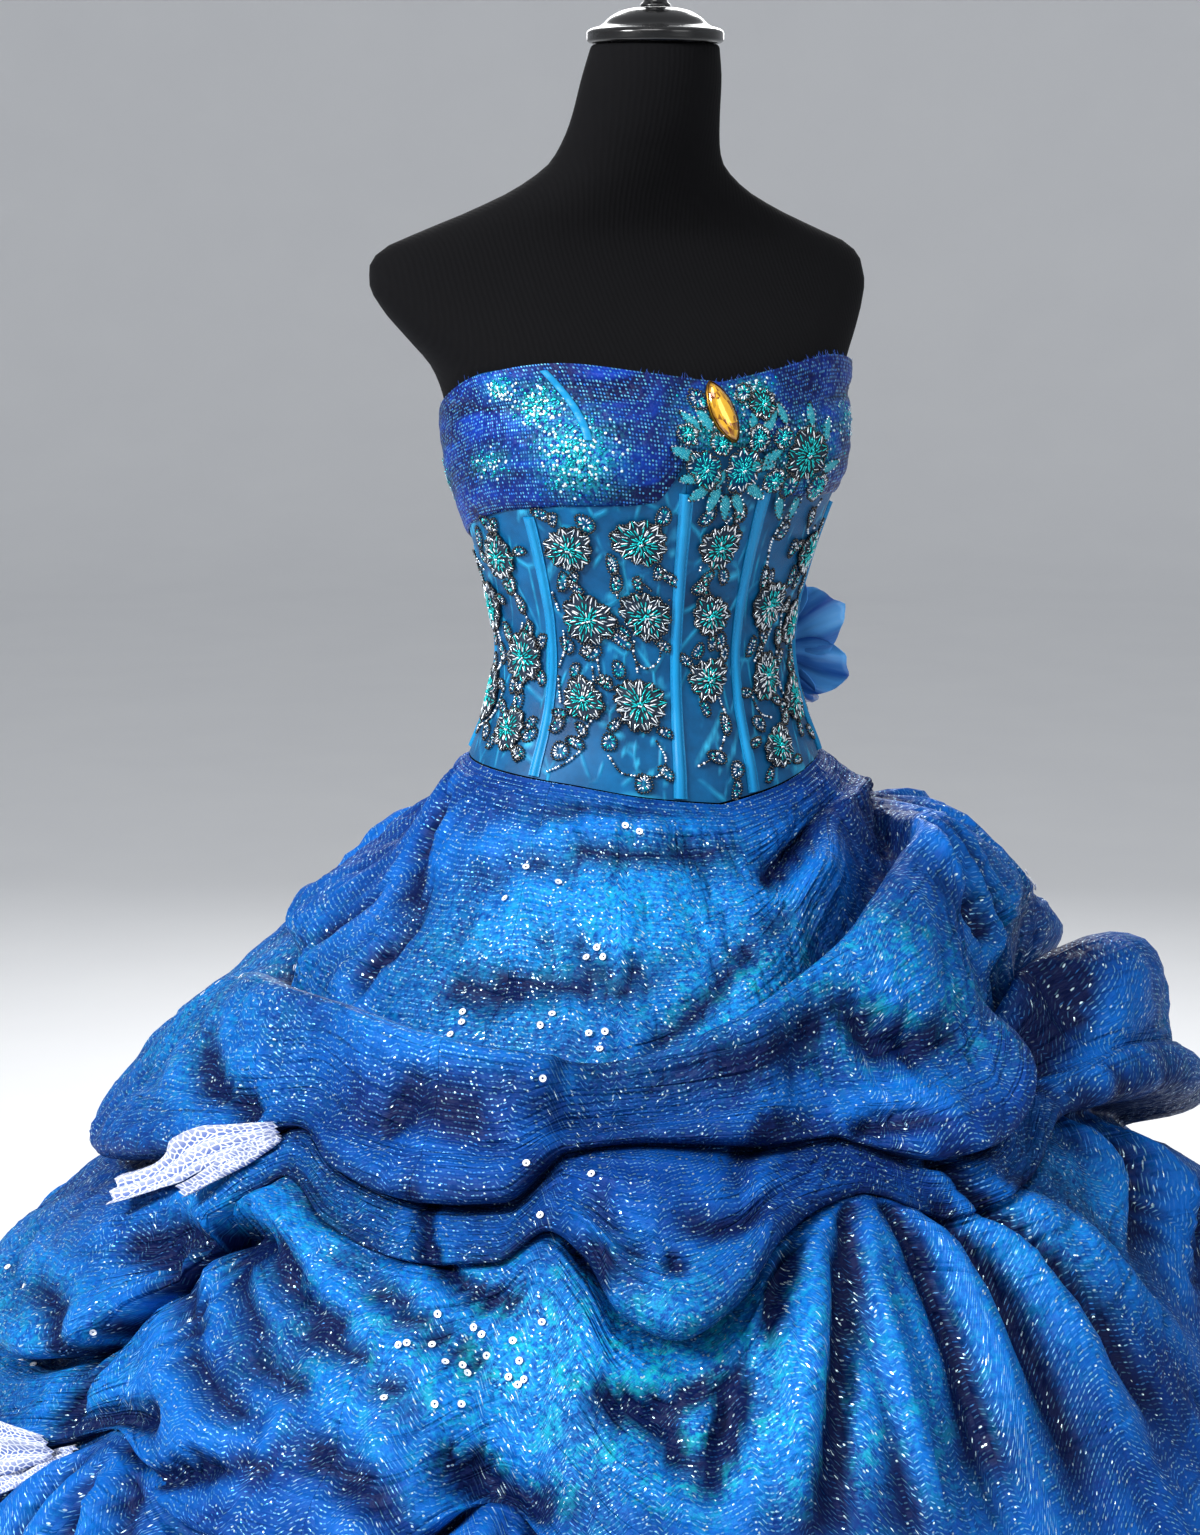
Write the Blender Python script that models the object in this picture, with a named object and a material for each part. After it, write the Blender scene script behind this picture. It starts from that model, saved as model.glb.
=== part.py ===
"""Strapless ball gown with a pick-up skirt, standing on a limbless dress form.

Metres, +Z up. The origin is the centre of the stand's underside, and the gown faces -Y.
An angle is measured round the body from the centre front, growing towards the wearer's left (+X).
"""

import math

import bmesh
import bpy
import numpy as np
from mathutils import Matrix, Vector
from mathutils.bvhtree import BVHTree

for old in list(bpy.data.objects):
    bpy.data.objects.remove(old)

# Cloth, seams and clearances
CLOTH = 0.0020
SKIRT_CLOTH = 0.0015
SEAM_GAP = 0.0003
EASE = 0.0010
LAID_GAP = 0.0008

# Body of the dress form: the smooth surface under the gown
TORSO = (
    # height, half width, front depth, back depth, centre y
    (0.820, 0.152, 0.112, 0.120, 0.000),
    (0.880, 0.158, 0.118, 0.126, 0.000),
    (0.940, 0.154, 0.117, 0.122, 0.000),
    (0.985, 0.145, 0.112, 0.114, 0.000),
    (1.015, 0.136, 0.107, 0.106, 0.000),
    (1.043, 0.1245, 0.099, 0.096, 0.000),
    (1.066, 0.1175, 0.094, 0.090, 0.000),
    (1.095, 0.1135, 0.091, 0.087, 0.000),
    (1.126, 0.1165, 0.094, 0.089, 0.000),
    (1.149, 0.1225, 0.099, 0.093, 0.000),
    (1.173, 0.1300, 0.105, 0.097, 0.000),
    (1.197, 0.1385, 0.112, 0.101, 0.000),
    (1.232, 0.1510, 0.119, 0.106, 0.000),
    (1.256, 0.1550, 0.119, 0.108, 0.000),
    (1.280, 0.1570, 0.114, 0.108, 0.001),
    (1.305, 0.1650, 0.107, 0.106, 0.004),
    (1.330, 0.1840, 0.094, 0.100, 0.014),
    (1.350, 0.1990, 0.082, 0.092, 0.024),
    (1.368, 0.2070, 0.072, 0.082, 0.031),
    (1.382, 0.2060, 0.064, 0.074, 0.034),
    (1.393, 0.1960, 0.058, 0.066, 0.035),
    (1.404, 0.1700, 0.053, 0.060, 0.034),
    (1.420, 0.1280, 0.050, 0.056, 0.029),
    (1.438, 0.0900, 0.048, 0.052, 0.021),
    (1.458, 0.0660, 0.048, 0.050, 0.012),
    (1.485, 0.0565, 0.050, 0.050, 0.001),
    (1.515, 0.0520, 0.050, 0.049, -0.008),
    (1.540, 0.0470, 0.046, 0.045, -0.014),
)
FORM_COLUMNS = 28
CUP = {"angle": 36.0, "height": 1.247, "across": 21.0, "up": 0.034, "rise": 0.010}

# Bodice edges and seams, as angles from the centre front
TOP_EDGE = (
    # angle, height
    (0.0, 1.298),
    (20.0, 1.306),
    (42.0, 1.313),
    (65.0, 1.308),
    (90.0, 1.290),
    (120.0, 1.262),
    (150.0, 1.246),
    (180.0, 1.242),
)
WAIST_EDGE = (
    # angle, height
    (0.0, 0.993),
    (22.0, 1.000),
    (50.0, 1.010),
    (90.0, 1.016),
    (180.0, 1.020),
)
SEAMS = (
    # name, angle, columns of the panel that ends there
    ("centre", 0.0, 0),
    ("front", 12.5, 2),
    ("side", 61.0, 7),
    ("back", 120.0, 8),
    ("centre_back", 180.0, 8),
)
SEAM = {name: angle for name, angle, columns in SEAMS}
# Rows of the bodice from the waist to the drape's lower edge, and from there to the neckline
LOW_ROWS = 6
DRAPE_ROWS = 4
DRAPE_LOW = (
    # angle, level on the bodice
    (0.0, 0.86),
    (10.0, 0.83),
    (22.0, 0.71),
    (45.0, 0.68),
    (120.0, 0.66),
    (180.0, 0.66),
)
DRAPE_END = 158.0
DRAPE_CLOTH = 0.0015
BONE = {"width": 0.008, "height": 0.0021, "clear": 0.0005, "short": 0.02}
PLACKET = {"width": 0.024, "height": 0.0018, "clear": 0.0005}

# Beaded flowers sewn on the bodice
FLOWERS = (
    # angle, level, radius
    (-49, 0.575, 0.0165),
    (-26, 0.610, 0.0190),
    (0, 0.620, 0.0150),
    (-45, 0.400, 0.0185),
    (-24, 0.430, 0.0175),
    (0, 0.450, 0.0140),
    (-76, 0.290, 0.0165),
    (0, 0.290, 0.0145),
    (-26, 0.210, 0.0190),
    (27, 0.080, 0.0155),
    (27, 0.430, 0.0175),
    (28, 0.250, 0.0160),
    (47, 0.160, 0.0160),
    (-47, 0.200, 0.0140),
    (-78, 0.100, 0.0140),
    (-80, 0.560, 0.0150),
    (48, 0.530, 0.0170),
    (48, 0.350, 0.0150),
    (75, 0.400, 0.0170),
    (78, 0.120, 0.0165),
    (-100, 0.440, 0.0180),
    (-104, 0.180, 0.0180),
    (138, 0.500, 0.0190),
    (150, 0.220, 0.0190),
    (-138, 0.300, 0.0190),
    (-152, 0.540, 0.0180),
)
DRAPE_FLOWERS = (
    # angle, level, radius, clearance
    (24, 0.800, 0.0200, 0.0018),
    (11, 0.930, 0.0120, 0.0010),
)
FLOWER = {"petals": 6, "rim": 0.0020, "crown": 0.0038, "notch": 0.80, "clear": 0.0009}

# Amber stone at the centre front, a pointed oval
STONE = {
    "angle": -1.5,
    "level": 0.930,
    "length": 0.046,
    "width": 0.019,
    "height": 0.0065,
    "lean": 17.0,
    "clear": 0.0006,
}

# Skirt: radius of the cloth where it is drawn in, by height
SKIRT_RADIUS = (
    # height, radius
    (0.000, 0.690),
    (0.120, 0.668),
    (0.240, 0.640),
    (0.360, 0.600),
    (0.500, 0.530),
    (0.620, 0.455),
    (0.690, 0.402),
    (0.750, 0.362),
    (0.800, 0.320),
    (0.850, 0.268),
    (0.900, 0.226),
    (0.950, 0.188),
    (0.985, 0.160),
    (1.015, 0.136),
)

# Each pick-up line is the seam of shadow between two rows of poufs, drawn up where the cloth is tacked.
# Rolled is 0 where the pouf above hangs over the line and 1 where the one below is folded up over it.
PICK_UPS = (
    (
        # angle, height, how far the cloth stands out, how far it hangs, how deep it is drawn in, rolled
        (-180, 0.905, 0.032, 0.016, 0.010, 0.0),
        (-152, 0.962, 0.008, 0.003, 0.006, 0.0),
        (-130, 0.888, 0.028, 0.012, 0.012, 0.0),
        (-112, 0.846, 0.040, 0.022, 0.014, 0.6),
        (-90, 0.842, 0.040, 0.022, 0.012, 1.0),
        (-72, 0.842, 0.036, 0.018, 0.010, 1.0),
        (-54, 0.836, 0.032, 0.016, 0.010, 1.0),
        (-40, 0.832, 0.032, 0.016, 0.010, 1.0),
        (-24, 0.842, 0.034, 0.018, 0.010, 1.0),
        (-11, 0.862, 0.040, 0.022, 0.012, 1.0),
        (2, 0.888, 0.046, 0.026, 0.014, 1.0),
        (14, 0.918, 0.050, 0.030, 0.016, 1.0),
        (30, 0.948, 0.046, 0.030, 0.016, 1.0),
        (50, 0.966, 0.036, 0.024, 0.014, 0.8),
        (64, 0.978, 0.022, 0.012, 0.010, 0.4),
        (76, 0.978, 0.008, 0.004, 0.006, 0.0),
        (98, 0.925, 0.024, 0.010, 0.012, 0.0),
        (118, 0.888, 0.040, 0.020, 0.014, 0.4),
        (146, 0.960, 0.008, 0.003, 0.006, 0.0),
    ),
    (
        (-180, 0.800, 0.040, 0.018, 0.012, 0.6),
        (-160, 0.850, 0.012, 0.004, 0.006, 0.0),
        (-136, 0.752, 0.042, 0.022, 0.014, 0.0),
        (-116, 0.712, 0.040, 0.026, 0.016, 0.0),
        (-98, 0.736, 0.036, 0.022, 0.016, 0.0),
        (-84, 0.764, 0.024, 0.014, 0.012, 0.0),
        (-75, 0.786, 0.008, 0.003, 0.006, 0.0),
        (-66, 0.772, 0.026, 0.014, 0.014, 0.0),
        (-54, 0.764, 0.036, 0.020, 0.014, 0.0),
        (-44, 0.768, 0.034, 0.018, 0.012, 0.0),
        (-38, 0.796, 0.020, 0.008, 0.012, 0.0),
        (-28, 0.802, 0.024, 0.010, 0.010, 0.0),
        (-14, 0.800, 0.026, 0.012, 0.010, 0.0),
        (-6, 0.800, 0.014, 0.006, 0.012, 0.0),
        (0, 0.790, 0.022, 0.012, 0.014, 0.0),
        (6, 0.780, 0.042, 0.022, 0.014, 0.0),
        (14, 0.782, 0.056, 0.028, 0.016, 0.0),
        (22, 0.806, 0.050, 0.024, 0.016, 0.0),
        (30, 0.832, 0.030, 0.012, 0.014, 0.4),
        (44, 0.838, 0.056, 0.024, 0.016, 1.0),
        (64, 0.828, 0.078, 0.030, 0.018, 0.8),
        (90, 0.800, 0.066, 0.026, 0.016, 0.0),
        (118, 0.856, 0.014, 0.005, 0.008, 0.0),
        (148, 0.768, 0.050, 0.024, 0.014, 0.3),
    ),
    (
        (-180, 0.660, 0.040, 0.022, 0.014, 0.0),
        (-150, 0.600, 0.050, 0.026, 0.016, 0.0),
        (-130, 0.680, 0.014, 0.005, 0.008, 0.0),
        (-110, 0.598, 0.044, 0.024, 0.016, 0.0),
        (-96, 0.602, 0.040, 0.022, 0.016, 0.0),
        (-87, 0.630, 0.034, 0.018, 0.016, 0.0),
        (-81, 0.680, 0.026, 0.012, 0.018, 0.0),
        (-77, 0.735, 0.014, 0.006, 0.012, 0.0),
        (-73, 0.758, 0.006, 0.002, 0.006, 0.0),
        (-64, 0.738, 0.014, 0.005, 0.008, 0.0),
        (-53, 0.727, 0.016, 0.006, 0.008, 0.0),
        (-44, 0.732, 0.014, 0.005, 0.008, 0.0),
        (-39, 0.752, 0.016, 0.006, 0.010, 0.0),
        (-35, 0.742, 0.034, 0.014, 0.016, 0.0),
        (-31, 0.712, 0.046, 0.020, 0.018, 0.0),
        (-26, 0.697, 0.050, 0.022, 0.018, 0.0),
        (-21, 0.712, 0.044, 0.018, 0.018, 0.0),
        (-15, 0.748, 0.028, 0.012, 0.018, 0.0),
        (-9, 0.762, 0.014, 0.005, 0.012, 0.0),
        (-4, 0.766, 0.006, 0.002, 0.008, 0.0),
        (6, 0.744, 0.012, 0.005, 0.008, 0.0),
        (18, 0.752, 0.012, 0.005, 0.008, 0.0),
        (30, 0.780, 0.026, 0.012, 0.012, 0.0),
        (42, 0.772, 0.050, 0.024, 0.016, 0.0),
        (56, 0.746, 0.064, 0.030, 0.016, 0.0),
        (74, 0.706, 0.066, 0.030, 0.016, 0.0),
        (98, 0.742, 0.016, 0.006, 0.008, 0.0),
        (128, 0.650, 0.050, 0.026, 0.016, 0.0),
        (156, 0.720, 0.014, 0.005, 0.008, 0.0),
    ),
    (
        (-180, 0.540, 0.020, 0.008, 0.010, 0.0),
        (-158, 0.470, 0.046, 0.024, 0.014, 0.0),
        (-136, 0.555, 0.014, 0.005, 0.008, 0.0),
        (-108, 0.500, 0.044, 0.026, 0.016, 0.0),
        (-88, 0.555, 0.026, 0.012, 0.012, 0.0),
        (-78, 0.592, 0.010, 0.004, 0.008, 0.0),
        (-66, 0.566, 0.030, 0.016, 0.014, 0.0),
        (-50, 0.560, 0.038, 0.020, 0.014, 0.0),
        (-41, 0.604, 0.014, 0.006, 0.016, 0.0),
        (-30, 0.540, 0.036, 0.018, 0.014, 0.0),
        (-16, 0.480, 0.044, 0.024, 0.014, 0.0),
        (0, 0.452, 0.046, 0.026, 0.014, 0.0),
        (16, 0.480, 0.042, 0.022, 0.014, 0.0),
        (32, 0.570, 0.014, 0.006, 0.010, 0.0),
        (58, 0.505, 0.050, 0.026, 0.016, 0.0),
        (84, 0.575, 0.014, 0.005, 0.008, 0.0),
        (112, 0.490, 0.050, 0.026, 0.016, 0.0),
        (140, 0.560, 0.014, 0.005, 0.008, 0.0),
        (162, 0.480, 0.044, 0.024, 0.014, 0.0),
    ),
    (
        (-180, 0.300, 0.040, 0.022, 0.014, 0.0),
        (-154, 0.370, 0.014, 0.005, 0.010, 0.0),
        (-128, 0.290, 0.044, 0.024, 0.014, 0.0),
        (-102, 0.375, 0.014, 0.005, 0.010, 0.0),
        (-78, 0.300, 0.044, 0.024, 0.014, 0.0),
        (-54, 0.370, 0.014, 0.005, 0.010, 0.0),
        (-30, 0.290, 0.044, 0.024, 0.014, 0.0),
        (-4, 0.350, 0.014, 0.005, 0.010, 0.0),
        (22, 0.280, 0.044, 0.024, 0.014, 0.0),
        (48, 0.370, 0.014, 0.005, 0.010, 0.0),
        (74, 0.300, 0.044, 0.024, 0.014, 0.0),
        (100, 0.375, 0.014, 0.005, 0.010, 0.0),
        (128, 0.290, 0.044, 0.024, 0.014, 0.0),
        (154, 0.370, 0.014, 0.005, 0.010, 0.0),
    ),
)
# How far each row of poufs is filled out near its top and at its middle, as a share of its stand-out
FULLNESS = (
    # top, middle
    (0.10, -0.40),
    (0.55, 1.10),
    (0.60, 0.95),
    (0.60, 0.95),
    (0.60, 0.95),
)
# Section through a pick-up line, for each of its control points: how far down the slope, as a share of
# the hang, and how far out of it, as a share of the stand-out; where the pouf above hangs over the line,
# where neither covers it, and where the one below is folded up over it
LIP = (
    # hanging down, hanging out, plain down, plain out, folded down, folded out
    (-0.90, 1.00, -1.30, 0.70, -1.60, 0.30),
    (0.60, 1.15, -0.80, 0.45, -0.60, 0.00),
    (0.90, 0.62, -0.40, 0.00, 0.80, -0.25),
    (-0.15, -0.12, 0.00, -0.45, 1.15, 0.25),
    (0.55, -0.16, 0.45, -0.05, -0.55, 0.95),
    (1.50, 0.14, 1.00, 0.35, 0.20, 1.25),
)
TUCK = 0.35
HEM = {"height": 0.005, "waves": 15, "depth": 0.020}
GORES = (
    # name, first angle, last angle, columns
    ("skirt_back_right", -180.0, -126.0, 8),
    ("skirt_side_right", -126.0, -54.0, 14),
    ("skirt_front", -54.0, 54.0, 24),
    ("skirt_side_left", 54.0, 126.0, 14),
    ("skirt_back_left", 126.0, 180.0, 8),
)
# Where rows of the wall cross each pouf, counted in control points from its top
ROW_STOPS = (
    (0.0, 1.2, 2.4, 3.6, 4.8, 6.0),
    (0.0, 1.2, 2.4, 3.4, 5.0, 6.0),
    (0.0, 1.2, 2.4, 3.4, 5.1),
    (0.0, 1.4, 3.1, 5.1),
    (0.0, 1.4, 3.1, 5.1),
)
HEM_STOPS = (0.6, 1.7)

# Largest folds, each along a curve through three places; lift is out of the skirt, or in where negative
FOLDS = (
    # start angle, start height, middle angle, middle height, end angle, end height, half width, lift
    (0, 0.935, 15, 0.952, 36, 0.970, 0.014, -0.012),
    (-80, 0.866, -84, 0.888, -78, 0.905, 0.014, -0.010),
    (-38, 0.820, -22, 0.826, 4, 0.848, 0.012, -0.012),
    (40, 0.952, 30, 0.912, 40, 0.871, 0.014, 0.014),
    (40, 0.945, 46, 0.905, 60, 0.845, 0.012, -0.014),
    (36, 0.825, 34, 0.808, 32, 0.796, 0.020, -0.022),
    (-6, 0.740, -8, 0.690, -7, 0.560, 0.016, 0.016),
    (-9, 0.735, -12, 0.670, -16, 0.570, 0.014, -0.018),
    (-2, 0.735, -1, 0.690, -1, 0.560, 0.014, -0.016),
    (2, 0.730, 4, 0.690, 6, 0.560, 0.016, 0.015),
    (6, 0.728, 10, 0.690, 14, 0.570, 0.014, -0.014),
    (8, 0.735, 16, 0.700, 22, 0.600, 0.018, 0.013),
    (38, 0.745, 37, 0.717, 32, 0.680, 0.013, -0.014),
    (-80, 0.722, -66, 0.695, -44, 0.644, 0.015, -0.014),
    (-76, 0.735, -60, 0.710, -43, 0.670, 0.018, 0.010),
    (-83, 0.680, -70, 0.643, -60, 0.610, 0.016, -0.020),
    (-84, 0.660, -72, 0.622, -62, 0.590, 0.018, 0.014),
    (-60, 0.700, -51, 0.688, -40, 0.650, 0.014, -0.010),
    (-46, 0.670, -43, 0.650, -38, 0.626, 0.016, -0.015),
    (-22, 0.670, -23, 0.640, -25, 0.590, 0.014, -0.014),
    (-90, 0.700, -84, 0.690, -83, 0.670, 0.018, -0.014),
)
# Folds that fan out below a tack, on the sides that the long folds above leave plain
FANS = (
    # tack angle, tack height, reach, folds, lift
    (-152, 0.962, 0.085, 4, 0.010),
    (76, 0.984, 0.075, 4, 0.009),
    (146, 0.960, 0.085, 4, 0.010),
    (-160, 0.850, 0.100, 5, 0.012),
    (118, 0.856, 0.110, 5, 0.012),
    (-130, 0.680, 0.110, 5, 0.012),
    (98, 0.742, 0.130, 5, 0.013),
    (156, 0.720, 0.120, 5, 0.013),
    (-136, 0.555, 0.140, 5, 0.014),
    (-78, 0.590, 0.140, 5, 0.013),
    (-41, 0.604, 0.140, 5, 0.013),
    (32, 0.570, 0.140, 5, 0.014),
    (84, 0.575, 0.140, 5, 0.014),
    (140, 0.560, 0.140, 5, 0.014),
    (-180, 0.540, 0.130, 5, 0.013),
    (-154, 0.370, 0.240, 5, 0.015),
    (-102, 0.375, 0.240, 5, 0.015),
    (-54, 0.370, 0.240, 5, 0.015),
    (-4, 0.350, 0.230, 5, 0.015),
    (48, 0.370, 0.240, 5, 0.015),
    (100, 0.375, 0.240, 5, 0.015),
    (154, 0.370, 0.240, 5, 0.015),
)
FAN_SPREAD = 92.0
FOLD_TILT = 25.0

# Ribbon ties, each a strip through places on the skirt
RIBBONS = (
    # name, start angle, start height, end angle, end height, width, lift at the tie
    ("ribbon_tie_side", -77.0, 0.778, -92.0, 0.722, 0.034, 0.0002),
    ("ribbon_tie_low", -84.0, 0.560, -96.0, 0.520, 0.036, -0.0006),
)
RIBBON = {"cloth": 0.0012, "clear": 0.005, "steps": 7}

# Satin rosette at the left side back of the waist
ROSETTE = {
    "angle": 99.0,
    "height": 1.085,
    "radius": 0.055,
    "cup": 0.024,
    "stand": 0.009,
    "cloth": 0.0020,
    "clear": 0.0014,
}
ROSE_HEART = {"radius": 0.016, "height": 0.020}

# Stand under the torso
POLE = {"radius": 0.016, "bottom": 0.0303, "top": 0.8197}
BASE = {"radius": 0.200, "height": 0.030}


def material(name, colour, roughness, metallic=0.0):
    """One Principled material; the colour is an sRGB hex value."""
    made = bpy.data.materials.new(name)
    made.use_nodes = True
    shader = made.node_tree.nodes["Principled BSDF"]
    srgb = [int(colour[i : i + 2], 16) / 255 for i in (0, 2, 4)]
    linear = [c / 12.92 if c <= 0.04045 else ((c + 0.055) / 1.055) ** 2.4 for c in srgb]
    shader.inputs["Base Color"].default_value = (*linear, 1.0)
    shader.inputs["Roughness"].default_value = roughness
    shader.inputs["Metallic"].default_value = metallic
    made.diffuse_color = (*linear, 1.0)
    return made


def add_object(name, mesh, finish, smooth_angle=35.0):
    """Puts a bmesh into the scene as one named, smooth-shaded object."""
    data = bpy.data.meshes.new(name)
    mesh.to_mesh(data)
    mesh.free()
    data.materials.append(finish)
    data.shade_smooth()
    if smooth_angle:
        data.set_sharp_from_angle(angle=math.radians(smooth_angle))
    made = bpy.data.objects.new(name, data)
    bpy.context.scene.collection.objects.link(made)
    return made


def curve_through(knots, values, at, period=None):
    """Smooth curve through a table's rows that never swings past a row (monotone cubic)."""
    knots = np.asarray(knots, float)
    values = np.asarray(values, float)
    at = np.asarray(at, float)
    if period:
        knots = np.concatenate([knots - period, knots, knots + period])
        values = np.tile(values, 3)
    step = np.diff(knots)
    slope = np.diff(values) / step
    bend = np.zeros(len(knots))
    same = slope[:-1] * slope[1:] > 0
    weight = np.where(same, slope[:-1] + slope[1:], 1.0)
    bend[1:-1] = np.where(same, 2 * slope[:-1] * slope[1:] / weight, 0.0)
    if not period:
        bend[0] = slope[0]
        bend[-1] = slope[-1]
    span = np.clip(np.searchsorted(knots, at) - 1, 0, len(step) - 1)
    t = np.clip((at - knots[span]) / step[span], 0.0, 1.0)
    start = (1 + 2 * t) * (1 - t) ** 2 * values[span] + t * (1 - t) ** 2 * step[span] * bend[span]
    end = t * t * (3 - 2 * t) * values[span + 1] - t * t * (1 - t) * step[span] * bend[span + 1]
    return start + end


def table_at(table, column, at):
    rows = np.asarray(table)
    return curve_through(rows[:, 0], rows[:, column], at)


def torso_point(angle, height, out=0.0):
    """Point on the body surface, moved out by a distance along the surface's normal."""
    here = torso_surface(angle, height)
    if out == 0.0:
        return here
    across = torso_surface(angle + 0.5, height) - torso_surface(angle - 0.5, height)
    up = torso_surface(angle, height + 0.002) - torso_surface(angle, height - 0.002)
    return here + across.cross(up).normalized() * out


def torso_surface(angle, height):
    half, front, back, centre = (float(table_at(TORSO, i, height)) for i in (1, 2, 3, 4))
    turn = math.radians(angle)
    depth = front if math.cos(turn) > 0 else back
    # Two soft cups, blended into the chest
    side = (abs((angle + 180) % 360 - 180) - CUP["angle"]) / CUP["across"]
    level = (height - CUP["height"]) / CUP["up"]
    cup = CUP["rise"] * math.exp(-side * side - level * level)
    return Vector(
        ((half + cup) * math.sin(turn), centre - (depth + cup) * math.cos(turn), height)
    )


def edge_height(table, angle):
    """Height of an edge that is the same on both sides of the body."""
    return float(table_at(table, 1, abs((angle + 180) % 360 - 180)))


def drape_level(angle):
    return edge_height(DRAPE_LOW, angle)


def row_level(angle, row):
    """Level of a row of the bodice; the rows above LOW_ROWS are also those of the drape."""
    turn = drape_level(angle)
    if row <= LOW_ROWS:
        return turn * row / LOW_ROWS
    return turn + (1.0 - turn) * (row - LOW_ROWS) / DRAPE_ROWS


def bodice_point(angle, level, out):
    """level 0 is the waist seam and 1 the neckline."""
    low = edge_height(WAIST_EDGE, angle)
    high = edge_height(TOP_EDGE, angle)
    return torso_point(angle, low + (high - low) * level, out)


def cloth_panel(name, columns, rows, place, thickness, finish):
    """Cloth wall on place(across, up, depth): across and up run from 0 to 1, depth is under the face."""
    mesh = bmesh.new()
    bmesh.ops.create_grid(mesh, x_segments=columns, y_segments=rows, size=0.5)
    spot = mesh.verts.layers.float_vector.new("spot")
    for vert in mesh.verts:
        vert[spot] = (vert.co.x + 0.5, vert.co.y + 0.5, 0.0)
        vert.co = place(vert[spot].x, vert[spot].y, 0.0)
    # Split before the wall is grown, so that both faces bend along the same lines
    bmesh.ops.triangulate(mesh, faces=mesh.faces, quad_method="SHORT_EDGE")
    inner = list(mesh.verts)
    bmesh.ops.extrude_face_region(mesh, geom=list(mesh.faces))
    for vert in inner:
        vert.co = place(vert[spot].x, vert[spot].y, thickness)
    bmesh.ops.triangulate(mesh, faces=mesh.faces, quad_method="SHORT_EDGE")
    bmesh.ops.recalc_face_normals(mesh, faces=mesh.faces)
    return add_object(name, mesh, finish, 70.0)


def surface_under(cloths):
    """Search tree of the pieces' outer walls, for laying something on them."""
    points, faces = [], []
    for cloth in cloths:
        first = len(points)
        points += [vert.co.copy() for vert in cloth.data.vertices]
        faces += [[first + corner for corner in face.vertices] for face in cloth.data.polygons]
    return BVHTree.FromPolygons(points, faces)


def columns_between(first, last):
    """Column angles of the panels, shared by all that is laid on the body."""
    half = [0.0]
    for (_, low, _), (_, high, columns) in zip(SEAMS, SEAMS[1:]):
        half += [low + (high - low) * (i + 1) / columns for i in range(columns)]
    every = [-angle for angle in reversed(half[1:])] + half
    return [first] + [angle for angle in every if first + 0.01 < angle < last - 0.01] + [last]


def seam_angle(angle, side):
    """An edge drawn back from a seam by half the gap; side is +1 at the panel's start."""
    return angle + side * math.degrees(0.5 * SEAM_GAP / 0.092)


def build_form(finish):
    """Jersey-covered torso, closed at the base and under the neck cap."""
    levels = [TORSO[0][0], 0.860, 0.900, 0.940, 0.970]
    bodice_rows = range(LOW_ROWS + DRAPE_ROWS + 1)
    upper = [row[0] for row in TORSO if row[0] > 1.320]
    mesh = bmesh.new()
    rings = []
    for kind, values in (("z", levels), ("bodice", bodice_rows), ("z", upper)):
        for value in values:
            ring = []
            for angle in np.linspace(-180.0, 180.0, FORM_COLUMNS + 1)[:-1]:
                if kind == "bodice":
                    point = bodice_point(angle, row_level(angle, value), 0.0)
                else:
                    point = torso_surface(angle, value)
                ring.append(mesh.verts.new(point))
            rings.append(ring)
    for ring in rings:
        for vert, after in zip(ring, ring[1:] + ring[:1]):
            mesh.edges.new((vert, after))
    for low, high in zip(rings, rings[1:]):
        edges = [mesh.edges.get((a, b)) for ring in (low, high) for a, b in zip(ring, ring[1:] + ring[:1])]
        bmesh.ops.bridge_loops(mesh, edges=edges)
    for ring in (rings[0], rings[-1]):
        mesh.faces.new(ring)
    bmesh.ops.recalc_face_normals(mesh, faces=mesh.faces)
    return add_object("form_torso", mesh, finish)


def turned(name, profile, finish, steps=32, place=None):
    """Solid turned round +Z from (radius, height) rows that start and end on the axis."""
    mesh = bmesh.new()
    verts = [mesh.verts.new((radius, 0.0, height)) for radius, height in profile]
    edges = [mesh.edges.new(pair) for pair in zip(verts, verts[1:])]
    bmesh.ops.spin(
        mesh,
        geom=verts + edges,
        axis=(0, 0, 1),
        cent=(0, 0, 0),
        steps=steps,
        angle=math.tau,
        use_merge=True,
    )
    bmesh.ops.remove_doubles(mesh, verts=mesh.verts, dist=0.00005)
    bmesh.ops.recalc_face_normals(mesh, faces=mesh.faces)
    if place:
        bmesh.ops.transform(mesh, matrix=place, verts=mesh.verts)
    return add_object(name, mesh, finish, 50.0)


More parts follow.
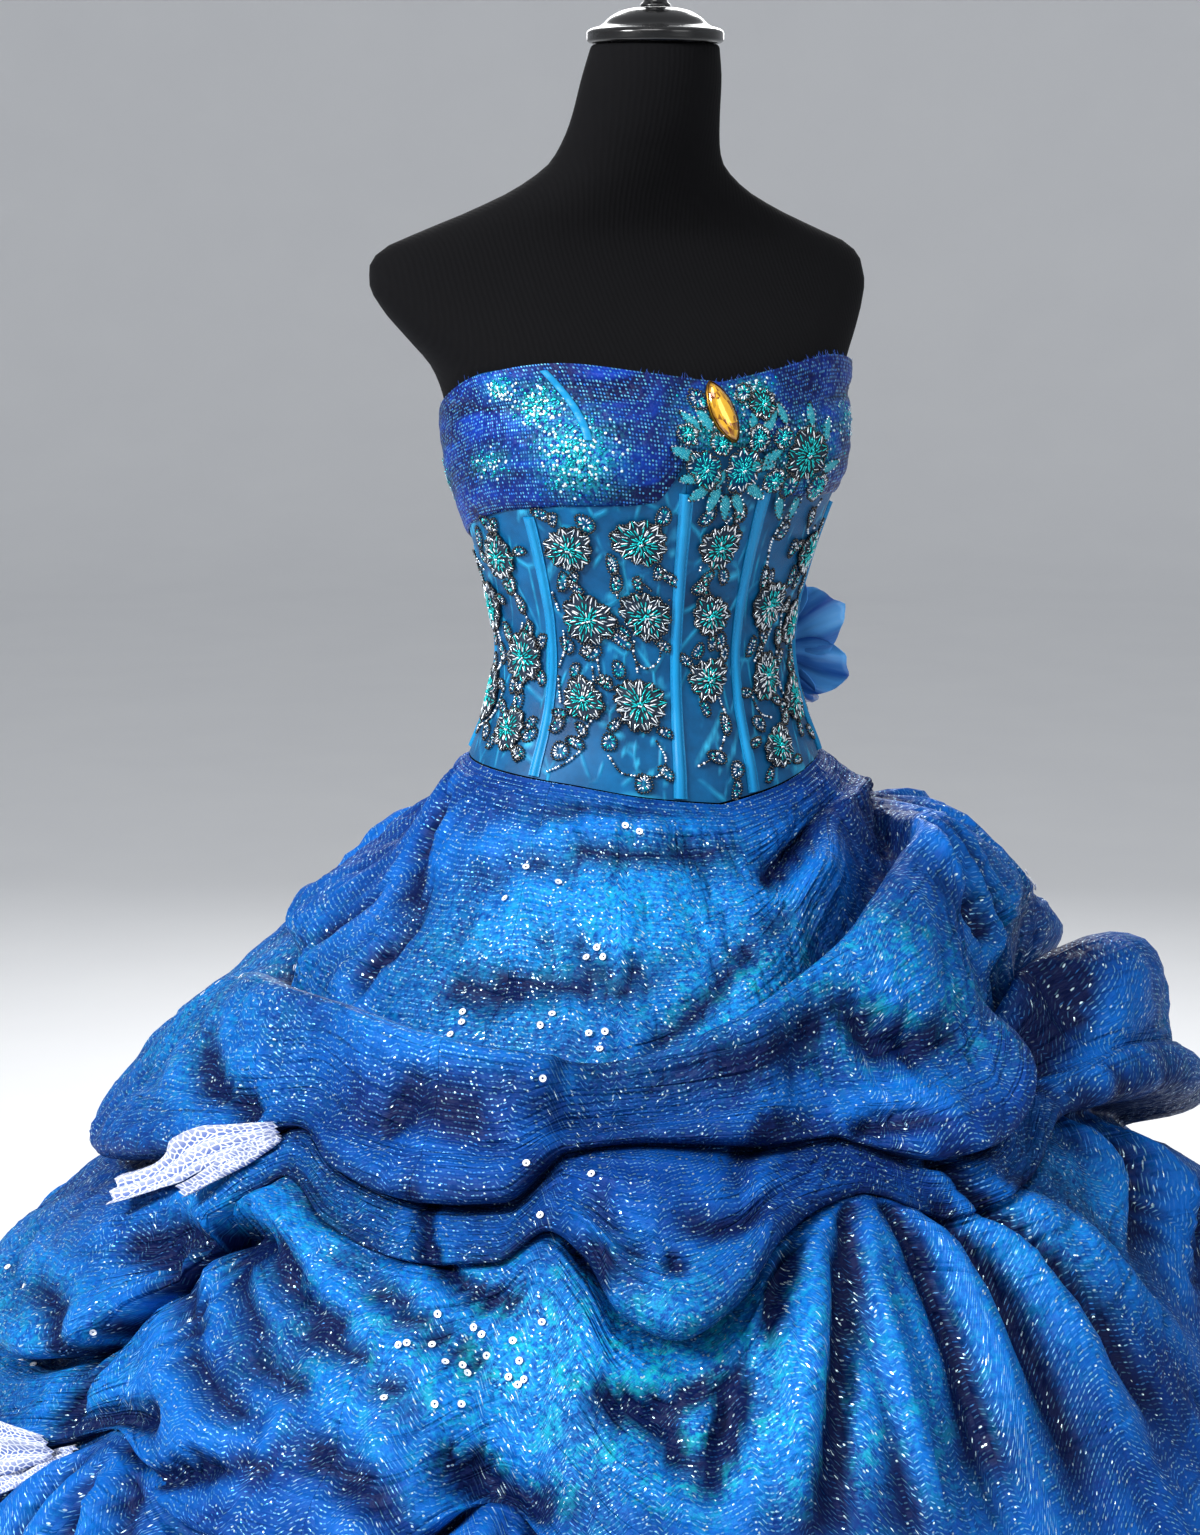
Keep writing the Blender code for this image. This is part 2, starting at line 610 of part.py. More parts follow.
def build_stand(gloss, steel):
    base = (
        (0.0, 0.0),
        (BASE["radius"], 0.0),
        (BASE["radius"], 0.012),
        (BASE["radius"] - 0.012, 0.022),
        (0.060, 0.026),
        (0.030, BASE["height"]),
        (0.0, BASE["height"]),
    )
    turned("stand_base", base, gloss, 32)
    pole = (
        (0.0, POLE["bottom"]),
        (POLE["radius"], POLE["bottom"]),
        (POLE["radius"], POLE["top"]),
        (0.0, POLE["top"]),
    )
    turned("stand_pole", pole, steel, 16)
    # The cap sits on the sloping top of the neck and tips forward
    neck = TORSO[-1]
    tip = Matrix.Translation((0.0, neck[4], neck[0] + SEAM_GAP))
    cap = (
        (0.0, 0.0),
        (0.0475, 0.0),
        (0.0500, 0.003),
        (0.0500, 0.008),
        (0.0470, 0.011),
        (0.0400, 0.013),
        (0.0330, 0.019),
        (0.0230, 0.024),
        (0.0, 0.026),
    )
    turned("neck_cap", cap, gloss, 24, tip)
    finial = (
        (0.0, 0.0263),
        (0.0110, 0.0263),
        (0.0085, 0.031),
        (0.0080, 0.036),
        (0.0125, 0.042),
        (0.0130, 0.047),
        (0.0090, 0.054),
        (0.0045, 0.059),
        (0.0, 0.061),
    )
    turned("finial", finial, gloss, 14, tip)


def spline_weights(rows, controls):
    """Weights of a cubic B-spline that starts on the first control and ends on the last."""
    weights = np.zeros((len(rows), controls))
    spans = controls + 1
    at = np.clip(np.asarray(rows), 0.0, 1.0) * spans
    first = np.minimum(at.astype(int), spans - 1)
    u = at - first
    parts = (
        (1 - u) ** 3 / 6,
        (3 * u**3 - 6 * u**2 + 4) / 6,
        (-3 * u**3 + 3 * u**2 + 3 * u + 1) / 6,
        u**3 / 6,
    )
    for offset, part in enumerate(parts):
        column = np.clip(first + offset - 2, 0, controls - 1)
        np.add.at(weights, (np.arange(len(at)), column), part)
    return weights


def skirt_controls(angles):
    """Radius, height and laid-flat height of the profile's control points at each angle."""
    waist = np.array([edge_height(WAIST_EDGE, a) for a in angles]) - SEAM_GAP
    top = table_at(TORSO, 1, waist) * 0.5 + table_at(TORSO, 2, waist) * 0.5 + EASE + CLOTH
    radius = [top, top + 0.006]
    height = [waist, waist - 0.006]
    flat = [waist, waist - 0.006]
    before = waist - 0.006
    # The pouf's first control point: where it starts, how far down the slope and out of it, and the slope
    start = [top, waist, 0.014, 0.003, 1.0, 0.7071]
    lips = np.asarray(LIP)
    lines = []
    for line in PICK_UPS:
        rows = np.asarray(line, float)
        lines.append([curve_through(rows[:, 0], rows[:, i], angles, 360.0) for i in range(1, 6)])
    falls = [high[0] - low[0] for high, low in zip(lines, lines[1:])] + [lines[-1][0]]
    for line, below, (top_full, middle_full) in zip(lines, falls, FULLNESS):
        level, out, hang, deep, rolled = line
        fall = before - level
        # A pouf between two lines that nearly meet has no room to stand out
        full = np.clip(np.minimum(fall / 0.050, below / 0.046), 0.12, 1.0)
        out, hang, deep = out * full, hang * full + 0.002, deep * full
        drawn = table_at(SKIRT_RADIUS, 1, level)
        slope = (table_at(SKIRT_RADIUS, 1, level - 0.01) - table_at(SKIRT_RADIUS, 1, level + 0.01)) / 0.02
        steep = 1.0 / np.hypot(1.0, slope)
        middle = table_at(SKIRT_RADIUS, 1, before - 0.5 * fall)
        # It swells below the lip above it, or not at all where there is no room
        swell = top_full * out
        down = np.minimum(start[2] + 0.9 * swell, 0.40 * fall / start[5])
        rise = start[3] + swell
        radius += [start[0] + (down * start[4] + rise) * start[5], middle + middle_full * out]
        height += [start[1] + (rise * start[4] - down) * start[5], before - 0.50 * fall]
        flat += [before - 0.16 * fall, before - 0.50 * fall]
        hangs = np.clip(1.0 - 2.0 * rolled, 0.0, 1.0)
        folds = np.clip(2.0 * rolled - 1.0, 0.0, 1.0)
        plain = 1.0 - hangs - folds
        for i, row in enumerate(lips):
            down = (row[0] * hangs + row[2] * plain + row[4] * folds) * hang
            rise = (row[1] * hangs + row[3] * plain + row[5] * folds) * out
            if i == 3:
                rise = rise - TUCK * deep * (1.0 - folds)
            if i == len(lips) - 1:
                start = [drawn, level, down, rise, slope, steep]
            else:
                radius.append(drawn + (down * slope + rise) * steep)
                height.append(level + (rise * slope - down) * steep)
        flat += [level + 0.22 * fall, level + 0.10 * fall, level + 0.04 * fall, level, level - 0.004]
        before = level - 0.004
    fall = before - HEM["height"]
    wave = HEM["depth"] * np.sin(np.radians(angles) * HEM["waves"] + 1.3 * np.sin(np.radians(angles) * 4))
    for part, sway in ((0.12, 0.25), (0.40, 0.6), (0.72, 0.9), (1.0, 1.0)):
        level = before - part * fall
        radius.append(table_at(SKIRT_RADIUS, 1, level) + 0.012 + wave * sway)
        height.append(level)
        flat.append(level)
    return [np.stack(part, axis=1) for part in (radius, height, flat)]


def fan_folds():
    """Rows for the folds below each tack, in turn a ridge and a trough."""
    rows = []
    for angle, height, reach, folds, lift in FANS:
        radius = float(table_at(SKIRT_RADIUS, 1, height))
        for i in range(folds):
            lean = math.radians(FAN_SPREAD * (i / (folds - 1) - 0.5))
            across = math.degrees(reach * math.sin(lean) / radius)
            down = reach * math.cos(lean)
            row = [angle, height - 0.012, angle + 0.55 * across, height - 0.5 * down]
            row += [angle + across, height - down, 0.10 * reach + 0.004, lift if i % 2 else -lift]
            rows.append(row)
    return rows


def fold_lift(angles, flat, folds):
    """How far the folds push the cloth out at each point of the grid."""
    lift = np.zeros_like(flat)
    turn = np.asarray(angles, float)[:, None]
    along = np.linspace(0.0, 1.0, 9)
    near, middle, far = (1 - along) * (1 - 2 * along), 4 * along * (1 - along), along * (2 * along - 1)
    for a0, h0, a1, h1, a2, h2, width, rise in folds:
        scale = math.radians(1.0) * float(table_at(SKIRT_RADIUS, 1, h1))
        off = (turn - a1 + 180.0) % 360.0 - 180.0
        x = off * scale
        path_x = (near * (a0 - a1) + far * (a2 - a1)) * scale
        path_y = near * h0 + middle * h1 + far * h2
        best = np.full(flat.shape, 9.0)
        share = np.zeros(flat.shape)
        for i in range(len(along) - 1):
            dx, dy = path_x[i + 1] - path_x[i], path_y[i + 1] - path_y[i]
            t = np.clip(((x - path_x[i]) * dx + (flat - path_y[i]) * dy) / (dx * dx + dy * dy), 0, 1)
            gap = np.hypot(x - path_x[i] - t * dx, flat - path_y[i] - t * dy)
            closer = gap < best
            best = np.where(closer, gap, best)
            share = np.where(closer, (i + t) / (len(along) - 1), share)
        fade = np.sin(np.pi * np.clip(share, 0.02, 0.98)) ** 0.7
        lift += rise * fade * np.exp(-((best / width) ** 2))
    return lift


def skirt_grid(angles, rows):
    """Points (angle, row, xyz) of the skirt's outer face, and each one's laid-flat height."""
    angles = np.asarray(angles, float)
    radius, height, flat = skirt_controls(angles)
    weights = spline_weights(rows, radius.shape[1])
    radius, height, flat = (part @ weights.T for part in (radius, height, flat))
    lift = fold_lift(angles, flat, FOLDS + tuple(fan_folds()))
    # The folds die out into the waist seam and at the hem
    waist = flat.max(axis=1, keepdims=True)
    lift = lift * np.clip((waist - flat) / 0.04, 0.0, 1.0) * np.clip(flat / 0.10, 0.0, 1.0)
    radius = radius + lift * math.cos(math.radians(FOLD_TILT))
    height = height + lift * math.sin(math.radians(FOLD_TILT))
    # The waist is an oval, and the skirt grows round below it
    oval = 0.0145 * np.clip((height - 0.86) / 0.15, 0.0, 1.0)
    turn = np.radians(angles)[:, None]
    points = np.stack(
        [(radius + oval) * np.sin(turn), -(radius - oval) * np.cos(turn), height], axis=2
    )
    return points, flat


def skirt_stops():
    """Rows of the wall: the waist, four or five across each pouf, two across the flounce and the hem."""
    controls = 2 + 7 * len(PICK_UPS) + 4
    stops = [0.0]
    for pouf, places in enumerate(ROW_STOPS):
        stops += [(3 + 7 * pouf + stop) / (controls + 1) for stop in places]
    stops += [(3 + 7 * len(PICK_UPS) + stop) / (controls + 1) for stop in HEM_STOPS]
    return np.array(stops + [1.0])


def skirt_place(angle, level):
    """Point of the skirt at an angle and a laid-flat height."""
    rows = np.linspace(0.0, 1.0, 400)
    points, flat = skirt_grid([angle], rows)
    return Vector(points[0, int(np.argmin(np.abs(flat[0] - level)))])


def outward_of(points):
    """Unit normals of a closed grid (round the body, up, xyz), and the direction across its columns."""

    def unit(vectors):
        return vectors / np.linalg.norm(vectors, axis=2, keepdims=True)

    ahead = unit(np.roll(points, -1, axis=0) - points)
    round_body = ahead + np.roll(ahead, 1, axis=0)
    steps = unit(np.diff(points, axis=1))
    up = np.concatenate([steps[:, :1], unit(steps[:, 1:] + steps[:, :-1]), steps[:, -1:]], axis=1)
    outward = unit(np.cross(round_body, up))
    return outward, np.cross(up, outward)


def build_skirt(finish):
    """Five gores cut from one grid round the body, so that neighbours match along their seams."""
    stops = skirt_stops()[::-1]
    angles = np.concatenate([np.linspace(first, last, n + 1)[:-1] for _, first, last, n in GORES])
    points, _ = skirt_grid(angles, stops)
    outward, across_seam = outward_of(points)
    made = []
    start = 0
    for name, _, _, columns in GORES:
        pick = np.arange(start, start + columns + 1) % len(angles)
        start += columns
        outer = points[pick]
        outer[0] += 0.5 * SEAM_GAP * across_seam[pick[0]]
        outer[-1] -= 0.5 * SEAM_GAP * across_seam[pick[-1]]
        inward = outward[pick]

        def place(across, up, depth, outer=outer, inward=inward, columns=columns):
            column, row = round(across * columns), round(up * (len(stops) - 1))
            return outer[column, row] - depth * inward[column, row]

        made.append(cloth_panel(name, columns, len(stops) - 1, place, SKIRT_CLOTH, finish))
    return made


def build_ribbons(cloths, finish):
    """Narrow strips tied on at a tack; each lies on the poufs and lifts off them towards its free end."""
    steps = RIBBON["steps"]
    tree = surface_under(cloths)
    for name, a0, h0, a1, h1, width, tied in RIBBONS:
        spots = []
        for i in range(steps + 1):
            share = i / steps
            spots.append(skirt_place(a0 + (a1 - a0) * share, h0 + (h1 - h0) * share))

        def place(across, up, depth, spots=spots, width=width, tied=tied):
            i = round(across * steps)
            ahead = spots[min(i + 1, steps)] - spots[max(i - 1, 0)]
            level_out = Vector((spots[i].x, spots[i].y, 0.0)).normalized()
            outward = (level_out * 0.9 + Vector((0, 0, 0.43))).normalized()
            side = outward.cross(ahead).normalized()
            gather = 0.40 + 0.60 * min(1.0, i / 2.0)
            start = spots[i] + side * (up - 0.5) * width * gather + outward * 0.20
            # The highest cloth close by carries the strip
            shifts = [Vector(), side * 0.008, side * -0.008]
            shifts += [ahead * share for share in (0.5, -0.5, 0.25, -0.25)]
            hits = [tree.ray_cast(start + shift, -outward)[3] for shift in shifts]
            drop = min(hit for hit in hits if hit)
            clear = tied + (RIBBON["clear"] - tied) * min(1.0, i / 2.0)
            return start - outward * (drop - clear - RIBBON["cloth"] + depth)

        cloth_panel(name, steps, 2, place, RIBBON["cloth"], finish)


def laid_on_bodice(name, first, last, rows, out, thickness, finish):
    """Cloth on the body between two angles, over a range of the bodice's rows, its outer face at out."""
    angles = columns_between(first, last)
    angles[0] = seam_angle(first, 1)
    angles[-1] = seam_angle(last, -1)
    columns = len(angles) - 1

    def place(across, up, depth):
        angle = angles[round(across * columns)]
        row = rows[0] + round(up * (rows[1] - rows[0]))
        return bodice_point(angle, row_level(angle, row), out - depth)

    return cloth_panel(name, columns, rows[1] - rows[0], place, thickness, finish)


def build_bodice(satin, mesh_blue, trim):
    outside = EASE + CLOTH
    front, side, back = SEAM["front"], SEAM["side"], SEAM["back"]
    panels = (
        ("bodice_front", -front, front),
        ("bodice_side_front_right", -side, -front),
        ("bodice_side_front_left", front, side),
        ("bodice_side_back_right", -back, -side),
        ("bodice_side_back_left", side, back),
        ("bodice_back_right", -180.0, -back),
        ("bodice_back_left", back, 180.0),
    )
    rows = (0, LOW_ROWS + DRAPE_ROWS)
    made = [laid_on_bodice(name, first, last, rows, outside, CLOTH, satin) for name, first, last in panels]

    drape_out = outside + LAID_GAP + DRAPE_CLOTH
    rows = (LOW_ROWS, LOW_ROWS + DRAPE_ROWS)
    halves = (("bust_drape_right", -DRAPE_END, 0.0), ("bust_drape_left", 0.0, DRAPE_END))
    drapes = []
    for name, first, last in halves:
        drapes.append(laid_on_bodice(name, first, last, rows, drape_out, DRAPE_CLOTH, mesh_blue))
    # Boning channels stitched over the seams
    for seam in ("front", "side", "back"):
        for hand, sign in (("right", -1), ("left", 1)):
            build_bone(f"bone_{seam}_{hand}", sign * SEAM[seam], outside, trim)
    return made, drapes


def build_bone(name, angle, outside, finish):
    """Channel strip over a seam, from the waist to just under the bust drape, crowned along its middle."""
    reach = math.degrees(BONE["width"] / 0.110)
    top = min(drape_level(angle - reach), drape_level(angle + reach)) - BONE["short"]

    def place(across, up, depth):
        here = angle + (across - 0.5) * reach
        crown = 0.0006 if 0.2 < across < 0.8 and depth == 0.0 else 0.0
        level = min(max(row_level(here, round(up * LOW_ROWS)), 0.004), top)
        return bodice_point(here, level, outside + BONE["clear"] + BONE["height"] + crown - depth)

    return cloth_panel(name, 2, LOW_ROWS, place, BONE["height"], finish)


def build_placket(outside, finish):
    """Lapped strip over the centre back opening; its hooks and eyes lie inside the lap."""
    reach = math.degrees(PLACKET["width"] / 0.105)
    rows = LOW_ROWS + DRAPE_ROWS

    def place(across, up, depth):
        here = 180.0 + (across - 0.5) * reach
        level = min(max(row_level(here, round(up * rows)), 0.004), 0.996)
        return bodice_point(here, level, outside + PLACKET["clear"] + PLACKET["height"] - depth)

    return cloth_panel("bodice_placket", 2, rows, place, PLACKET["height"], finish)


def domed(mesh, rings, heart, peak):
    """Closes rings of points, lowest first, into one solid from the heart of its foot to its peak."""
    loops = [[mesh.verts.new(point) for point in ring] for ring in rings]
    edges = []
    for loop in loops:
        edges.append([mesh.edges.new(pair) for pair in zip(loop, loop[1:] + loop[:1])])
    for low, high in zip(edges, edges[1:]):
        bmesh.ops.bridge_loops(mesh, edges=low + high)
    foot = mesh.faces.new(loops[0])
    top = mesh.faces.new(loops[-1])
    for face, spot in ((foot, heart), (top, peak)):
        bmesh.ops.poke(mesh, faces=[face])["verts"][0].co = spot
    bmesh.ops.recalc_face_normals(mesh, faces=mesh.faces)


def build_flower(name, angle, level, radius, tree, clear, finish):
    """Low dome with notched petals; its foot follows the cloth below it."""
    points = 2 * FLOWER["petals"]
    span = edge_height(TOP_EDGE, angle) - edge_height(WAIST_EDGE, angle)
    degree = (bodice_point(angle + 0.5, level, 0.0) - bodice_point(angle - 0.5, level, 0.0)).length

    def spot(across, up, rise):
        here, high = angle + across / degree, level + up / span
        start = bodice_point(here, high, 0.02)
        inward = (bodice_point(here, high, 0.01) - start).normalized()
        return tree.ray_cast(start, inward)[0] - inward * (clear + rise)

    def ring(scale, rise):
        spots = []
        for i in range(points):
            turn = math.tau * i / points
            reach = radius * scale * (1.0 if i % 2 else FLOWER["notch"])
            spots.append(spot(reach * math.cos(turn), reach * math.sin(turn), rise))
        return spots

    mesh = bmesh.new()
    rings = [ring(1.0, 0.0), ring(1.0, FLOWER["rim"]), ring(0.5, FLOWER["crown"])]
    domed(mesh, rings, spot(0.0, 0.0, 0.0), spot(0.0, 0.0, FLOWER["crown"] - 0.0008))
    return add_object(name, mesh, finish, 50.0)


def build_flowers(panels, drapes, silver, teal):
    tree = surface_under(panels)
    for i, (angle, level, radius) in enumerate(FLOWERS):
        build_flower(f"bead_flower_{i + 1:02d}", angle, level, radius, tree, FLOWER["clear"], silver)
    tree = surface_under(drapes)
    for i, (angle, level, radius, clear) in enumerate(DRAPE_FLOWERS):
        build_flower(f"bust_flower_{i + 1:02d}", angle, level, radius, tree, clear, teal)


def build_stone(outside, finish):
    """Faceted pointed oval: a girdle, a table and a flat back, lying on the drape."""
    base = outside + LAID_GAP + DRAPE_CLOTH + STONE["clear"]
    centre = bodice_point(STONE["angle"], STONE["level"], base)
    normal = (bodice_point(STONE["angle"], STONE["level"], base + 0.01) - centre).normalized()
    side = Vector((0, 0, 1)).cross(normal).normalized()
    up = normal.cross(side)
    lean = Matrix.Rotation(math.radians(STONE["lean"]), 3, normal)
    side, up = lean @ side, lean @ up
    corners = 12

    def ring(scale, rise):
        spots = []
        for i in range(corners):
            turn = math.tau * i / corners
            across = STONE["width"] / 2 * math.copysign(abs(math.cos(turn)) ** 1.35, math.cos(turn))
            along = STONE["length"] / 2 * math.sin(turn)
            spots.append(centre + side * across * scale + up * along * scale + normal * rise)
        return spots

    mesh = bmesh.new()
    high = STONE["height"]
    domed(
        mesh,
        [ring(0.82, 0.0), ring(1.0, 0.35 * high), ring(0.80, 0.8 * high), ring(0.5, high)],
        centre,
        centre + normal * high,
    )
    return add_object("amber_stone", mesh, finish, 20.0)


def build_rosette(outside, finish):
    """Cupped satin petals round a rolled heart, sewn on flat by its middle."""
    angle, height = ROSETTE["angle"], ROSETTE["height"]
    seat = torso_point(angle, height, outside + ROSETTE["clear"])
    normal = (torso_point(angle, height, outside + 0.02) - seat).normalized()
    turn = normal.to_track_quat("Z", "Y").to_matrix().to_4x4()
    place = Matrix.Translation(seat) @ turn
    # The cup: rings from its foot out to the waving rim, thickened into a wall
    rings, around = 4, 24
    mesh = bmesh.new()
    bmesh.ops.create_grid(mesh, x_segments=around, y_segments=rings, size=0.5)
    inner = 0.012
    for vert in mesh.verts:
        sweep = (vert.co.x + 0.5) * math.tau
        share = vert.co.y + 0.5
        wave = share * share * (0.006 * math.sin(5 * sweep) + 0.003 * math.sin(8 * sweep + 1.0))
        reach = inner + (ROSETTE["radius"] - inner) * share
        reach *= 1.0 + 0.05 * share * math.sin(5 * sweep + 1.2)
        lift = ROSETTE["stand"] * min(1.0, share * 2.5) + ROSETTE["cup"] * share**2.2 + wave
        rise = ROSETTE["cloth"] - 0.0010 + lift
        vert.co = Vector((reach * math.cos(sweep), reach * math.sin(sweep), rise))
    bmesh.ops.remove_doubles(mesh, verts=mesh.verts, dist=0.00005)
    bmesh.ops.transform(mesh, matrix=place, verts=mesh.verts)
    cup = add_object("rosette_petals", mesh, finish, None)
    wall = cup.modifiers.new("Cloth", "SOLIDIFY")
    wall.thickness = ROSETTE["cloth"]
    wall.offset = -1.0
    heart = (
        (0.0, 0.0),
        (0.0070, 0.0),
        (0.0105, 0.010),
        (ROSE_HEART["radius"], ROSE_HEART["height"]),
        (0.012, ROSE_HEART["height"] + 0.006),
        (0.0, ROSE_HEART["height"] + 0.008),
    )
    turned("rosette_heart", heart, finish, 12, place)


jersey = material("Black jersey", "15151A", 0.85)
gloss_black = material("Black lacquered wood", "0C0C0E", 0.25)
steel_tube = material("Black steel tube", "1A1A1C", 0.40, 0.8)
satin_blue = material("Turquoise satin under mesh", "0E86B8", 0.45)
drape_blue = material("Royal blue sequin mesh", "1A3FA8", 0.45)
channel_blue = material("Turquoise satin channel", "1FA3D8", 0.40)
bead_silver = material("Silver and black beadwork", "6E8F96", 0.35, 0.3)
bead_teal = material("Teal beadwork", "2BB4BE", 0.35, 0.2)
amber_glass = material("Amber glass", "C87A10", 0.08)
net_white = material("White net ribbon", "E8E8EE", 0.60)
rose_blue = material("Sky blue satin", "2F8FE8", 0.35)
skirt_blue = material("Azure glitter mesh", "0A56B4", 0.55)

build_form(jersey)
build_stand(gloss_black, steel_tube)
panels, drapes = build_bodice(satin_blue, drape_blue, channel_blue)
build_placket(EASE + CLOTH, satin_blue)
build_flowers(panels, drapes, bead_silver, bead_teal)
build_stone(EASE + CLOTH, amber_glass)
build_ribbons(build_skirt(skirt_blue), net_white)
build_rosette(EASE + CLOTH, rose_blue)
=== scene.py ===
"""Strapless ball gown with a pick-up skirt on a limbless dress form, finished for rendering.

Metres, +Z up, and the gown faces -Y. An angle is measured round the body from the centre front,
growing towards the wearer's left (+X). A level on the bodice is 0 at the waist seam and 1 at the neckline.
"""

import math
import random

import bmesh
import bpy
import numpy as np
from mathutils import Matrix, Vector
from mathutils.bvhtree import BVHTree


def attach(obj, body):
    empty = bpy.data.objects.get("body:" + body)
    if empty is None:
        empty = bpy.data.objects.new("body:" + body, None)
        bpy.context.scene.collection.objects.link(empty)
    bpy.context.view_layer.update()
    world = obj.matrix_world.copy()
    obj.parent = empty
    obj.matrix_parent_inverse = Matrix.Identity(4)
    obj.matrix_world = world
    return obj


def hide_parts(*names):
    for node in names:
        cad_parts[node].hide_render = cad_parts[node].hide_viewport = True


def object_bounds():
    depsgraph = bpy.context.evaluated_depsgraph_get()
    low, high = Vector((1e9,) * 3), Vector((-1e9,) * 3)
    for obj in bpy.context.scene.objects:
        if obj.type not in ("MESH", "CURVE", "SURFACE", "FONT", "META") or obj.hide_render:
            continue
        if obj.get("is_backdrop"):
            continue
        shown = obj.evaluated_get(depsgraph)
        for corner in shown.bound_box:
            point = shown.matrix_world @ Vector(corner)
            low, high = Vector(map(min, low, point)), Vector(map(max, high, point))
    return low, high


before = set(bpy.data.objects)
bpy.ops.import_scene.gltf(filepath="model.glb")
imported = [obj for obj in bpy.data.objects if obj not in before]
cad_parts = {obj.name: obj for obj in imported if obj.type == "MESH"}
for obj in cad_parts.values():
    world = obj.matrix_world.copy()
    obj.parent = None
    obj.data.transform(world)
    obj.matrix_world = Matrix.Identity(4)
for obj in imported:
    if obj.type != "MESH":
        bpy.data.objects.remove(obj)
cad_low, cad_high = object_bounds()

# Camera: it stands to the wearer's right of the front, at shoulder height, with a short telephoto lens
# that looks a little down. The focal length and the side shift are in pixels of the 1200 x 1535 frame.
PHOTO = {"width": 1200.0, "height": 1535.0, "focal": 3363.0, "aside": 45.0}
STAND_AT = {"angle": -29.0, "distance": 2.52, "height": 1.4595, "down": 10.3}
SENSOR = 36.0

turn = math.radians(STAND_AT["angle"])
backward = Vector((math.sin(turn), -math.cos(turn), 0.0))
sideways = Vector((math.cos(turn), math.sin(turn), 0.0))
yaw = math.atan(PHOTO["aside"] / PHOTO["focal"])
pitch = math.radians(STAND_AT["down"])
level_ahead = -backward * math.cos(yaw) - sideways * math.sin(yaw)
camera_right = sideways * math.cos(yaw) - backward * math.sin(yaw)
camera_ahead = level_ahead * math.cos(pitch) - Vector((0, 0, math.sin(pitch)))
camera_up = camera_right.cross(camera_ahead)
camera_at = backward * STAND_AT["distance"] + Vector((0, 0, STAND_AT["height"]))
camera = bpy.data.objects.new("camera", bpy.data.cameras.new("camera"))
camera.data.sensor_width = SENSOR
camera.data.lens = PHOTO["focal"] / PHOTO["height"] * SENSOR
facing = Matrix((camera_right, camera_up, -camera_ahead)).transposed()
camera.matrix_world = Matrix.Translation(camera_at) @ facing.to_4x4()
bpy.context.scene.collection.objects.link(camera)
bpy.context.scene.camera = camera


def sight_line(across, down):
    """Direction from the camera through a place in the frame, in its pixels."""
    x = (across - PHOTO["width"] / 2) / PHOTO["focal"]
    y = (PHOTO["height"] / 2 - down) / PHOTO["focal"]
    return (camera_ahead + camera_right * x + camera_up * y).normalized()


# Dress form: a moulded torso padded and covered in black cotton jersey, seamed at the sides and
# down the back. It ends above the hips, has no arms, and stands on a turned, lacquered base.
TORSO = (
    # height, half width, front depth, back depth, centre y
    (0.820, 0.152, 0.112, 0.120, 0.000),
    (0.880, 0.158, 0.118, 0.126, 0.000),
    (0.940, 0.154, 0.117, 0.122, 0.000),
    (0.985, 0.145, 0.112, 0.114, 0.000),
    (1.015, 0.136, 0.107, 0.106, 0.000),
    (1.043, 0.1245, 0.099, 0.096, 0.000),
    (1.066, 0.1175, 0.094, 0.090, 0.000),
    (1.095, 0.1135, 0.091, 0.087, 0.000),
    (1.126, 0.1165, 0.094, 0.089, 0.000),
    (1.149, 0.1225, 0.099, 0.093, 0.000),
    (1.173, 0.1300, 0.105, 0.097, 0.000),
    (1.197, 0.1385, 0.112, 0.101, 0.000),
    (1.232, 0.1510, 0.119, 0.106, 0.000),
    (1.256, 0.1550, 0.119, 0.108, 0.000),
    (1.280, 0.1570, 0.114, 0.108, 0.001),
    (1.305, 0.1650, 0.107, 0.106, 0.004),
    (1.330, 0.1840, 0.094, 0.100, 0.014),
    (1.350, 0.1990, 0.082, 0.092, 0.024),
    (1.368, 0.2070, 0.072, 0.082, 0.031),
    (1.382, 0.2060, 0.064, 0.074, 0.034),
    (1.393, 0.1960, 0.058, 0.066, 0.035),
    (1.404, 0.1700, 0.053, 0.060, 0.034),
    (1.420, 0.1280, 0.050, 0.056, 0.029),
    (1.438, 0.0900, 0.048, 0.052, 0.021),
    (1.458, 0.0660, 0.048, 0.050, 0.012),
    (1.485, 0.0565, 0.050, 0.050, 0.001),
    (1.515, 0.0520, 0.050, 0.049, -0.008),
    (1.540, 0.0470, 0.046, 0.045, -0.014),
)
CUP = {"angle": 36.0, "height": 1.247, "across": 21.0, "up": 0.034, "rise": 0.010}
FORM_COLUMNS = 96
FORM_ROWS = 100


def curve_through(knots, values, at, period=None):
    """Smooth curve through a table's rows that never swings past a row (monotone cubic)."""
    knots = np.asarray(knots, float)
    values = np.asarray(values, float)
    at = np.asarray(at, float)
    if period:
        knots = np.concatenate([knots - period, knots, knots + period])
        values = np.tile(values, 3)
    step = np.diff(knots)
    slope = np.diff(values) / step
    bend = np.zeros(len(knots))
    same = slope[:-1] * slope[1:] > 0
    weight = np.where(same, slope[:-1] + slope[1:], 1.0)
    bend[1:-1] = np.where(same, 2 * slope[:-1] * slope[1:] / weight, 0.0)
    if not period:
        bend[0] = slope[0]
        bend[-1] = slope[-1]
    span = np.clip(np.searchsorted(knots, at) - 1, 0, len(step) - 1)
    t = np.clip((at - knots[span]) / step[span], 0.0, 1.0)
    start = (1 + 2 * t) * (1 - t) ** 2 * values[span] + t * (1 - t) ** 2 * step[span] * bend[span]
    end = t * t * (3 - 2 * t) * values[span + 1] - t * t * (1 - t) * step[span] * bend[span + 1]
    return start + end


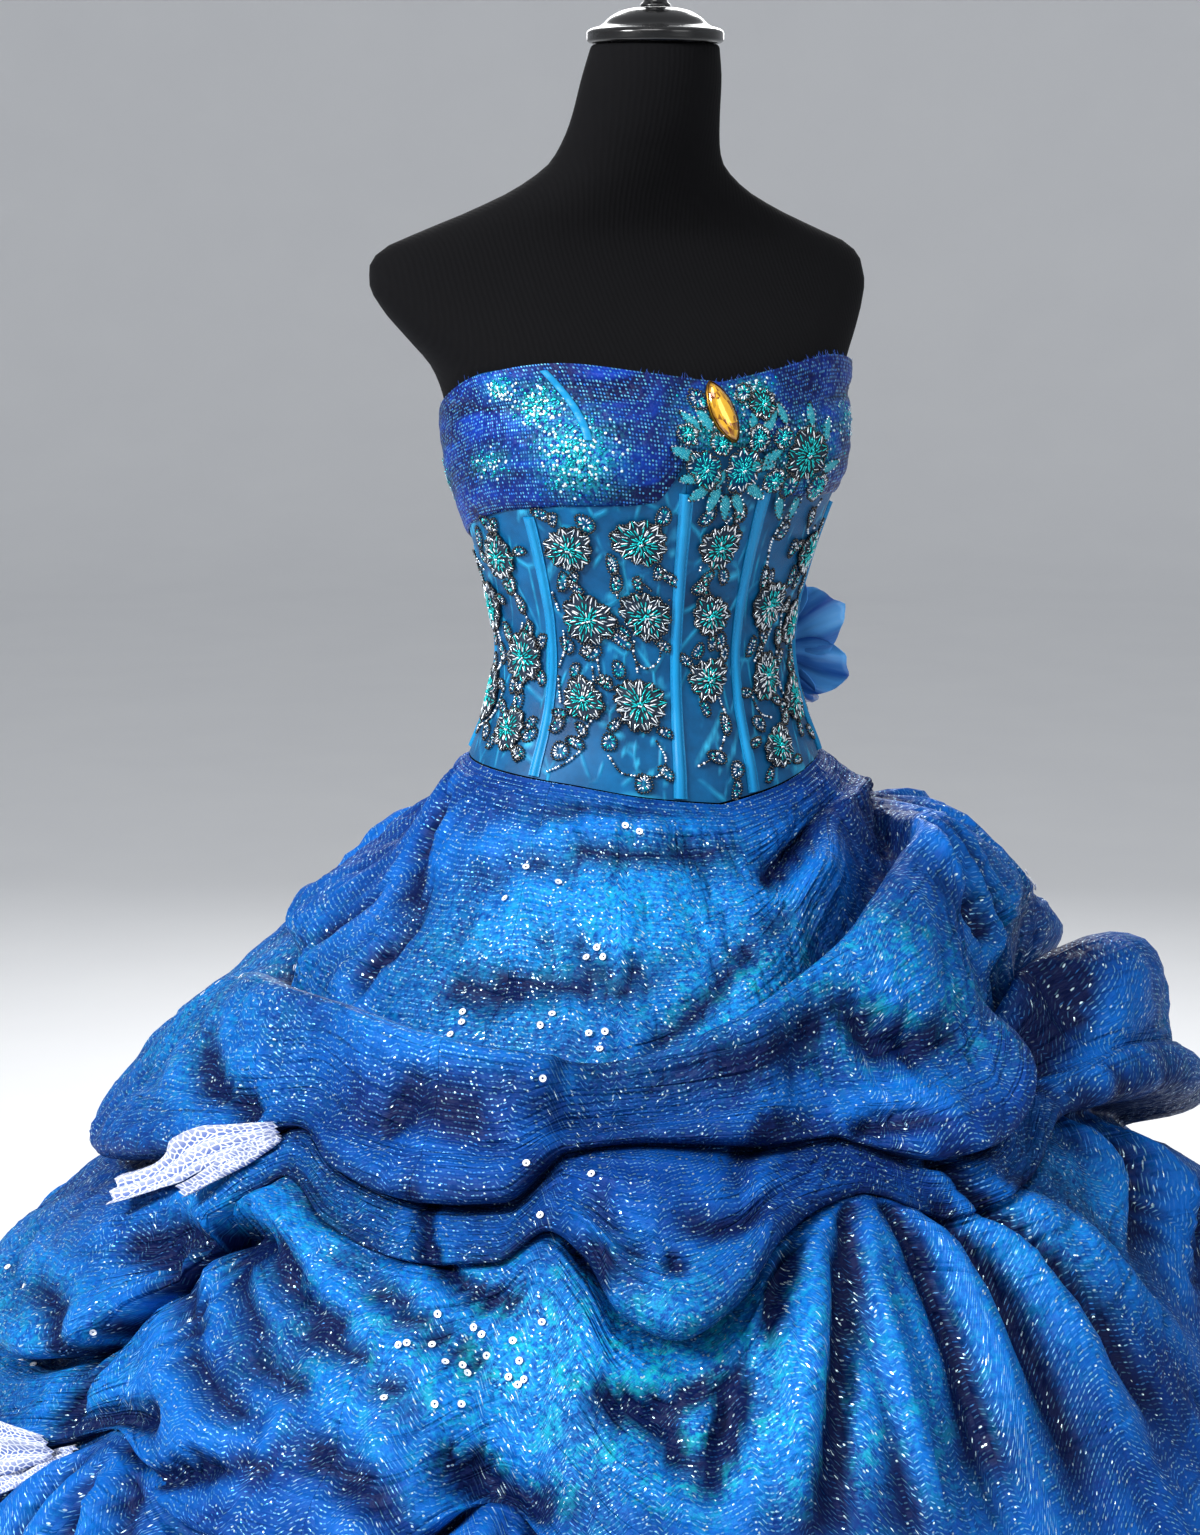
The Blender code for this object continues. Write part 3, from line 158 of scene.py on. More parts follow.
def table_at(table, column, at):
    rows = np.asarray(table)
    return curve_through(rows[:, 0], rows[:, column], at)


def turn_between(angle, other):
    """The turn from one angle to another, from -180 to 180 degrees."""
    return (angle - other + 180.0) % 360.0 - 180.0


def torso_surface(angle, height):
    """Points of the form's surface, for angles and heights of any one shape."""
    angle, height = np.broadcast_arrays(np.asarray(angle, float), np.asarray(height, float))
    half, front, back, centre = (table_at(TORSO, i, height) for i in (1, 2, 3, 4))
    around = np.radians(angle)
    depth = np.where(np.cos(around) > 0, front, back)
    side = (np.abs(turn_between(angle, 0.0)) - CUP["angle"]) / CUP["across"]
    rise = (height - CUP["height"]) / CUP["up"]
    cup = CUP["rise"] * np.exp(-side * side - rise * rise)
    x, y = (half + cup) * np.sin(around), centre - (depth + cup) * np.cos(around)
    return np.stack([x, y, height], axis=-1)


def torso_point(angle, height, out=0.0):
    """The same points moved out along the surface's normal."""
    angle, height, out = np.broadcast_arrays(*(np.asarray(v, float) for v in (angle, height, out)))
    across = torso_surface(angle + 0.5, height) - torso_surface(angle - 0.5, height)
    up = torso_surface(angle, height + 0.002) - torso_surface(angle, height - 0.002)
    normal = np.cross(across, up)
    normal /= np.linalg.norm(normal, axis=-1, keepdims=True)
    return torso_surface(angle, height) + normal * out[..., None]


def linear(hex_colour):
    """sRGB hex to the linear colour a shader takes."""
    parts = [int(hex_colour[i : i + 2], 16) / 255 for i in (0, 2, 4)]
    return (*[c / 12.92 if c <= 0.04045 else ((c + 0.055) / 1.055) ** 2.4 for c in parts], 1.0)


def wire(tree, node, inputs):
    """Sets each input of a node to a value, or links it to a socket or to a node's first output in use."""
    for key, value in inputs.items():
        if isinstance(value, bpy.types.Node):
            value = next(socket for socket in value.outputs if socket.enabled)
        if isinstance(value, bpy.types.NodeSocket):
            tree.links.new(value, node.inputs[key])
        else:
            node.inputs[key].default_value = value


def add(tree, kind, inputs=None, **settings):
    """One shader node, with its settings and with each input either linked or set."""
    made = tree.nodes.new("ShaderNode" + kind)
    for key, value in settings.items():
        setattr(made, key, value)
    wire(tree, made, inputs or {})
    return made


def finish_named(name, **values):
    """A Principled material with its even values set on the shader; returns it, its tree and the shader."""
    made = bpy.data.materials.new(name)
    made.use_nodes = True
    shader = made.node_tree.nodes["Principled BSDF"]
    for key, value in values.items():
        shader.inputs[key.replace("_", " ").title().replace("Ior", "IOR")].default_value = value
    return made, made.node_tree, shader


def plain_finish(name, **values):
    """A finish that is the same all over."""
    return finish_named(name, **values)[0]


def add_piece(name, mesh, finishes, smooth_angle=None):
    """Puts a bmesh into the scene as one smooth-shaded piece at the origin, riding on the one body."""
    data = bpy.data.meshes.new(name)
    mesh.to_mesh(data)
    mesh.free()
    return place_piece(name, data, finishes, smooth_angle)


def place_piece(name, data, finishes, smooth_angle=None):
    """Puts a finished mesh into the scene in the same way."""
    for finish in finishes:
        data.materials.append(finish)
    data.shade_smooth()
    if smooth_angle:
        data.set_sharp_from_angle(angle=math.radians(smooth_angle))
    made = bpy.data.objects.new(name, data)
    bpy.context.scene.collection.objects.link(made)
    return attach(made, "root")


def jersey_finish():
    """Cotton jersey: matt, with a faint nap and fine vertical ribs."""
    made, tree, shader = finish_named(
        "black cotton jersey", roughness=0.95, sheen_weight=0.03, specular_ior_level=0.12,
        sheen_tint=linear("5A5A66"),
    )
    where = add(tree, "TexCoord").outputs["Object"]
    # Ribs of the knit are about 1 mm; they are drawn at 2 mm to show
    ribs = add(tree, "TexWave", {"Vector": where, "Scale": 80.0, "Distortion": 1.5, "Detail": 2.0})
    nap = add(tree, "TexNoise", {"Vector": where, "Scale": 900.0, "Detail": 3.0, "Roughness": 0.7})
    worn = add(tree, "TexNoise", {"Vector": where, "Scale": 7.0, "Detail": 4.0})
    both = add(tree, "Math", {0: ribs.outputs["Fac"], 1: nap}, operation="ADD")
    shade = add(
        tree, "Mix", {"Factor": worn, "A": linear("060608"), "B": linear("0B0B0D")}, data_type="RGBA",
    )
    bump = add(tree, "Bump", {"Height": both, "Strength": 0.35, "Distance": 0.0006})
    wire(tree, shader, {"Base Color": shade, "Normal": bump})
    return made


mesh = bmesh.new()
bmesh.ops.create_grid(mesh, x_segments=FORM_COLUMNS, y_segments=FORM_ROWS, size=0.5)
low, high = TORSO[0][0], TORSO[-1][0]
places = np.array([vert.co for vert in mesh.verts])
around = (places[:, 0] + 0.5) * 360.0 - 180.0
up = low + (high - low) * (places[:, 1] + 0.5)
for vert, spot in zip(mesh.verts, torso_surface(around, up)):
    vert.co = spot
bmesh.ops.remove_doubles(mesh, verts=mesh.verts, dist=0.0001)
bmesh.ops.holes_fill(mesh, edges=[edge for edge in mesh.edges if edge.is_boundary])
rims = [edge for edge in mesh.edges if {len(face.verts) for face in edge.link_faces} - {4}]
bmesh.ops.bevel(
    mesh, geom=rims, offset=0.003, offset_type="OFFSET", segments=3, profile=0.5, affect="EDGES",
    material=-1,
)
bmesh.ops.recalc_face_normals(mesh, faces=mesh.faces)
form = add_piece("form_jersey", mesh, [jersey_finish()], 60.0)
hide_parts("form_torso")


# Stand: turned wood cap and finial on the neck, a steel pole and a turned base, all black.
# The wood is sprayed with gloss lacquer, and a dab of dust dulls it in places.
POLE = {"radius": 0.016, "bottom": 0.0303, "top": 0.8197}
BASE = {"radius": 0.200, "height": 0.030}
CAP_GAP = 0.0003


def lacquer_finish():
    """Gloss lacquer over turned wood: a clear coat over black, with fine swirls in its roughness."""
    made, tree, shader = finish_named(
        "black gloss lacquer", base_color=linear("050506"), coat_weight=0.35, coat_roughness=0.06,
    )
    where = add(tree, "TexCoord").outputs["Object"]
    dust = add(tree, "TexNoise", {"Vector": where, "Scale": 45.0, "Detail": 6.0, "Roughness": 0.65})
    dull = add(
        tree, "MapRange",
        {"Value": dust, "From Min": 0.35, "From Max": 0.75, "To Min": 0.16, "To Max": 0.34},
    )
    wire(tree, shader, {"Roughness": dull})
    return made


def steel_finish():
    """Powder coat on steel: black, half dull, with a fine orange peel."""
    made, tree, shader = finish_named(
        "black powder-coated steel", base_color=linear("141416"), metallic=0.2, roughness=0.42,
    )
    where = add(tree, "TexCoord").outputs["Object"]
    grit = add(tree, "TexNoise", {"Vector": where, "Scale": 700.0, "Detail": 2.0})
    orange_peel = add(tree, "Bump", {"Height": grit, "Strength": 0.2, "Distance": 0.0004})
    wire(tree, shader, {"Normal": orange_peel})
    return made


def turned(name, profile, finish, node, place=None, steps=96, smooth_angle=40.0):
    """A lathe-turned piece from (radius, height) rows that start and end on the axis."""
    mesh = bmesh.new()
    verts = [mesh.verts.new((radius, 0.0, height)) for radius, height in profile]
    edges = [mesh.edges.new(pair) for pair in zip(verts, verts[1:])]
    bmesh.ops.spin(
        mesh, geom=verts + edges, axis=(0, 0, 1), cent=(0, 0, 0), steps=steps, angle=math.tau,
        use_merge=True,
    )
    bmesh.ops.remove_doubles(mesh, verts=mesh.verts, dist=0.00005)
    bmesh.ops.recalc_face_normals(mesh, faces=mesh.faces)
    if place:
        bmesh.ops.transform(mesh, matrix=place, verts=mesh.verts)
    made = add_piece(name, mesh, [finish], smooth_angle)
    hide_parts(node)


def rounded(profile, steps=5):
    """The same profile with each turning cut into short steps of a curve."""
    rows = np.array(profile)
    along = np.arange(len(rows))
    fine = np.linspace(0, len(rows) - 1, (len(rows) - 1) * steps + 1)
    return list(zip(curve_through(along, rows[:, 0], fine), curve_through(along, rows[:, 1], fine)))


lacquer = lacquer_finish()
base_profile = (
    (0.0, 0.0),
    (BASE["radius"] - 0.001, 0.0),
    (BASE["radius"], 0.001),
    (BASE["radius"], 0.0105),
    (BASE["radius"] - 0.002, 0.0135),
    (BASE["radius"] - 0.012, 0.022),
    (0.060, 0.026),
    (0.030, BASE["height"]),
    (0.0, BASE["height"]),
)
turned("base_turned", base_profile, lacquer, "stand_base")
pole_profile = (
    (0.0, POLE["bottom"]),
    (POLE["radius"], POLE["bottom"]),
    (POLE["radius"], POLE["top"]),
    (0.0, POLE["top"]),
)
turned("pole_tube", pole_profile, steel_finish(), "stand_pole", steps=48)
neck_top = Matrix.Translation((0.0, TORSO[-1][4], TORSO[-1][0] + CAP_GAP))
cap_profile = (
    (0.0, 0.0),
    (0.0455, 0.0),
    (0.0485, 0.0008),
    (0.0500, 0.0030),
    (0.0500, 0.0075),
    (0.0485, 0.0098),
    (0.0465, 0.0108),
    (0.0400, 0.0128),
    (0.0330, 0.0190),
    (0.0230, 0.0240),
    (0.0120, 0.0258),
    (0.0, 0.0260),
)
turned("neck_cap_turned", rounded(cap_profile), lacquer, "neck_cap", neck_top)
finial_profile = (
    (0.0, 0.0263),
    (0.0108, 0.0263),
    (0.0112, 0.0275),
    (0.0085, 0.0310),
    (0.0080, 0.0360),
    (0.0125, 0.0420),
    (0.0130, 0.0470),
    (0.0090, 0.0540),
    (0.0045, 0.0590),
    (0.0, 0.0610),
)
turned("finial_turned", rounded(finial_profile), lacquer, "finial", neck_top)


# Bodice: seven panels of turquoise duchess satin, each covered with sheer navy mesh that pulls into
# slanting creases where it is caught in the seams. Sewn edge to edge and boned over the seams.
CLOTH = 0.0020
SEAM_GAP = 0.0003
EASE = 0.0010
TOP_EDGE = (
    # angle, height
    (0.0, 1.298),
    (20.0, 1.306),
    (42.0, 1.313),
    (65.0, 1.308),
    (90.0, 1.290),
    (120.0, 1.262),
    (150.0, 1.246),
    (180.0, 1.242),
)
WAIST_EDGE = (
    # angle, height
    (0.0, 0.993),
    (22.0, 1.000),
    (50.0, 1.010),
    (90.0, 1.016),
    (180.0, 1.020),
)
SEAM = {"front": 12.5, "side": 61.0, "back": 120.0}
PANELS = (
    # name, first angle, last angle, columns, flat width, flat length
    ("bodice_front", -SEAM["front"], SEAM["front"], 26, 0.060, 0.310),
    ("bodice_side_front_right", -SEAM["side"], -SEAM["front"], 50, 0.130, 0.310),
    ("bodice_side_front_left", SEAM["front"], SEAM["side"], 50, 0.130, 0.310),
    ("bodice_side_back_right", -SEAM["back"], -SEAM["side"], 54, 0.135, 0.290),
    ("bodice_side_back_left", SEAM["side"], SEAM["back"], 54, 0.135, 0.290),
    ("bodice_back_right", -180.0, -SEAM["back"], 54, 0.120, 0.240),
    ("bodice_back_left", SEAM["back"], 180.0, 54, 0.120, 0.240),
)
PANEL_ROWS = 54
# Radii that turn a width on the cloth into degrees, and heights of the cloth at the front and the back
BODY_RADIUS = 0.105
WAIST_RADIUS = 0.092
CHANNEL_RADIUS = 0.110
CUP_RADIUS = 0.120
BUST_RADIUS = 0.135
FRONT_TALL = 0.31
BACK_TALL = 0.24
CREASE = {
    "width": 0.0015, "lift": 0.0009, "shortest": 0.018, "longest": 0.060, "lean": 42.0, "per_degree": 0.55,
}


def edge_at(table, angle):
    """Height of an edge that is the same on both sides of the body."""
    return table_at(table, 1, np.abs(turn_between(np.asarray(angle, float), 0.0)))


def bodice_point(angle, level, out):
    low, high = edge_at(WAIST_EDGE, angle), edge_at(TOP_EDGE, angle)
    return torso_point(angle, low + (high - low) * level, out)


def cloth_shell(name, outer, inner, finish, uv, tints=None, swags=None):
    """A wall of cloth between two like grids (columns, rows, xyz); uv is its flat place in metres."""
    columns, rows = outer.shape[:2]
    mesh = bmesh.new()
    bmesh.ops.create_grid(mesh, x_segments=columns - 1, y_segments=rows - 1, size=0.5)
    spot = mesh.verts.layers.int.new("spot")
    for vert in mesh.verts:
        vert[spot] = round((vert.co.x + 0.5) * (columns - 1)) * rows + round((vert.co.y + 0.5) * (rows - 1))
    inside = list(mesh.verts)
    bmesh.ops.extrude_face_region(mesh, geom=list(mesh.faces))
    outside_points, inside_points = outer.reshape(-1, 3), inner.reshape(-1, 3)
    for vert in mesh.verts:
        vert.co = outside_points[vert[spot]]
    for vert in inside:
        vert.co = inside_points[vert[spot]]
    bmesh.ops.recalc_face_normals(mesh, faces=mesh.faces)
    data = bpy.data.meshes.new(name)
    mesh.to_mesh(data)
    mesh.free()
    spots = np.zeros(len(data.vertices), np.int32)
    data.attributes["spot"].data.foreach_get("value", spots)
    corners = np.zeros(len(data.loops), np.int32)
    data.loops.foreach_get("vertex_index", corners)
    data.uv_layers.new(name="cloth").data.foreach_set(
        "uv", uv.reshape(-1, 2)[spots[corners]].astype(np.float32).ravel(),
    )
    if swags is not None:
        data.uv_layers.new(name="swag").data.foreach_set(
            "uv", swags.reshape(-1, 2)[spots[corners]].astype(np.float32).ravel(),
        )
    for key, values in (tints or {}).items():
        tint = data.attributes.new(key, "FLOAT", "POINT")
        tint.data.foreach_set("value", values.reshape(-1)[spots].astype(np.float32))
    data.attributes.remove(data.attributes["spot"])
    return place_piece(name, data, [finish], 75.0)


def near_lines(x, y, lines):
    """Sum of soft ridges along straight lines (x0, y0, x1, y1, width, lift) at each point, in metres."""
    total = np.zeros_like(x)
    for x0, y0, x1, y1, width, lift in lines:
        dx, dy = x1 - x0, y1 - y0
        share = np.clip(((x - x0) * dx + (y - y0) * dy) / (dx * dx + dy * dy), 0.0, 1.0)
        gap = np.hypot(x - x0 - share * dx, y - y0 - share * dy)
        total += lift * np.sin(np.pi * np.clip(share, 0.04, 0.96)) ** 0.5 * np.exp(-((gap / width) ** 2))
    return total


def satin_finish():
    """Duchess satin seen through sheer navy mesh, with painted highlights: a lighter turquoise on the raised
    crease ridges and tucks.
    """
    made, tree, shader = finish_named(
        "turquoise satin under sheer mesh", anisotropic=0.35, specular_ior_level=0.22,
        sheen_tint=linear("9FE6FF"),
    )
    where = add(tree, "TexCoord").outputs["Object"]
    flat = add(tree, "UVMap", uv_map="cloth")
    pull = add(tree, "Attribute", attribute_name="crease").outputs["Fac"]
    blotch = add(tree, "TexNoise", {"Vector": where, "Scale": 26.0, "Detail": 5.0, "Roughness": 0.6})
    # Net threads are 0.8 mm apart; they are drawn 1.6 mm apart to show
    mesh_grid = add(tree, "Mapping", {"Vector": flat, "Scale": (625.0, 625.0, 1.0)})
    net = add(
        tree, "TexVoronoi", {"Vector": mesh_grid, "Randomness": 0.25}, voronoi_dimensions="2D",
        feature="DISTANCE_TO_EDGE",
    )
    thread = add(
        tree, "MapRange", {"Value": net, "From Min": 0.04, "From Max": 0.22, "To Min": 0.55, "To Max": 0.0},
    )
    base = add(tree, "MapRange", {"Value": blotch, "From Min": 0.3, "From Max": 0.72})
    cloth = add(
        tree, "Mix", {"Factor": base, "A": linear("003A60"), "B": linear("036CA4")}, data_type="RGBA",
    )
    # Painted highlight: the raised crease ridges are painted a lighter turquoise
    bright = add(tree, "MapRange", {"Value": pull, "From Min": 0.15, "From Max": 0.9})
    creased = add(tree, "Mix", {"Factor": bright, "A": cloth, "B": linear("38BCE8")}, data_type="RGBA")
    # Caught down at each bead, the mesh draws into sharp tucks that cross, 1.5 mm wide and 20 to 50 mm long,
    # with a painted highlight along their ridges
    slant = add(tree, "Mapping", {"Vector": flat, "Scale": (58.0, 26.0, 1.0), "Rotation": (0.0, 0.0, 0.5)})
    cells = add(
        tree, "TexVoronoi", {"Vector": slant, "Scale": 1.0}, voronoi_dimensions="2D",
        feature="DISTANCE_TO_EDGE",
    )
    tuck = add(
        tree, "MapRange", {"Value": cells, "From Min": 0.0, "From Max": 0.085, "To Min": 1.0, "To Max": 0.0},
    )
    patchy = add(tree, "TexNoise", {"Vector": where, "Scale": 38.0, "Detail": 2.0})
    shows = add(tree, "MapRange", {"Value": patchy, "From Min": 0.44, "From Max": 0.60, "To Max": 0.85})
    tucks = add(tree, "Math", {0: tuck, 1: shows}, operation="MULTIPLY")
    tucked = add(tree, "Mix", {"Factor": tucks, "A": creased, "B": linear("2CB4E4")}, data_type="RGBA")
    netted = add(tree, "Mix", {"Factor": thread, "A": tucked, "B": linear("063C70")}, data_type="RGBA")
    rough = add(tree, "MapRange", {"Value": blotch, "To Min": 0.30, "To Max": 0.52})
    raised = add(tree, "Bump", {"Height": tucks, "Strength": 0.8, "Distance": 0.0010})
    bump = add(tree, "Bump", {"Height": thread, "Strength": 0.25, "Distance": 0.0003, "Normal": raised})
    wire(tree, shader, {"Base Color": netted, "Roughness": rough, "Normal": bump})
    return made


satin = satin_finish()
outside = EASE + CLOTH
dice = random.Random(7)
for name, first, last, columns, flat_width, flat_length in PANELS:
    gap = math.degrees(0.5 * SEAM_GAP / WAIST_RADIUS)
    angles = np.linspace(first + gap, last - gap, columns + 1)[:, None]
    levels = np.linspace(0.0, 1.0, PANEL_ROWS + 1)[None, :]
    tall = edge_at(TOP_EDGE, angles) - edge_at(WAIST_EDGE, angles)
    x = np.radians(angles) * BODY_RADIUS + 0.0 * levels
    y = levels * tall
    lines = []
    for i in range(int((last - first) * CREASE["per_degree"])):
        length = dice.uniform(CREASE["shortest"], CREASE["longest"])
        lean = math.radians(dice.choice((1, -1)) * dice.gauss(CREASE["lean"], 16.0))
        x0, y0 = math.radians(dice.uniform(first, last)) * BODY_RADIUS, dice.uniform(0.0, 0.25)
        x1, y1 = x0 + length * math.cos(lean), y0 + length * math.sin(lean)
        lines.append((x0, y0, x1, y1, CREASE["width"] * dice.uniform(0.6, 1.6), dice.uniform(0.4, 1.0)))
    crease = near_lines(x, y, lines)
    edge = np.minimum(angles - first, last - angles) / 2.0
    lift = CREASE["lift"] * np.clip(crease, 0.0, 1.3) * np.clip(edge, 0.0, 1.0)
    outer = bodice_point(angles + 0 * levels, levels + 0 * angles, outside + lift)
    inner = bodice_point(angles + 0 * levels, levels + 0 * angles, EASE)
    panel = cloth_shell(
        f"{name}_satin", outer, inner, satin, np.stack([x, y], axis=-1), {"crease": np.clip(crease, 0, 1)},
    )
    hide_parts(name)


# Boning channels: satin tubes stitched down over the front, side and back seams, each round-topped
# over the steel inside it, with a row of stitches along both edges.
BONE = {
    "width": 0.008, "height": 0.0021, "clear": 0.0003, "crown": 0.0009, "short": 0.02, "columns": 12,
    "rows": 72,
}
STITCH = {"length": 0.0022, "step": 0.0034, "half_width": 0.00025, "radius": 0.00022, "inset": 0.0009}
DRAPE_LOW = (
    # angle, level on the bodice
    (0.0, 0.86),
    (10.0, 0.83),
    (22.0, 0.71),
    (45.0, 0.68),
    (120.0, 0.66),
    (180.0, 0.66),
)


def channel_finish():
    """Bias-cut satin, tight over the bone: smooth, with a soft band of light along its length."""
    made, tree, shader = finish_named(
        "turquoise satin channel", roughness=0.36, specular_ior_level=0.25, anisotropic=0.5,
    )
    flat = add(tree, "UVMap", uv_map="cloth")
    where = add(tree, "TexCoord").outputs["Object"]
    # Weave of 0.4 mm, drawn at 0.9 mm to show
    twill = add(
        tree, "TexWave", {"Vector": flat, "Scale": 350.0, "Distortion": 0.6}, bands_direction="DIAGONAL",
    )
    tone = add(tree, "TexNoise", {"Vector": where, "Scale": 30.0, "Detail": 3.0})
    colour = add(
        tree, "Mix", {"Factor": tone, "A": linear("066AA2"), "B": linear("1698D0")}, data_type="RGBA",
    )
    bump = add(tree, "Bump", {"Height": twill.outputs["Fac"], "Strength": 0.3, "Distance": 0.0002})
    wire(tree, shader, {"Base Color": colour, "Normal": bump})
    return made


def sewn(name, groups, finishes, smooth_angle=None):
    """One piece of many small meshes: each group is a template, its placings and its finish's number."""
    points, faces, picks = [], [], []
    start = 0
    for template, places, finish in groups:
        corners = np.array([vert.co for vert in template.verts])
        rings = [[vert.index for vert in face.verts] for face in template.faces]
        matrices = np.array([np.array(place) for place in places])
        laid_corners = np.einsum("nij,vj->nvi", matrices[:, :3, :3], corners) + matrices[:, None, :3, 3]
        points.append(laid_corners.reshape(-1, 3))
        for i in range(len(places)):
            base = start + i * len(corners)
            faces += [[corner + base for corner in ring] for ring in rings]
        picks += [finish] * (len(rings) * len(places))
        start += len(places) * len(corners)
    data = bpy.data.meshes.new(name)
    data.from_pydata(np.concatenate(points).tolist(), [], faces)
    data.polygons.foreach_set("material_index", np.array(picks, np.int32))
    return place_piece(name, data, finishes, smooth_angle)


def bead_template(kind):
    """A seed bead is a small ball; a bugle bead or a stitch is a short rod with rounded ends along X."""
    mesh = bmesh.new()
    if kind == "seed":
        bmesh.ops.create_icosphere(mesh, subdivisions=1, radius=1.0)
    elif kind == "rod":
        bmesh.ops.create_uvsphere(mesh, u_segments=5, v_segments=3, radius=1.0)
        bmesh.ops.rotate(mesh, verts=mesh.verts, cent=(0, 0, 0), matrix=Matrix.Rotation(math.pi / 2, 3, "Y"))
    mesh.verts.index_update()
    return mesh


def laid(point, along, outward, size):
    """Placing of a template: its X along the cloth, its Z out of it, scaled by size (x, y, z)."""
    outward = Vector(outward).normalized()
    along = Vector(along)
    along = (along - outward * along.dot(outward)).normalized()
    across = outward.cross(along)
    turn = Matrix((along * size[0], across * size[1], outward * size[2])).transposed().to_4x4()
    return Matrix.Translation(Vector(point)) @ turn


def stitched(spots, ends, normals):
    """Placings of a row of stitches, each lying from its spot towards its end."""
    size = (STITCH["length"] / 2, STITCH["half_width"], STITCH["radius"])
    return [laid(spot, end - spot, normal, size) for spot, end, normal in zip(spots, ends, normals)]


def drape_level(angle):
    return edge_at(DRAPE_LOW, angle)


channel = channel_finish()
thread = plain_finish("polyester sewing thread", base_color=linear("1A93CF"), roughness=0.5)
stitch_places = []
for seam in ("front", "side", "back"):
    for hand, sign in (("right", -1), ("left", 1)):
        middle = sign * SEAM[seam]
        reach = math.degrees(BONE["width"] / CHANNEL_RADIUS)
        top = float(min(drape_level(middle - reach), drape_level(middle + reach))) - BONE["short"]
        share = np.linspace(0.0, 1.0, BONE["columns"] + 1)[:, None]
        levels = np.linspace(0.004, top, BONE["rows"] + 1)[None, :]
        angles = middle + (share - 0.5) * reach + 0 * levels
        levels = levels + 0 * share
        # Flat stitched edges, and a round ridge between them
        ridge = np.clip(1.0 - ((share - 0.5) / 0.33) ** 2, 0.0, 1.0) ** 0.5 + 0 * levels
        pull = 0.00012 * np.sin(levels * 310.0 * FRONT_TALL * math.tau / 3.4) * (1.0 - ridge)
        out = outside + BONE["clear"] + 0.0009 + (BONE["height"] - 0.0009 + BONE["crown"]) * ridge + pull
        outer = bodice_point(angles, levels, out)
        inner = bodice_point(angles, levels, outside + BONE["clear"] + 0 * levels)
        flat = np.stack([share * BONE["width"] + 0 * levels, levels * FRONT_TALL], axis=-1)
        strip = cloth_shell(f"bone_{seam}_{hand}_channel", outer, inner, channel, flat)
        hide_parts(f"bone_{seam}_{hand}")
        run = np.arange(0.006, top * FRONT_TALL, STITCH["step"]) / FRONT_TALL
        for side in (-1, 1):
            here = middle + side * (0.5 - STITCH["inset"] / BONE["width"]) * reach
            spots = bodice_point(here, run, outside + BONE["clear"] + 0.0010)
            ends = bodice_point(here, run + 0.002, outside + BONE["clear"] + 0.0010)
            normals = bodice_point(here, run, outside + 0.01) - spots
            stitch_places += stitched(spots, ends, normals)
stitches = sewn("channel_stitches", [(bead_template("rod"), stitch_places, 0)], [thread])


# Hooked placket: a lapped strip of the same satin over the centre back opening. Its hooks and eyes are
# inside the lap; outside only the folded edge and two rows of topstitching show.
PLACKET = {"width": 0.024, "height": 0.0018, "clear": 0.0003, "columns": 16, "rows": 110}
share = np.linspace(0.0, 1.0, PLACKET["columns"] + 1)[:, None]
levels = np.linspace(0.004, 0.996, PLACKET["rows"] + 1)[None, :] + 0 * share
reach = math.degrees(PLACKET["width"] / BODY_RADIUS)
angles = 180.0 + (share - 0.5) * reach + 0 * levels
edge = np.clip(np.minimum(share, 1 - share) / 0.12, 0.0, 1.0) ** 0.5
pulls = [(0.002, 0.02 + 0.012 * i, 0.018, 0.021 + 0.012 * i, 0.0014, 1.0) for i in range(18)]
strain = near_lines(share * 0.02 + 0 * levels, levels * BACK_TALL, pulls)
out = outside + PLACKET["clear"] + PLACKET["height"] * (0.45 + 0.55 * edge) + 0.0003 * strain
outer = bodice_point(angles, levels, out)
inner = bodice_point(angles, levels, outside + PLACKET["clear"] + 0 * levels)
flat = np.stack([share * PLACKET["width"] + 0 * levels, levels * BACK_TALL], axis=-1)
# Painted highlight: the raised strain lines get a higher crease tint, which the satin paints lighter
placket = cloth_shell("placket_satin", outer, inner, satin, flat, {"crease": 0.25 + 0.4 * strain})
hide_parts("bodice_placket")
placket_places = []
for side in (-1, 1):
    here = 180.0 + side * 0.40 * reach
    run = np.arange(0.012, 0.985, STITCH["step"] / BACK_TALL)
    spots = bodice_point(here, run, outside + PLACKET["clear"] + PLACKET["height"] + 0.0001)
    ends = bodice_point(here, run + 0.002, outside + PLACKET["clear"] + PLACKET["height"])
    placket_places += stitched(spots, ends, bodice_point(here, run, 0.02) - bodice_point(here, run, 0.0))
sewn("placket_stitches", [(bead_template("rod"), placket_places, 0)], [thread])


# Bust drapes: royal blue sequin mesh, gathered by hand into shallow folds and caught at the centre front,
# the neckline and the lower edge of each cup. It thins to the plain neckline band towards the back.
DRAPE = {"end": 158.0, "cloth": 0.0015, "laid": 0.0005, "gather": 0.0011, "columns": 146, "rows": 42}
# Teal and white sequinned lace set on the mesh
DRAPE_PATCHES = (
    # angle, level, half width in degrees, half height in levels, strength
    (-51.0, 0.905, 7.0, 0.045, 0.9),
    (-42.0, 0.800, 9.0, 0.075, 1.0),
    (-62.0, 0.960, 5.0, 0.025, 0.7),
    (-2.0, 0.880, 9.0, 0.060, 1.0),
    (8.0, 0.960, 6.0, 0.030, 0.9),
    (24.0, 0.800, 9.0, 0.060, 0.9),
    (-70.0, 0.790, 8.0, 0.030, 0.35),
    (48.0, 0.850, 10.0, 0.040, 0.35),
    (75.0, 0.900, 9.0, 0.050, 0.4),
    (110.0, 0.800, 9.0, 0.050, 0.35),
    (-110.0, 0.820, 9.0, 0.050, 0.35),
)


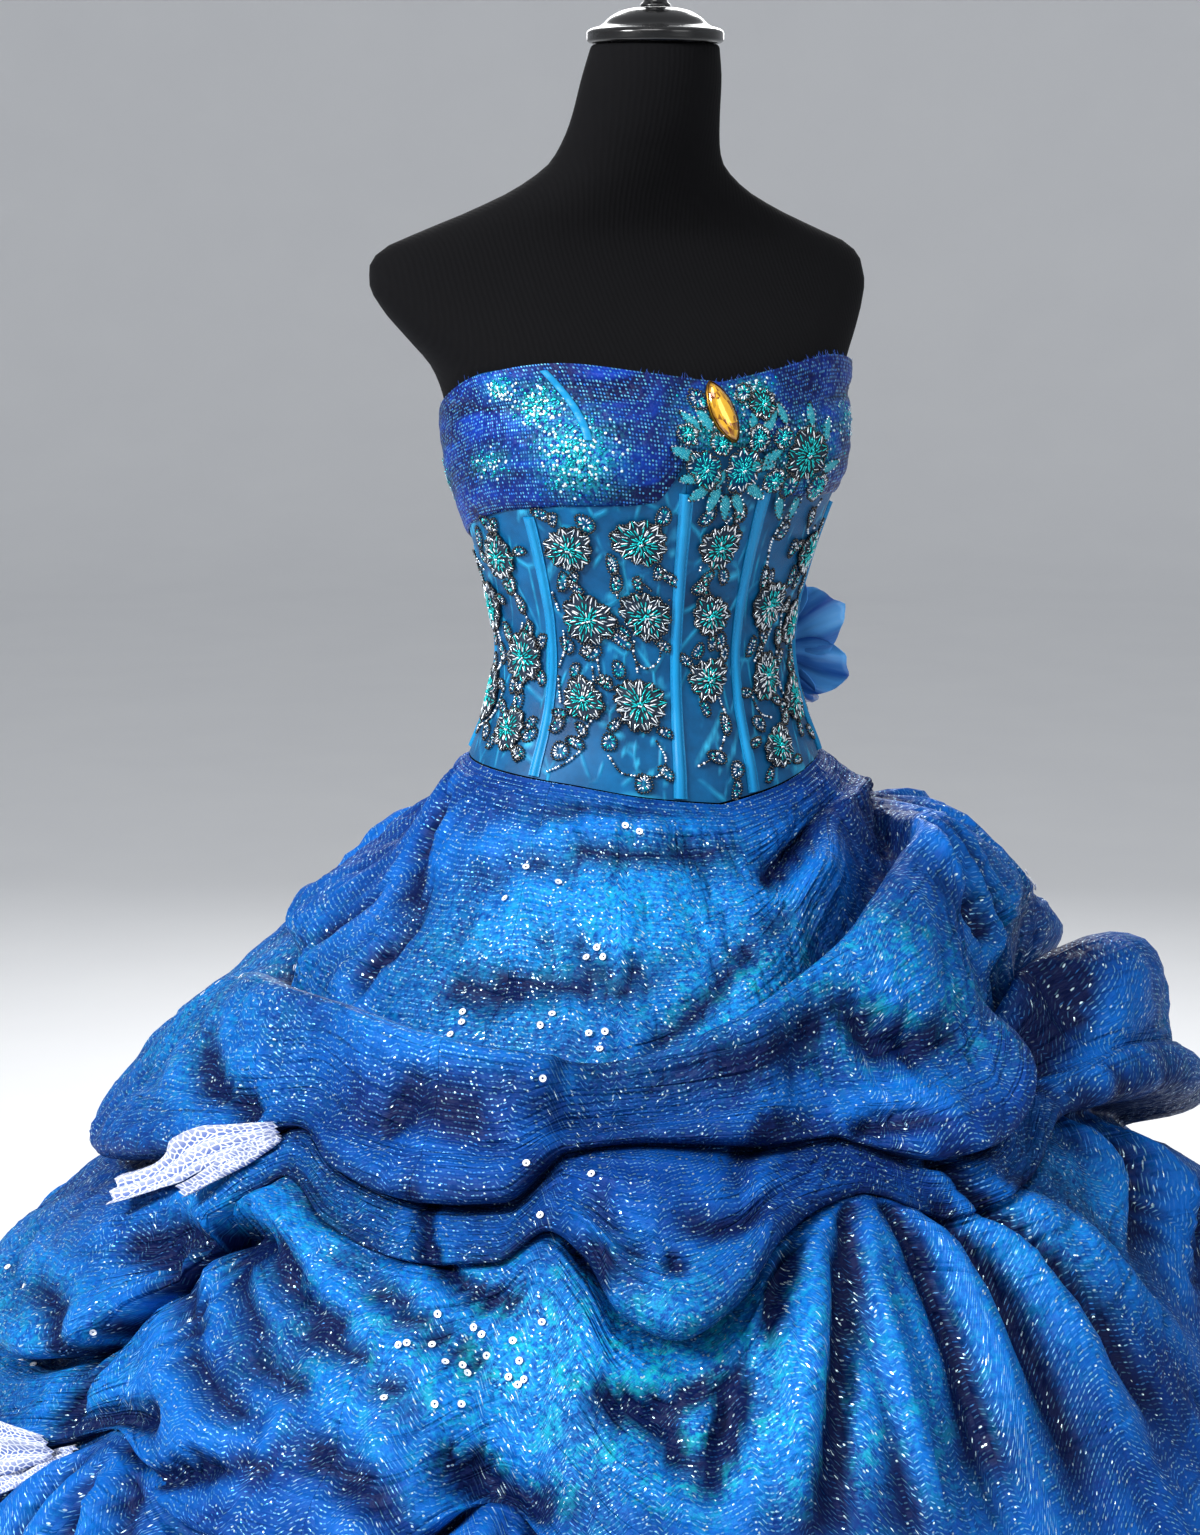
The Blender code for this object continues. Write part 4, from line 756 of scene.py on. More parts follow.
def soft_noise(x, y, seed, period=0):
    """Smooth noise from -1 to 1 over two like arrays; x repeats after period steps where it is given."""
    xi, yi = np.floor(x), np.floor(y)
    u, v = x - xi, y - yi
    u, v = u * u * (3 - 2 * u), v * v * (3 - 2 * v)

    def corner(i, j):
        column = np.mod(xi + i, period) if period else xi + i
        value = np.sin(column * 127.1 + (yi + j) * 311.7 + seed * 74.7) * 43758.5453
        return 2.0 * (value - np.floor(value)) - 1.0

    low = corner(0, 0) * (1 - u) + corner(1, 0) * u
    high = corner(0, 1) * (1 - u) + corner(1, 1) * u
    return low * (1 - v) + high * v


def spot_tint(angle, level, spots):
    """Largest of the soft oval spots at each point."""
    total = np.zeros(np.broadcast(angle, level).shape)
    for a, l, wide, high, strength in spots:
        off = turn_between(angle, a)
        total = np.maximum(total, strength * np.exp(-((off / wide) ** 2) - ((level - l) / high) ** 2))
    return total


def sequin_mesh_finish():
    """Stretch mesh with heat-set foil dots in close rows: each dot throws back its own glint, and painted
    shade darkens the troughs of its gathers.
    """
    made, tree, shader = finish_named(
        "royal blue sequin mesh", roughness=0.42, sheen_weight=0.02, specular_ior_level=0.15,
        sheen_tint=linear("7FA8FF"),
    )
    flat = add(tree, "UVMap", uv_map="cloth")
    where = add(tree, "TexCoord").outputs["Object"]
    patch = add(tree, "Attribute", attribute_name="patch").outputs["Fac"]
    fold = add(tree, "Attribute", attribute_name="fold").outputs["Fac"]
    # Foil dots 1.2 mm across, 2.1 mm apart in rows of 2.6 mm
    grid = add(tree, "Mapping", {"Vector": flat, "Scale": (1 / 0.0021, 1 / 0.0026, 1.0)})
    dots = add(
        tree, "TexVoronoi", {"Vector": grid, "Scale": 1.0, "Randomness": 0.22}, voronoi_dimensions="2D",
    )
    mask = add(
        tree, "MapRange", {"Value": dots, "From Min": 0.20, "From Max": 0.36, "To Min": 1.0, "To Max": 0.0},
    )
    chance = add(tree, "SeparateColor", {"Color": dots.outputs["Color"]})
    lit = add(tree, "MapRange", {"Value": chance.outputs[0], "From Min": 0.25, "From Max": 0.95})
    cloud = add(tree, "TexNoise", {"Vector": where, "Scale": 34.0, "Detail": 4.0, "Roughness": 0.6})
    tone = add(tree, "MapRange", {"Value": cloud, "From Min": 0.34, "From Max": 0.66})
    cloth = add(
        tree, "Mix", {"Factor": tone, "A": linear("020F50"), "B": linear("06349C")}, data_type="RGBA",
    )
    # Painted shade: the troughs of the gathers are painted dark navy
    deep = add(tree, "Mix", {"Factor": fold, "A": linear("030A3C"), "B": cloth}, data_type="RGBA")
    # Sequinned lace under the mesh: grains of 3 mm, bright and dark, not an even glow
    lace = add(tree, "TexNoise", {"Vector": where, "Scale": 330.0, "Detail": 3.0, "Roughness": 0.7})
    lace_at = add(tree, "MapRange", {"Value": lace, "From Min": 0.42, "From Max": 0.58})
    laced = add(tree, "Math", {0: patch, 1: lace_at}, operation="MULTIPLY")
    teal = add(tree, "Mix", {"Factor": laced, "A": deep, "B": linear("16B4C0")}, data_type="RGBA")
    foil = add(
        tree, "Mix", {"Factor": chance.outputs[1], "A": linear("2E7CF4"), "B": linear("86E6FF")},
        data_type="RGBA",
    )
    amount = add(tree, "Math", {0: mask, 1: lit}, operation="MULTIPLY")
    colour = add(tree, "Mix", {"Factor": amount, "A": teal, "B": foil}, data_type="RGBA")
    metal = add(tree, "MapRange", {"Value": amount, "To Min": 0.05, "To Max": 0.85})
    tilt = add(tree, "VectorMath", {0: dots.outputs["Color"], 1: (0.5, 0.5, 0.5)}, operation="SUBTRACT")
    tip = add(tree, "VectorMath", {0: tilt, "Scale": 0.55}, operation="SCALE")
    bump = add(tree, "Bump", {"Height": mask, "Strength": 0.4, "Distance": 0.0004})
    leaning = add(tree, "VectorMath", {0: bump, 1: tip}, operation="ADD")
    unit = add(tree, "VectorMath", {0: leaning}, operation="NORMALIZE")
    wire(tree, shader, {"Base Color": colour, "Metallic": metal, "Normal": unit})
    return made


sequin_mesh = sequin_mesh_finish()


def drape_out(angle, level):
    """How far the gathered mesh stands off the body, in flat folds that follow the cup, and the folds."""
    low = drape_level(angle)
    up = (level - low) / (1.0 - low)
    tall = (edge_at(TOP_EDGE, angle) - edge_at(WAIST_EDGE, angle)) * (1.0 - low)
    side = np.abs(angle)
    bow = 0.020 * np.sin(np.pi * np.clip((side - 4.0) / 70.0, 0.0, 1.0)) * (up - 0.35)
    y = up * tall + bow
    ripple = soft_noise(side * 0.055 + 0.5 * np.sign(angle), y / 0.0062, 3.0)
    ripple += 0.45 * soft_noise(side * 0.13 + 2.0 * np.sign(angle), y / 0.0031, 5.0)
    tight = np.clip(side / 5.0, 0.0, 1.0) * np.clip(up / 0.06, 0.0, 1.0)
    tight = tight * np.clip((1.0 - up) / 0.05, 0.0, 1.0)
    fade = 1.0 - 0.6 * np.clip((side - 75.0) / 50.0, 0.0, 1.0)
    stand = outside + DRAPE["laid"] + DRAPE["cloth"]
    return stand + DRAPE["gather"] * (0.7 + ripple * fade) * (0.25 + 0.75 * tight), ripple


for name, first, last in (("bust_drape_right", -DRAPE["end"], 0.0), ("bust_drape_left", 0.0, DRAPE["end"])):
    gap = math.degrees(0.5 * SEAM_GAP / CUP_RADIUS)
    angles = np.linspace(first + gap, last - gap, DRAPE["columns"] + 1)[:, None]
    up = np.linspace(0.0, 1.0, DRAPE["rows"] + 1)[None, :]
    low = drape_level(angles)
    levels = low + (1.0 - low) * up
    angles = angles + 0 * levels
    out, ripple = drape_out(angles, levels)
    # The lower edge is turned under and pulls in a little between its stitches
    hem = np.clip(1.0 - up / 0.04, 0.0, 1.0)
    out = out - 0.0009 * hem ** 2
    outer = bodice_point(angles, levels, out)
    inner = bodice_point(angles, levels, outside + DRAPE["laid"] + 0 * out)
    flat = np.stack([np.radians(angles) * BUST_RADIUS, levels * FRONT_TALL], axis=-1)
    # The fold tint is painted shade: it falls in the troughs of the gathers, which the mesh paints dark navy
    tints = {
        "patch": spot_tint(angles, levels, DRAPE_PATCHES), "fold": np.clip(0.55 + 0.6 * ripple, 0.0, 1.0),
    }
    drape = cloth_shell(f"{name}_gathers", outer, inner, sequin_mesh, flat, tints)
    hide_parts(name)


# Cup seam band: a narrow bias strip of turquoise satin sewn over the right cup's dart.
CUP_BAND = {"low": (-38.0, 0.83), "high": (-46.0, 0.985), "width": 0.0055, "rows": 40, "columns": 8}
up = np.linspace(0.0, 1.0, CUP_BAND["rows"] + 1)[None, :]
share = np.linspace(-0.5, 0.5, CUP_BAND["columns"] + 1)[:, None]
(low_angle, low_level), (high_angle, high_level) = CUP_BAND["low"], CUP_BAND["high"]
aside = share * math.degrees(CUP_BAND["width"] / BUST_RADIUS)
angles = low_angle + (high_angle - low_angle) * up ** 1.3 + aside
levels = low_level + (high_level - low_level) * up + 0 * share
stand, _ = drape_out(angles, levels)
crown = 0.0010 * (1.0 - (2 * share) ** 2) + 0.0006 + 0 * up
band = cloth_shell(
    "cup_seam_band",
    bodice_point(angles, levels, stand + 0.0006 + crown),
    bodice_point(angles, levels, stand + 0.0004),
    channel,
    np.stack([share * CUP_BAND["width"] + 0 * up, up * 0.05 + 0 * share], axis=-1),
)


# Beadwork on the bodice: flowers, leaves and vines sewn over the mesh. A flower is a pad of black net,
# edged in scallops of jet seed beads and filled with silver-lined and turquoise bugles that run out
# from a knot of seeds. Each is sewn on by hand, so no two are quite alike.
BEAD = {"seed": 0.00115, "bugle": 0.00058, "pad": 0.0013, "crown": 0.0017, "clear": 0.0009, "rim": 1.12}
FLOWERS = (
    # angle, level, radius, petals, height over width, tilt in degrees
    (-49.0, 0.575, 0.0165, 11, 1.00, 0.0),
    (-26.0, 0.610, 0.0190, 12, 0.92, 20.0),
    (0.0, 0.620, 0.0150, 11, 1.10, -10.0),
    (-45.0, 0.400, 0.0185, 10, 0.95, 40.0),
    (-24.0, 0.430, 0.0175, 12, 1.00, 0.0),
    (0.0, 0.450, 0.0140, 10, 1.05, 30.0),
    (-76.0, 0.290, 0.0165, 11, 1.10, 15.0),
    (0.0, 0.290, 0.0145, 11, 1.05, -15.0),
    (-26.0, 0.210, 0.0190, 13, 0.90, 10.0),
    (27.0, 0.080, 0.0155, 11, 0.95, 0.0),
    (27.0, 0.430, 0.0175, 12, 1.00, -20.0),
    (28.0, 0.250, 0.0160, 11, 1.00, 35.0),
    (47.0, 0.160, 0.0160, 11, 1.05, 0.0),
    (-47.0, 0.200, 0.0140, 10, 1.10, 25.0),
    (-78.0, 0.100, 0.0140, 10, 1.05, -20.0),
    (-80.0, 0.560, 0.0150, 11, 1.10, 30.0),
    (48.0, 0.530, 0.0170, 12, 0.95, 0.0),
    (48.0, 0.350, 0.0150, 11, 1.00, 20.0),
    (75.0, 0.400, 0.0170, 11, 1.05, 0.0),
    (78.0, 0.120, 0.0165, 12, 0.95, -30.0),
    (-100.0, 0.440, 0.0180, 12, 1.00, 0.0),
    (-104.0, 0.180, 0.0180, 11, 1.05, 20.0),
    (138.0, 0.500, 0.0190, 12, 1.00, 0.0),
    (150.0, 0.220, 0.0190, 11, 0.95, 25.0),
    (-138.0, 0.300, 0.0190, 12, 1.05, -15.0),
    (-152.0, 0.540, 0.0180, 11, 1.00, 10.0),
)
DRAPE_FLOWERS = (
    # angle, level, radius, petals, height over width, tilt in degrees
    (24.0, 0.800, 0.0200, 9, 1.00, 0.0),
    (11.0, 0.930, 0.0120, 7, 1.00, 20.0),
)
LEAVES = (
    # angle, level, half width, height over width, tilt in degrees
    (-81.0, 0.650, 0.0045, 2.2, 40.0),
    (-77.0, 0.480, 0.0045, 1.9, -30.0),
    (-74.0, 0.430, 0.0040, 2.0, 10.0),
    (-72.0, 0.360, 0.0042, 2.1, -25.0),
    (-78.0, 0.225, 0.0048, 2.4, 10.0),
    (-77.0, 0.165, 0.0048, 2.3, -20.0),
    (-70.0, 0.050, 0.0045, 1.7, 60.0),
    (-67.0, 0.095, 0.0045, 1.8, -50.0),
    (-86.0, 0.360, 0.0045, 2.0, 20.0),
    (-90.0, 0.620, 0.0045, 2.2, -25.0),
    (-56.0, 0.660, 0.0045, 1.9, 60.0),
    (-53.0, 0.490, 0.0042, 2.2, -15.0),
    (-54.0, 0.330, 0.0048, 1.6, 25.0),
    (-40.0, 0.700, 0.0060, 1.2, 0.0),
    (-42.0, 0.640, 0.0065, 1.4, 30.0),
    (-30.0, 0.715, 0.0070, 1.2, 15.0),
    (-35.0, 0.545, 0.0045, 2.0, 5.0),
    (-34.0, 0.500, 0.0045, 2.1, -10.0),
    (-34.0, 0.420, 0.0068, 1.3, 20.0),
    (-33.0, 0.360, 0.0050, 2.1, 65.0),
    (-44.0, 0.315, 0.0045, 2.0, -60.0),
    (-36.0, 0.235, 0.0046, 2.0, 75.0),
    (-34.0, 0.285, 0.0050, 1.5, 10.0),
    (-36.0, 0.110, 0.0060, 1.2, 0.0),
    (-53.0, 0.070, 0.0070, 1.1, 0.0),
    (-48.0, 0.095, 0.0042, 2.0, 70.0),
    (-56.0, 0.130, 0.0045, 1.8, -30.0),
    (-24.0, 0.030, 0.0070, 1.1, 0.0),
    (-17.0, 0.060, 0.0040, 1.9, 50.0),
    (-19.0, 0.680, 0.0060, 1.4, -20.0),
    (-16.0, 0.530, 0.0040, 2.2, 60.0),
    (-5.0, 0.520, 0.0048, 2.0, -45.0),
    (-5.5, 0.690, 0.0048, 2.1, -40.0),
    (5.0, 0.700, 0.0050, 2.0, 25.0),
    (3.0, 0.545, 0.0042, 1.9, 20.0),
    (5.0, 0.380, 0.0050, 1.6, 0.0),
    (-4.0, 0.360, 0.0042, 1.8, -30.0),
    (5.5, 0.175, 0.0044, 2.2, 10.0),
    (0.5, 0.105, 0.0048, 1.9, 65.0),
    (7.0, 0.065, 0.0060, 1.2, 0.0),
    (6.0, 0.020, 0.0042, 2.0, -20.0),
    (21.0, 0.510, 0.0042, 2.6, 5.0),
    (20.0, 0.340, 0.0044, 2.0, -25.0),
    (20.0, 0.150, 0.0048, 1.8, 40.0),
    (36.0, 0.150, 0.0055, 1.6, 0.0),
    (37.0, 0.330, 0.0046, 2.2, 20.0),
    (38.0, 0.480, 0.0046, 2.0, -15.0),
    (33.0, 0.560, 0.0050, 1.6, 0.0),
    (38.0, 0.630, 0.0046, 2.2, 30.0),
    (24.0, 0.620, 0.0055, 1.5, -35.0),
    (52.0, 0.260, 0.0046, 2.0, 10.0),
    (55.0, 0.445, 0.0044, 2.1, -25.0),
    (54.0, 0.060, 0.0050, 1.7, 45.0),
    (72.0, 0.560, 0.0046, 2.2, 30.0),
    (84.0, 0.300, 0.0046, 2.0, -25.0),
    (70.0, 0.220, 0.0046, 2.0, 15.0),
    (95.0, 0.480, 0.0050, 1.9, -10.0),
    (100.0, 0.240, 0.0050, 1.9, 35.0),
    (108.0, 0.580, 0.0046, 2.1, 20.0),
    (130.0, 0.360, 0.0046, 2.0, -30.0),
    (146.0, 0.620, 0.0046, 2.0, 15.0),
    (158.0, 0.420, 0.0046, 2.0, -15.0),
    (136.0, 0.120, 0.0050, 1.8, 40.0),
    (-92.0, 0.300, 0.0046, 2.1, 20.0),
    (-110.0, 0.580, 0.0046, 2.0, -25.0),
    (-94.0, 0.080, 0.0050, 1.7, 40.0),
    (-130.0, 0.470, 0.0046, 2.1, 10.0),
    (-148.0, 0.390, 0.0046, 2.0, -30.0),
    (-160.0, 0.250, 0.0046, 2.0, 25.0),
    (-136.0, 0.130, 0.0050, 1.8, -20.0),
)
VINES = (
    # each vine is sewn through these places: angle, level, angle, level, and so on
    (-86.0, 0.680, -80.0, 0.620, -75.0, 0.560, -76.0, 0.480, -72.0, 0.390, -70.0, 0.330),
    (-75.0, 0.380, -78.0, 0.320, -80.0, 0.270, -75.0, 0.230, -79.0, 0.180, -74.0, 0.120, -70.0, 0.070),
    (-44.0, 0.280, -43.0, 0.210, -43.0, 0.160, -46.0, 0.120, -50.0, 0.085),
    (-36.0, 0.560, -34.0, 0.530, -34.0, 0.480, -33.0, 0.440),
    (-19.0, 0.560, -15.5, 0.525, -15.0, 0.490, -18.0, 0.470, -24.0, 0.505, -29.0, 0.520),
    (-28.0, 0.370, -28.5, 0.330, -24.0, 0.300, -19.0, 0.325, -18.0, 0.365),
    (-42.0, 0.300, -41.0, 0.265, -37.0, 0.245, -32.0, 0.240, -27.0, 0.285, -28.0, 0.330),
    (-7.0, 0.480, -4.0, 0.430, 0.0, 0.400, 4.0, 0.385, 6.0, 0.340, 4.0, 0.320),
    (-6.0, 0.560, -4.0, 0.640, 1.0, 0.680, 6.0, 0.720),
    (4.0, 0.240, 6.0, 0.190, 3.0, 0.130, -2.0, 0.100, -7.0, 0.080),
    (31.0, 0.370, 28.0, 0.340, 22.0, 0.300, 19.0, 0.230, 22.0, 0.170, 27.0, 0.150),
    (34.0, 0.460, 37.0, 0.400, 38.0, 0.330, 36.0, 0.270, 37.0, 0.200, 40.0, 0.170),
    (24.0, 0.660, 20.0, 0.600, 21.0, 0.530, 22.0, 0.470),
    (40.0, 0.690, 38.0, 0.620, 42.0, 0.580, 46.0, 0.600),
    (-58.0, 0.470, -56.0, 0.400, -55.0, 0.330, -58.0, 0.260, -56.0, 0.180),
    (-20.0, 0.130, -17.0, 0.090, -20.0, 0.050, -30.0, 0.045, -36.0, 0.080),
    (-56.0, 0.020, -50.0, 0.045, -44.0, 0.090),
    (52.0, 0.440, 56.0, 0.380, 53.0, 0.300, 55.0, 0.220, 50.0, 0.110),
    (66.0, 0.560, 72.0, 0.510, 80.0, 0.520, 88.0, 0.480, 94.0, 0.430, 100.0, 0.380),
    (75.0, 0.320, 72.0, 0.250, 76.0, 0.190, 88.0, 0.160, 96.0, 0.200, 104.0, 0.260),
    (104.0, 0.640, 112.0, 0.560, 110.0, 0.480, 104.0, 0.420),
    (130.0, 0.430, 128.0, 0.350, 134.0, 0.280, 142.0, 0.240),
    (146.0, 0.550, 156.0, 0.480, 160.0, 0.400, 156.0, 0.310),
    (140.0, 0.100, 150.0, 0.120, 160.0, 0.080),
    (-96.0, 0.540, -104.0, 0.580, -112.0, 0.560, -114.0, 0.480),
    (-96.0, 0.360, -92.0, 0.300, -98.0, 0.250, -104.0, 0.260),
    (-88.0, 0.200, -92.0, 0.130, -98.0, 0.100, -108.0, 0.080),
    (-130.0, 0.400, -128.0, 0.480, -134.0, 0.540, -144.0, 0.560),
    (-146.0, 0.460, -150.0, 0.380, -158.0, 0.300, -160.0, 0.220),
    (-128.0, 0.220, -134.0, 0.150, -146.0, 0.120, -160.0, 0.130),
)
jet = plain_finish("jet glass bead", base_color=linear("06070B"), roughness=0.10, specular_ior_level=0.8)
lined = plain_finish("silver-lined glass bead", base_color=linear("DCE8EE"), roughness=0.18, metallic=0.92)
pearly = plain_finish(
    "crystal glass bead", base_color=linear("F6FAFF"), roughness=0.12, metallic=0.3, coat_weight=0.6,
)
sea = plain_finish("turquoise lined bugle bead", base_color=linear("14C4C6"), roughness=0.14, metallic=0.5)
bead_finishes = [jet, lined, pearly, sea]
seed_bead = bead_template("seed")
bugle_bead = bead_template("rod")
sewing = random.Random(11)


def net_pad_finish():
    """Black nylon net, stiffened with size: matt, with a fine open grid that dulls to navy."""
    made, tree, shader = finish_named("black stiffened net", roughness=0.75)
    where = add(tree, "TexCoord").outputs["Object"]
    # Mesh of 0.8 mm, drawn at 1.2 mm to show
    weave = add(
        tree, "TexVoronoi", {"Vector": where, "Scale": 830.0, "Randomness": 0.3}, feature="DISTANCE_TO_EDGE",
    )
    holes = add(tree, "MapRange", {"Value": weave, "From Max": 0.16})
    colour = add(
        tree, "Mix", {"Factor": holes, "A": linear("04060C"), "B": linear("0B2A44")}, data_type="RGBA",
    )
    bump = add(tree, "Bump", {"Height": holes, "Strength": 0.6, "Distance": 0.0002})
    wire(tree, shader, {"Base Color": colour, "Normal": bump})
    return made


def on_cloth(angle, level, stand):
    """A function from metres across, up and out of a place on the bodice to points in space."""
    degree = np.linalg.norm(
        bodice_point(angle + 0.5, level, stand) - bodice_point(angle - 0.5, level, stand)
    )
    step = np.linalg.norm(
        bodice_point(angle, level + 0.01, stand) - bodice_point(angle, level - 0.01, stand)
    ) / 0.02

    def spot(x, y, out):
        return bodice_point(angle + x / degree, level + y / step, stand + out)

    return spot


def sewn_at(spot, x, y, out, turn, size):
    """Placings of beads at x, y on the cloth, their length along turn, with half sizes (x, y, z)."""
    middle = spot(x, y, out)
    along = spot(x + 0.001 * np.cos(turn), y + 0.001 * np.sin(turn), out) - middle
    away = spot(x, y, out + 0.001) - middle
    away /= np.linalg.norm(away, axis=-1, keepdims=True)
    along -= away * np.sum(along * away, axis=-1, keepdims=True)
    along /= np.linalg.norm(along, axis=-1, keepdims=True)
    places = np.zeros((len(middle), 4, 4))
    places[:, :3, 0] = along * size[0]
    places[:, :3, 1] = np.cross(away, along) * size[1]
    places[:, :3, 2] = away * size[2]
    places[:, :3, 3] = middle
    places[:, 3, 3] = 1.0
    return places


def petal_reach(turn, petals):
    """Share of the radius that a flower's edge reaches: round petals, some longer, with notches between."""
    uneven = 0.06 * np.sin(3 * turn + petals) + 0.05 * np.sin(2 * turn + 2.3 * petals)
    return 0.76 + uneven + 0.20 * np.abs(np.cos(petals * turn / 2)) ** 0.6


def turned_by(tilt, across, up):
    """The same places turned by an angle in radians."""
    return across * math.cos(tilt) - up * math.sin(tilt), across * math.sin(tilt) + up * math.cos(tilt)


def scallops(radius, petals, stretch, tilt):
    """Closed outline with round petals, and its points evenly spaced by one bead."""
    turn = np.linspace(0.0, math.tau, 241)
    reach = radius * petal_reach(turn, petals)
    x, y = turned_by(tilt, reach * np.cos(turn), reach * np.sin(turn) * stretch)
    run = np.concatenate([[0.0], np.cumsum(np.hypot(np.diff(x), np.diff(y)))])
    count = max(6, int(run[-1] / (2.0 * BEAD["seed"])))
    at = np.linspace(0.0, run[-1], count, endpoint=False)
    return np.interp(at, run, x), np.interp(at, run, y)


def by_chance(count, most):
    """That many random numbers, each up to most either way."""
    return np.array([sewing.uniform(-most, most) for _ in range(count)])


def motif_beads(spot, radius, petals, stretch, tilt, lush):
    """Beads of one flower or leaf, as groups for sewn; lush is its share of turquoise."""
    tilt = math.radians(tilt)
    seed, bugle = BEAD["seed"], BEAD["bugle"]
    crown = min(BEAD["crown"], radius * 0.14)
    x, y = scallops(radius, petals, stretch, tilt)
    groups = [
        (seed_bead, sewn_at(spot, x, y, BEAD["pad"] + 0.3 * seed + 0 * x, 0 * x, (seed, seed, seed)), 0)
    ]
    # Rings of bugles: middle of the ring and half a bead's length, as shares of the radius
    rings = ((0.50, 0.26, 3.2),)
    if radius > 0.008:
        rings = ((0.76, 0.175, 3.3), (0.47, 0.150, 3.6), (0.25, 0.120, 3.0))
    for ring, (middle, half, apart) in enumerate(rings):
        if ring == 0 and len(rings) > 1:
            # Two bugles up the sides of each petal, leaning together at its tip, and one between them
            count = 3 * petals
            side = np.arange(count) % 3 - 1
            spin = (np.arange(count) // 3 + 0.27 * side) * math.tau / petals
            spin += by_chance(count, 0.05)
            lean_in = -0.55 * side
        else:
            count = max(4, int(math.tau * radius * middle * (0.5 + 0.5 * stretch) / (apart * bugle)))
            spin = np.array([math.tau * (i + sewing.uniform(-0.35, 0.35)) / count for i in range(count)])
            lean_in = 0.0
        reach = radius * middle * (0.25 + 0.80 * petal_reach(spin, petals)) * 1.04
        reach += radius * by_chance(count, 0.07)
        bx, by = turned_by(tilt, reach * np.cos(spin), reach * np.sin(spin) * stretch)
        heading = np.arctan2(by, bx) + lean_in + by_chance(count, 0.25)
        rise = BEAD["pad"] + crown * (1.0 - (reach / radius) ** 2) + bugle * 0.6
        draw = np.array([sewing.random() for _ in range(count)])
        green = draw < (0.14, 0.58, 0.80)[ring] * lush if len(rings) > 1 else draw < 0.25 * lush
        bright = ~green & (draw > 0.72)
        size = (max(radius * half, 2 * bugle), bugle, bugle)
        for finish, chosen in ((3, green), (2, bright), (1, ~green & ~bright)):
            if chosen.any():
                placed = sewn_at(spot, bx[chosen], by[chosen], rise[chosen], heading[chosen], size)
                groups.append((bugle_bead, placed, finish))
    if radius > 0.008:
        spin = np.arange(5) * math.tau / 5 + sewing.random()
        x, y = 1.25 * seed * np.cos(spin), 1.25 * seed * np.sin(spin)
        knot = sewn_at(spot, x, y, BEAD["pad"] + crown + 0.6 * seed + 0 * x, 0 * x, (seed, seed, seed))
        groups += [(seed_bead, knot[:3], 3), (seed_bead, knot[3:], 1)]
    return groups


PAD_RINGS = (
    # share of the flower's radius, height as a share of the pad's
    (0.985, 0.0),
    (1.0, 0.4),
    (0.95, 0.8),
    (0.70, 1.5),
    (0.35, 1.9),
)


def pad_places(spot, radius, petals, stretch, tilt):
    """Rings of points for a flower's net pad, from its foot on the cloth up over a low crown."""
    tilt = math.radians(tilt)
    rings = []
    turn = np.linspace(0.0, math.tau, 36, endpoint=False)
    for share, rise in PAD_RINGS:
        reach = radius * share * petal_reach(turn, petals)
        x, y = turned_by(tilt, reach * np.cos(turn), reach * np.sin(turn) * stretch)
        rings.append(spot(x, y, rise * BEAD["pad"] + 0 * x))
    return rings


def lofted(mesh, rings, closed=False):
    """Skins rings of vertices: closed on itself, or else capped at both ends."""
    loops = [[mesh.edges.new((a, b)) for a, b in zip(ring, ring[1:] + ring[:1])] for ring in rings]
    for below, above in zip(loops, loops[1:] + (loops[:1] if closed else [])):
        bmesh.ops.bridge_loops(mesh, edges=below + above)
    if not closed:
        bmesh.ops.contextual_create(mesh, geom=loops[0])
        bmesh.ops.contextual_create(mesh, geom=loops[-1])


def beaded_flower(name, spot, radius, petals, stretch, tilt, lush, node):
    """A whole flower as one piece: the net pad, lofted through its rings, with the beads joined on."""
    mesh = bmesh.new()
    rings = pad_places(spot, radius, petals, stretch, tilt)
    lofted(mesh, [[mesh.verts.new(point) for point in ring] for ring in rings])
    bmesh.ops.recalc_face_normals(mesh, faces=mesh.faces)
    mesh.verts.index_update()
    groups = [(mesh, [Matrix.Identity(4)], 4)] + motif_beads(spot, radius, petals, stretch, tilt, lush)
    flower = sewn(name, groups, bead_finishes + [net_pad])
    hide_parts(node)
    mesh.free()


net_pad = net_pad_finish()
flower_stand = outside + BEAD["clear"]
for i, (angle, level, radius, petals, stretch, tilt) in enumerate(FLOWERS):
    spot = on_cloth(angle, level, flower_stand)
    beaded_flower(
        f"beaded_flower_{i + 1:02d}", spot, radius * BEAD["rim"], petals, stretch, tilt, 1.0,
        f"bead_flower_{i + 1:02d}",
    )
drape_stand = outside + DRAPE["laid"] + DRAPE["cloth"] + 1.4 * DRAPE["gather"]
for i, (angle, level, radius, petals, stretch, tilt) in enumerate(DRAPE_FLOWERS):
    spot = on_cloth(angle, level, drape_stand)
    beaded_flower(
        f"bust_beaded_flower_{i + 1:02d}", spot, radius, petals, stretch, tilt, 2.0,
        f"bust_flower_{i + 1:02d}",
    )


def clear_of_flowers(angle, level):
    """True where a bead laid on the bodice touches no flower and no boning channel."""
    free = np.ones(np.shape(angle), bool)
    for a, l, radius, _, _, _ in FLOWERS:
        off = np.hypot(np.radians(angle - a) * BODY_RADIUS, (level - l) * FRONT_TALL)
        free &= off > radius * BEAD["rim"] * 1.04
    for seam in SEAM.values():
        free &= np.abs(np.abs(angle) - seam) > math.degrees(0.0056 / BODY_RADIUS)
    return free & (np.abs(angle) < 172.0) & (level < drape_level(angle) - 0.012)


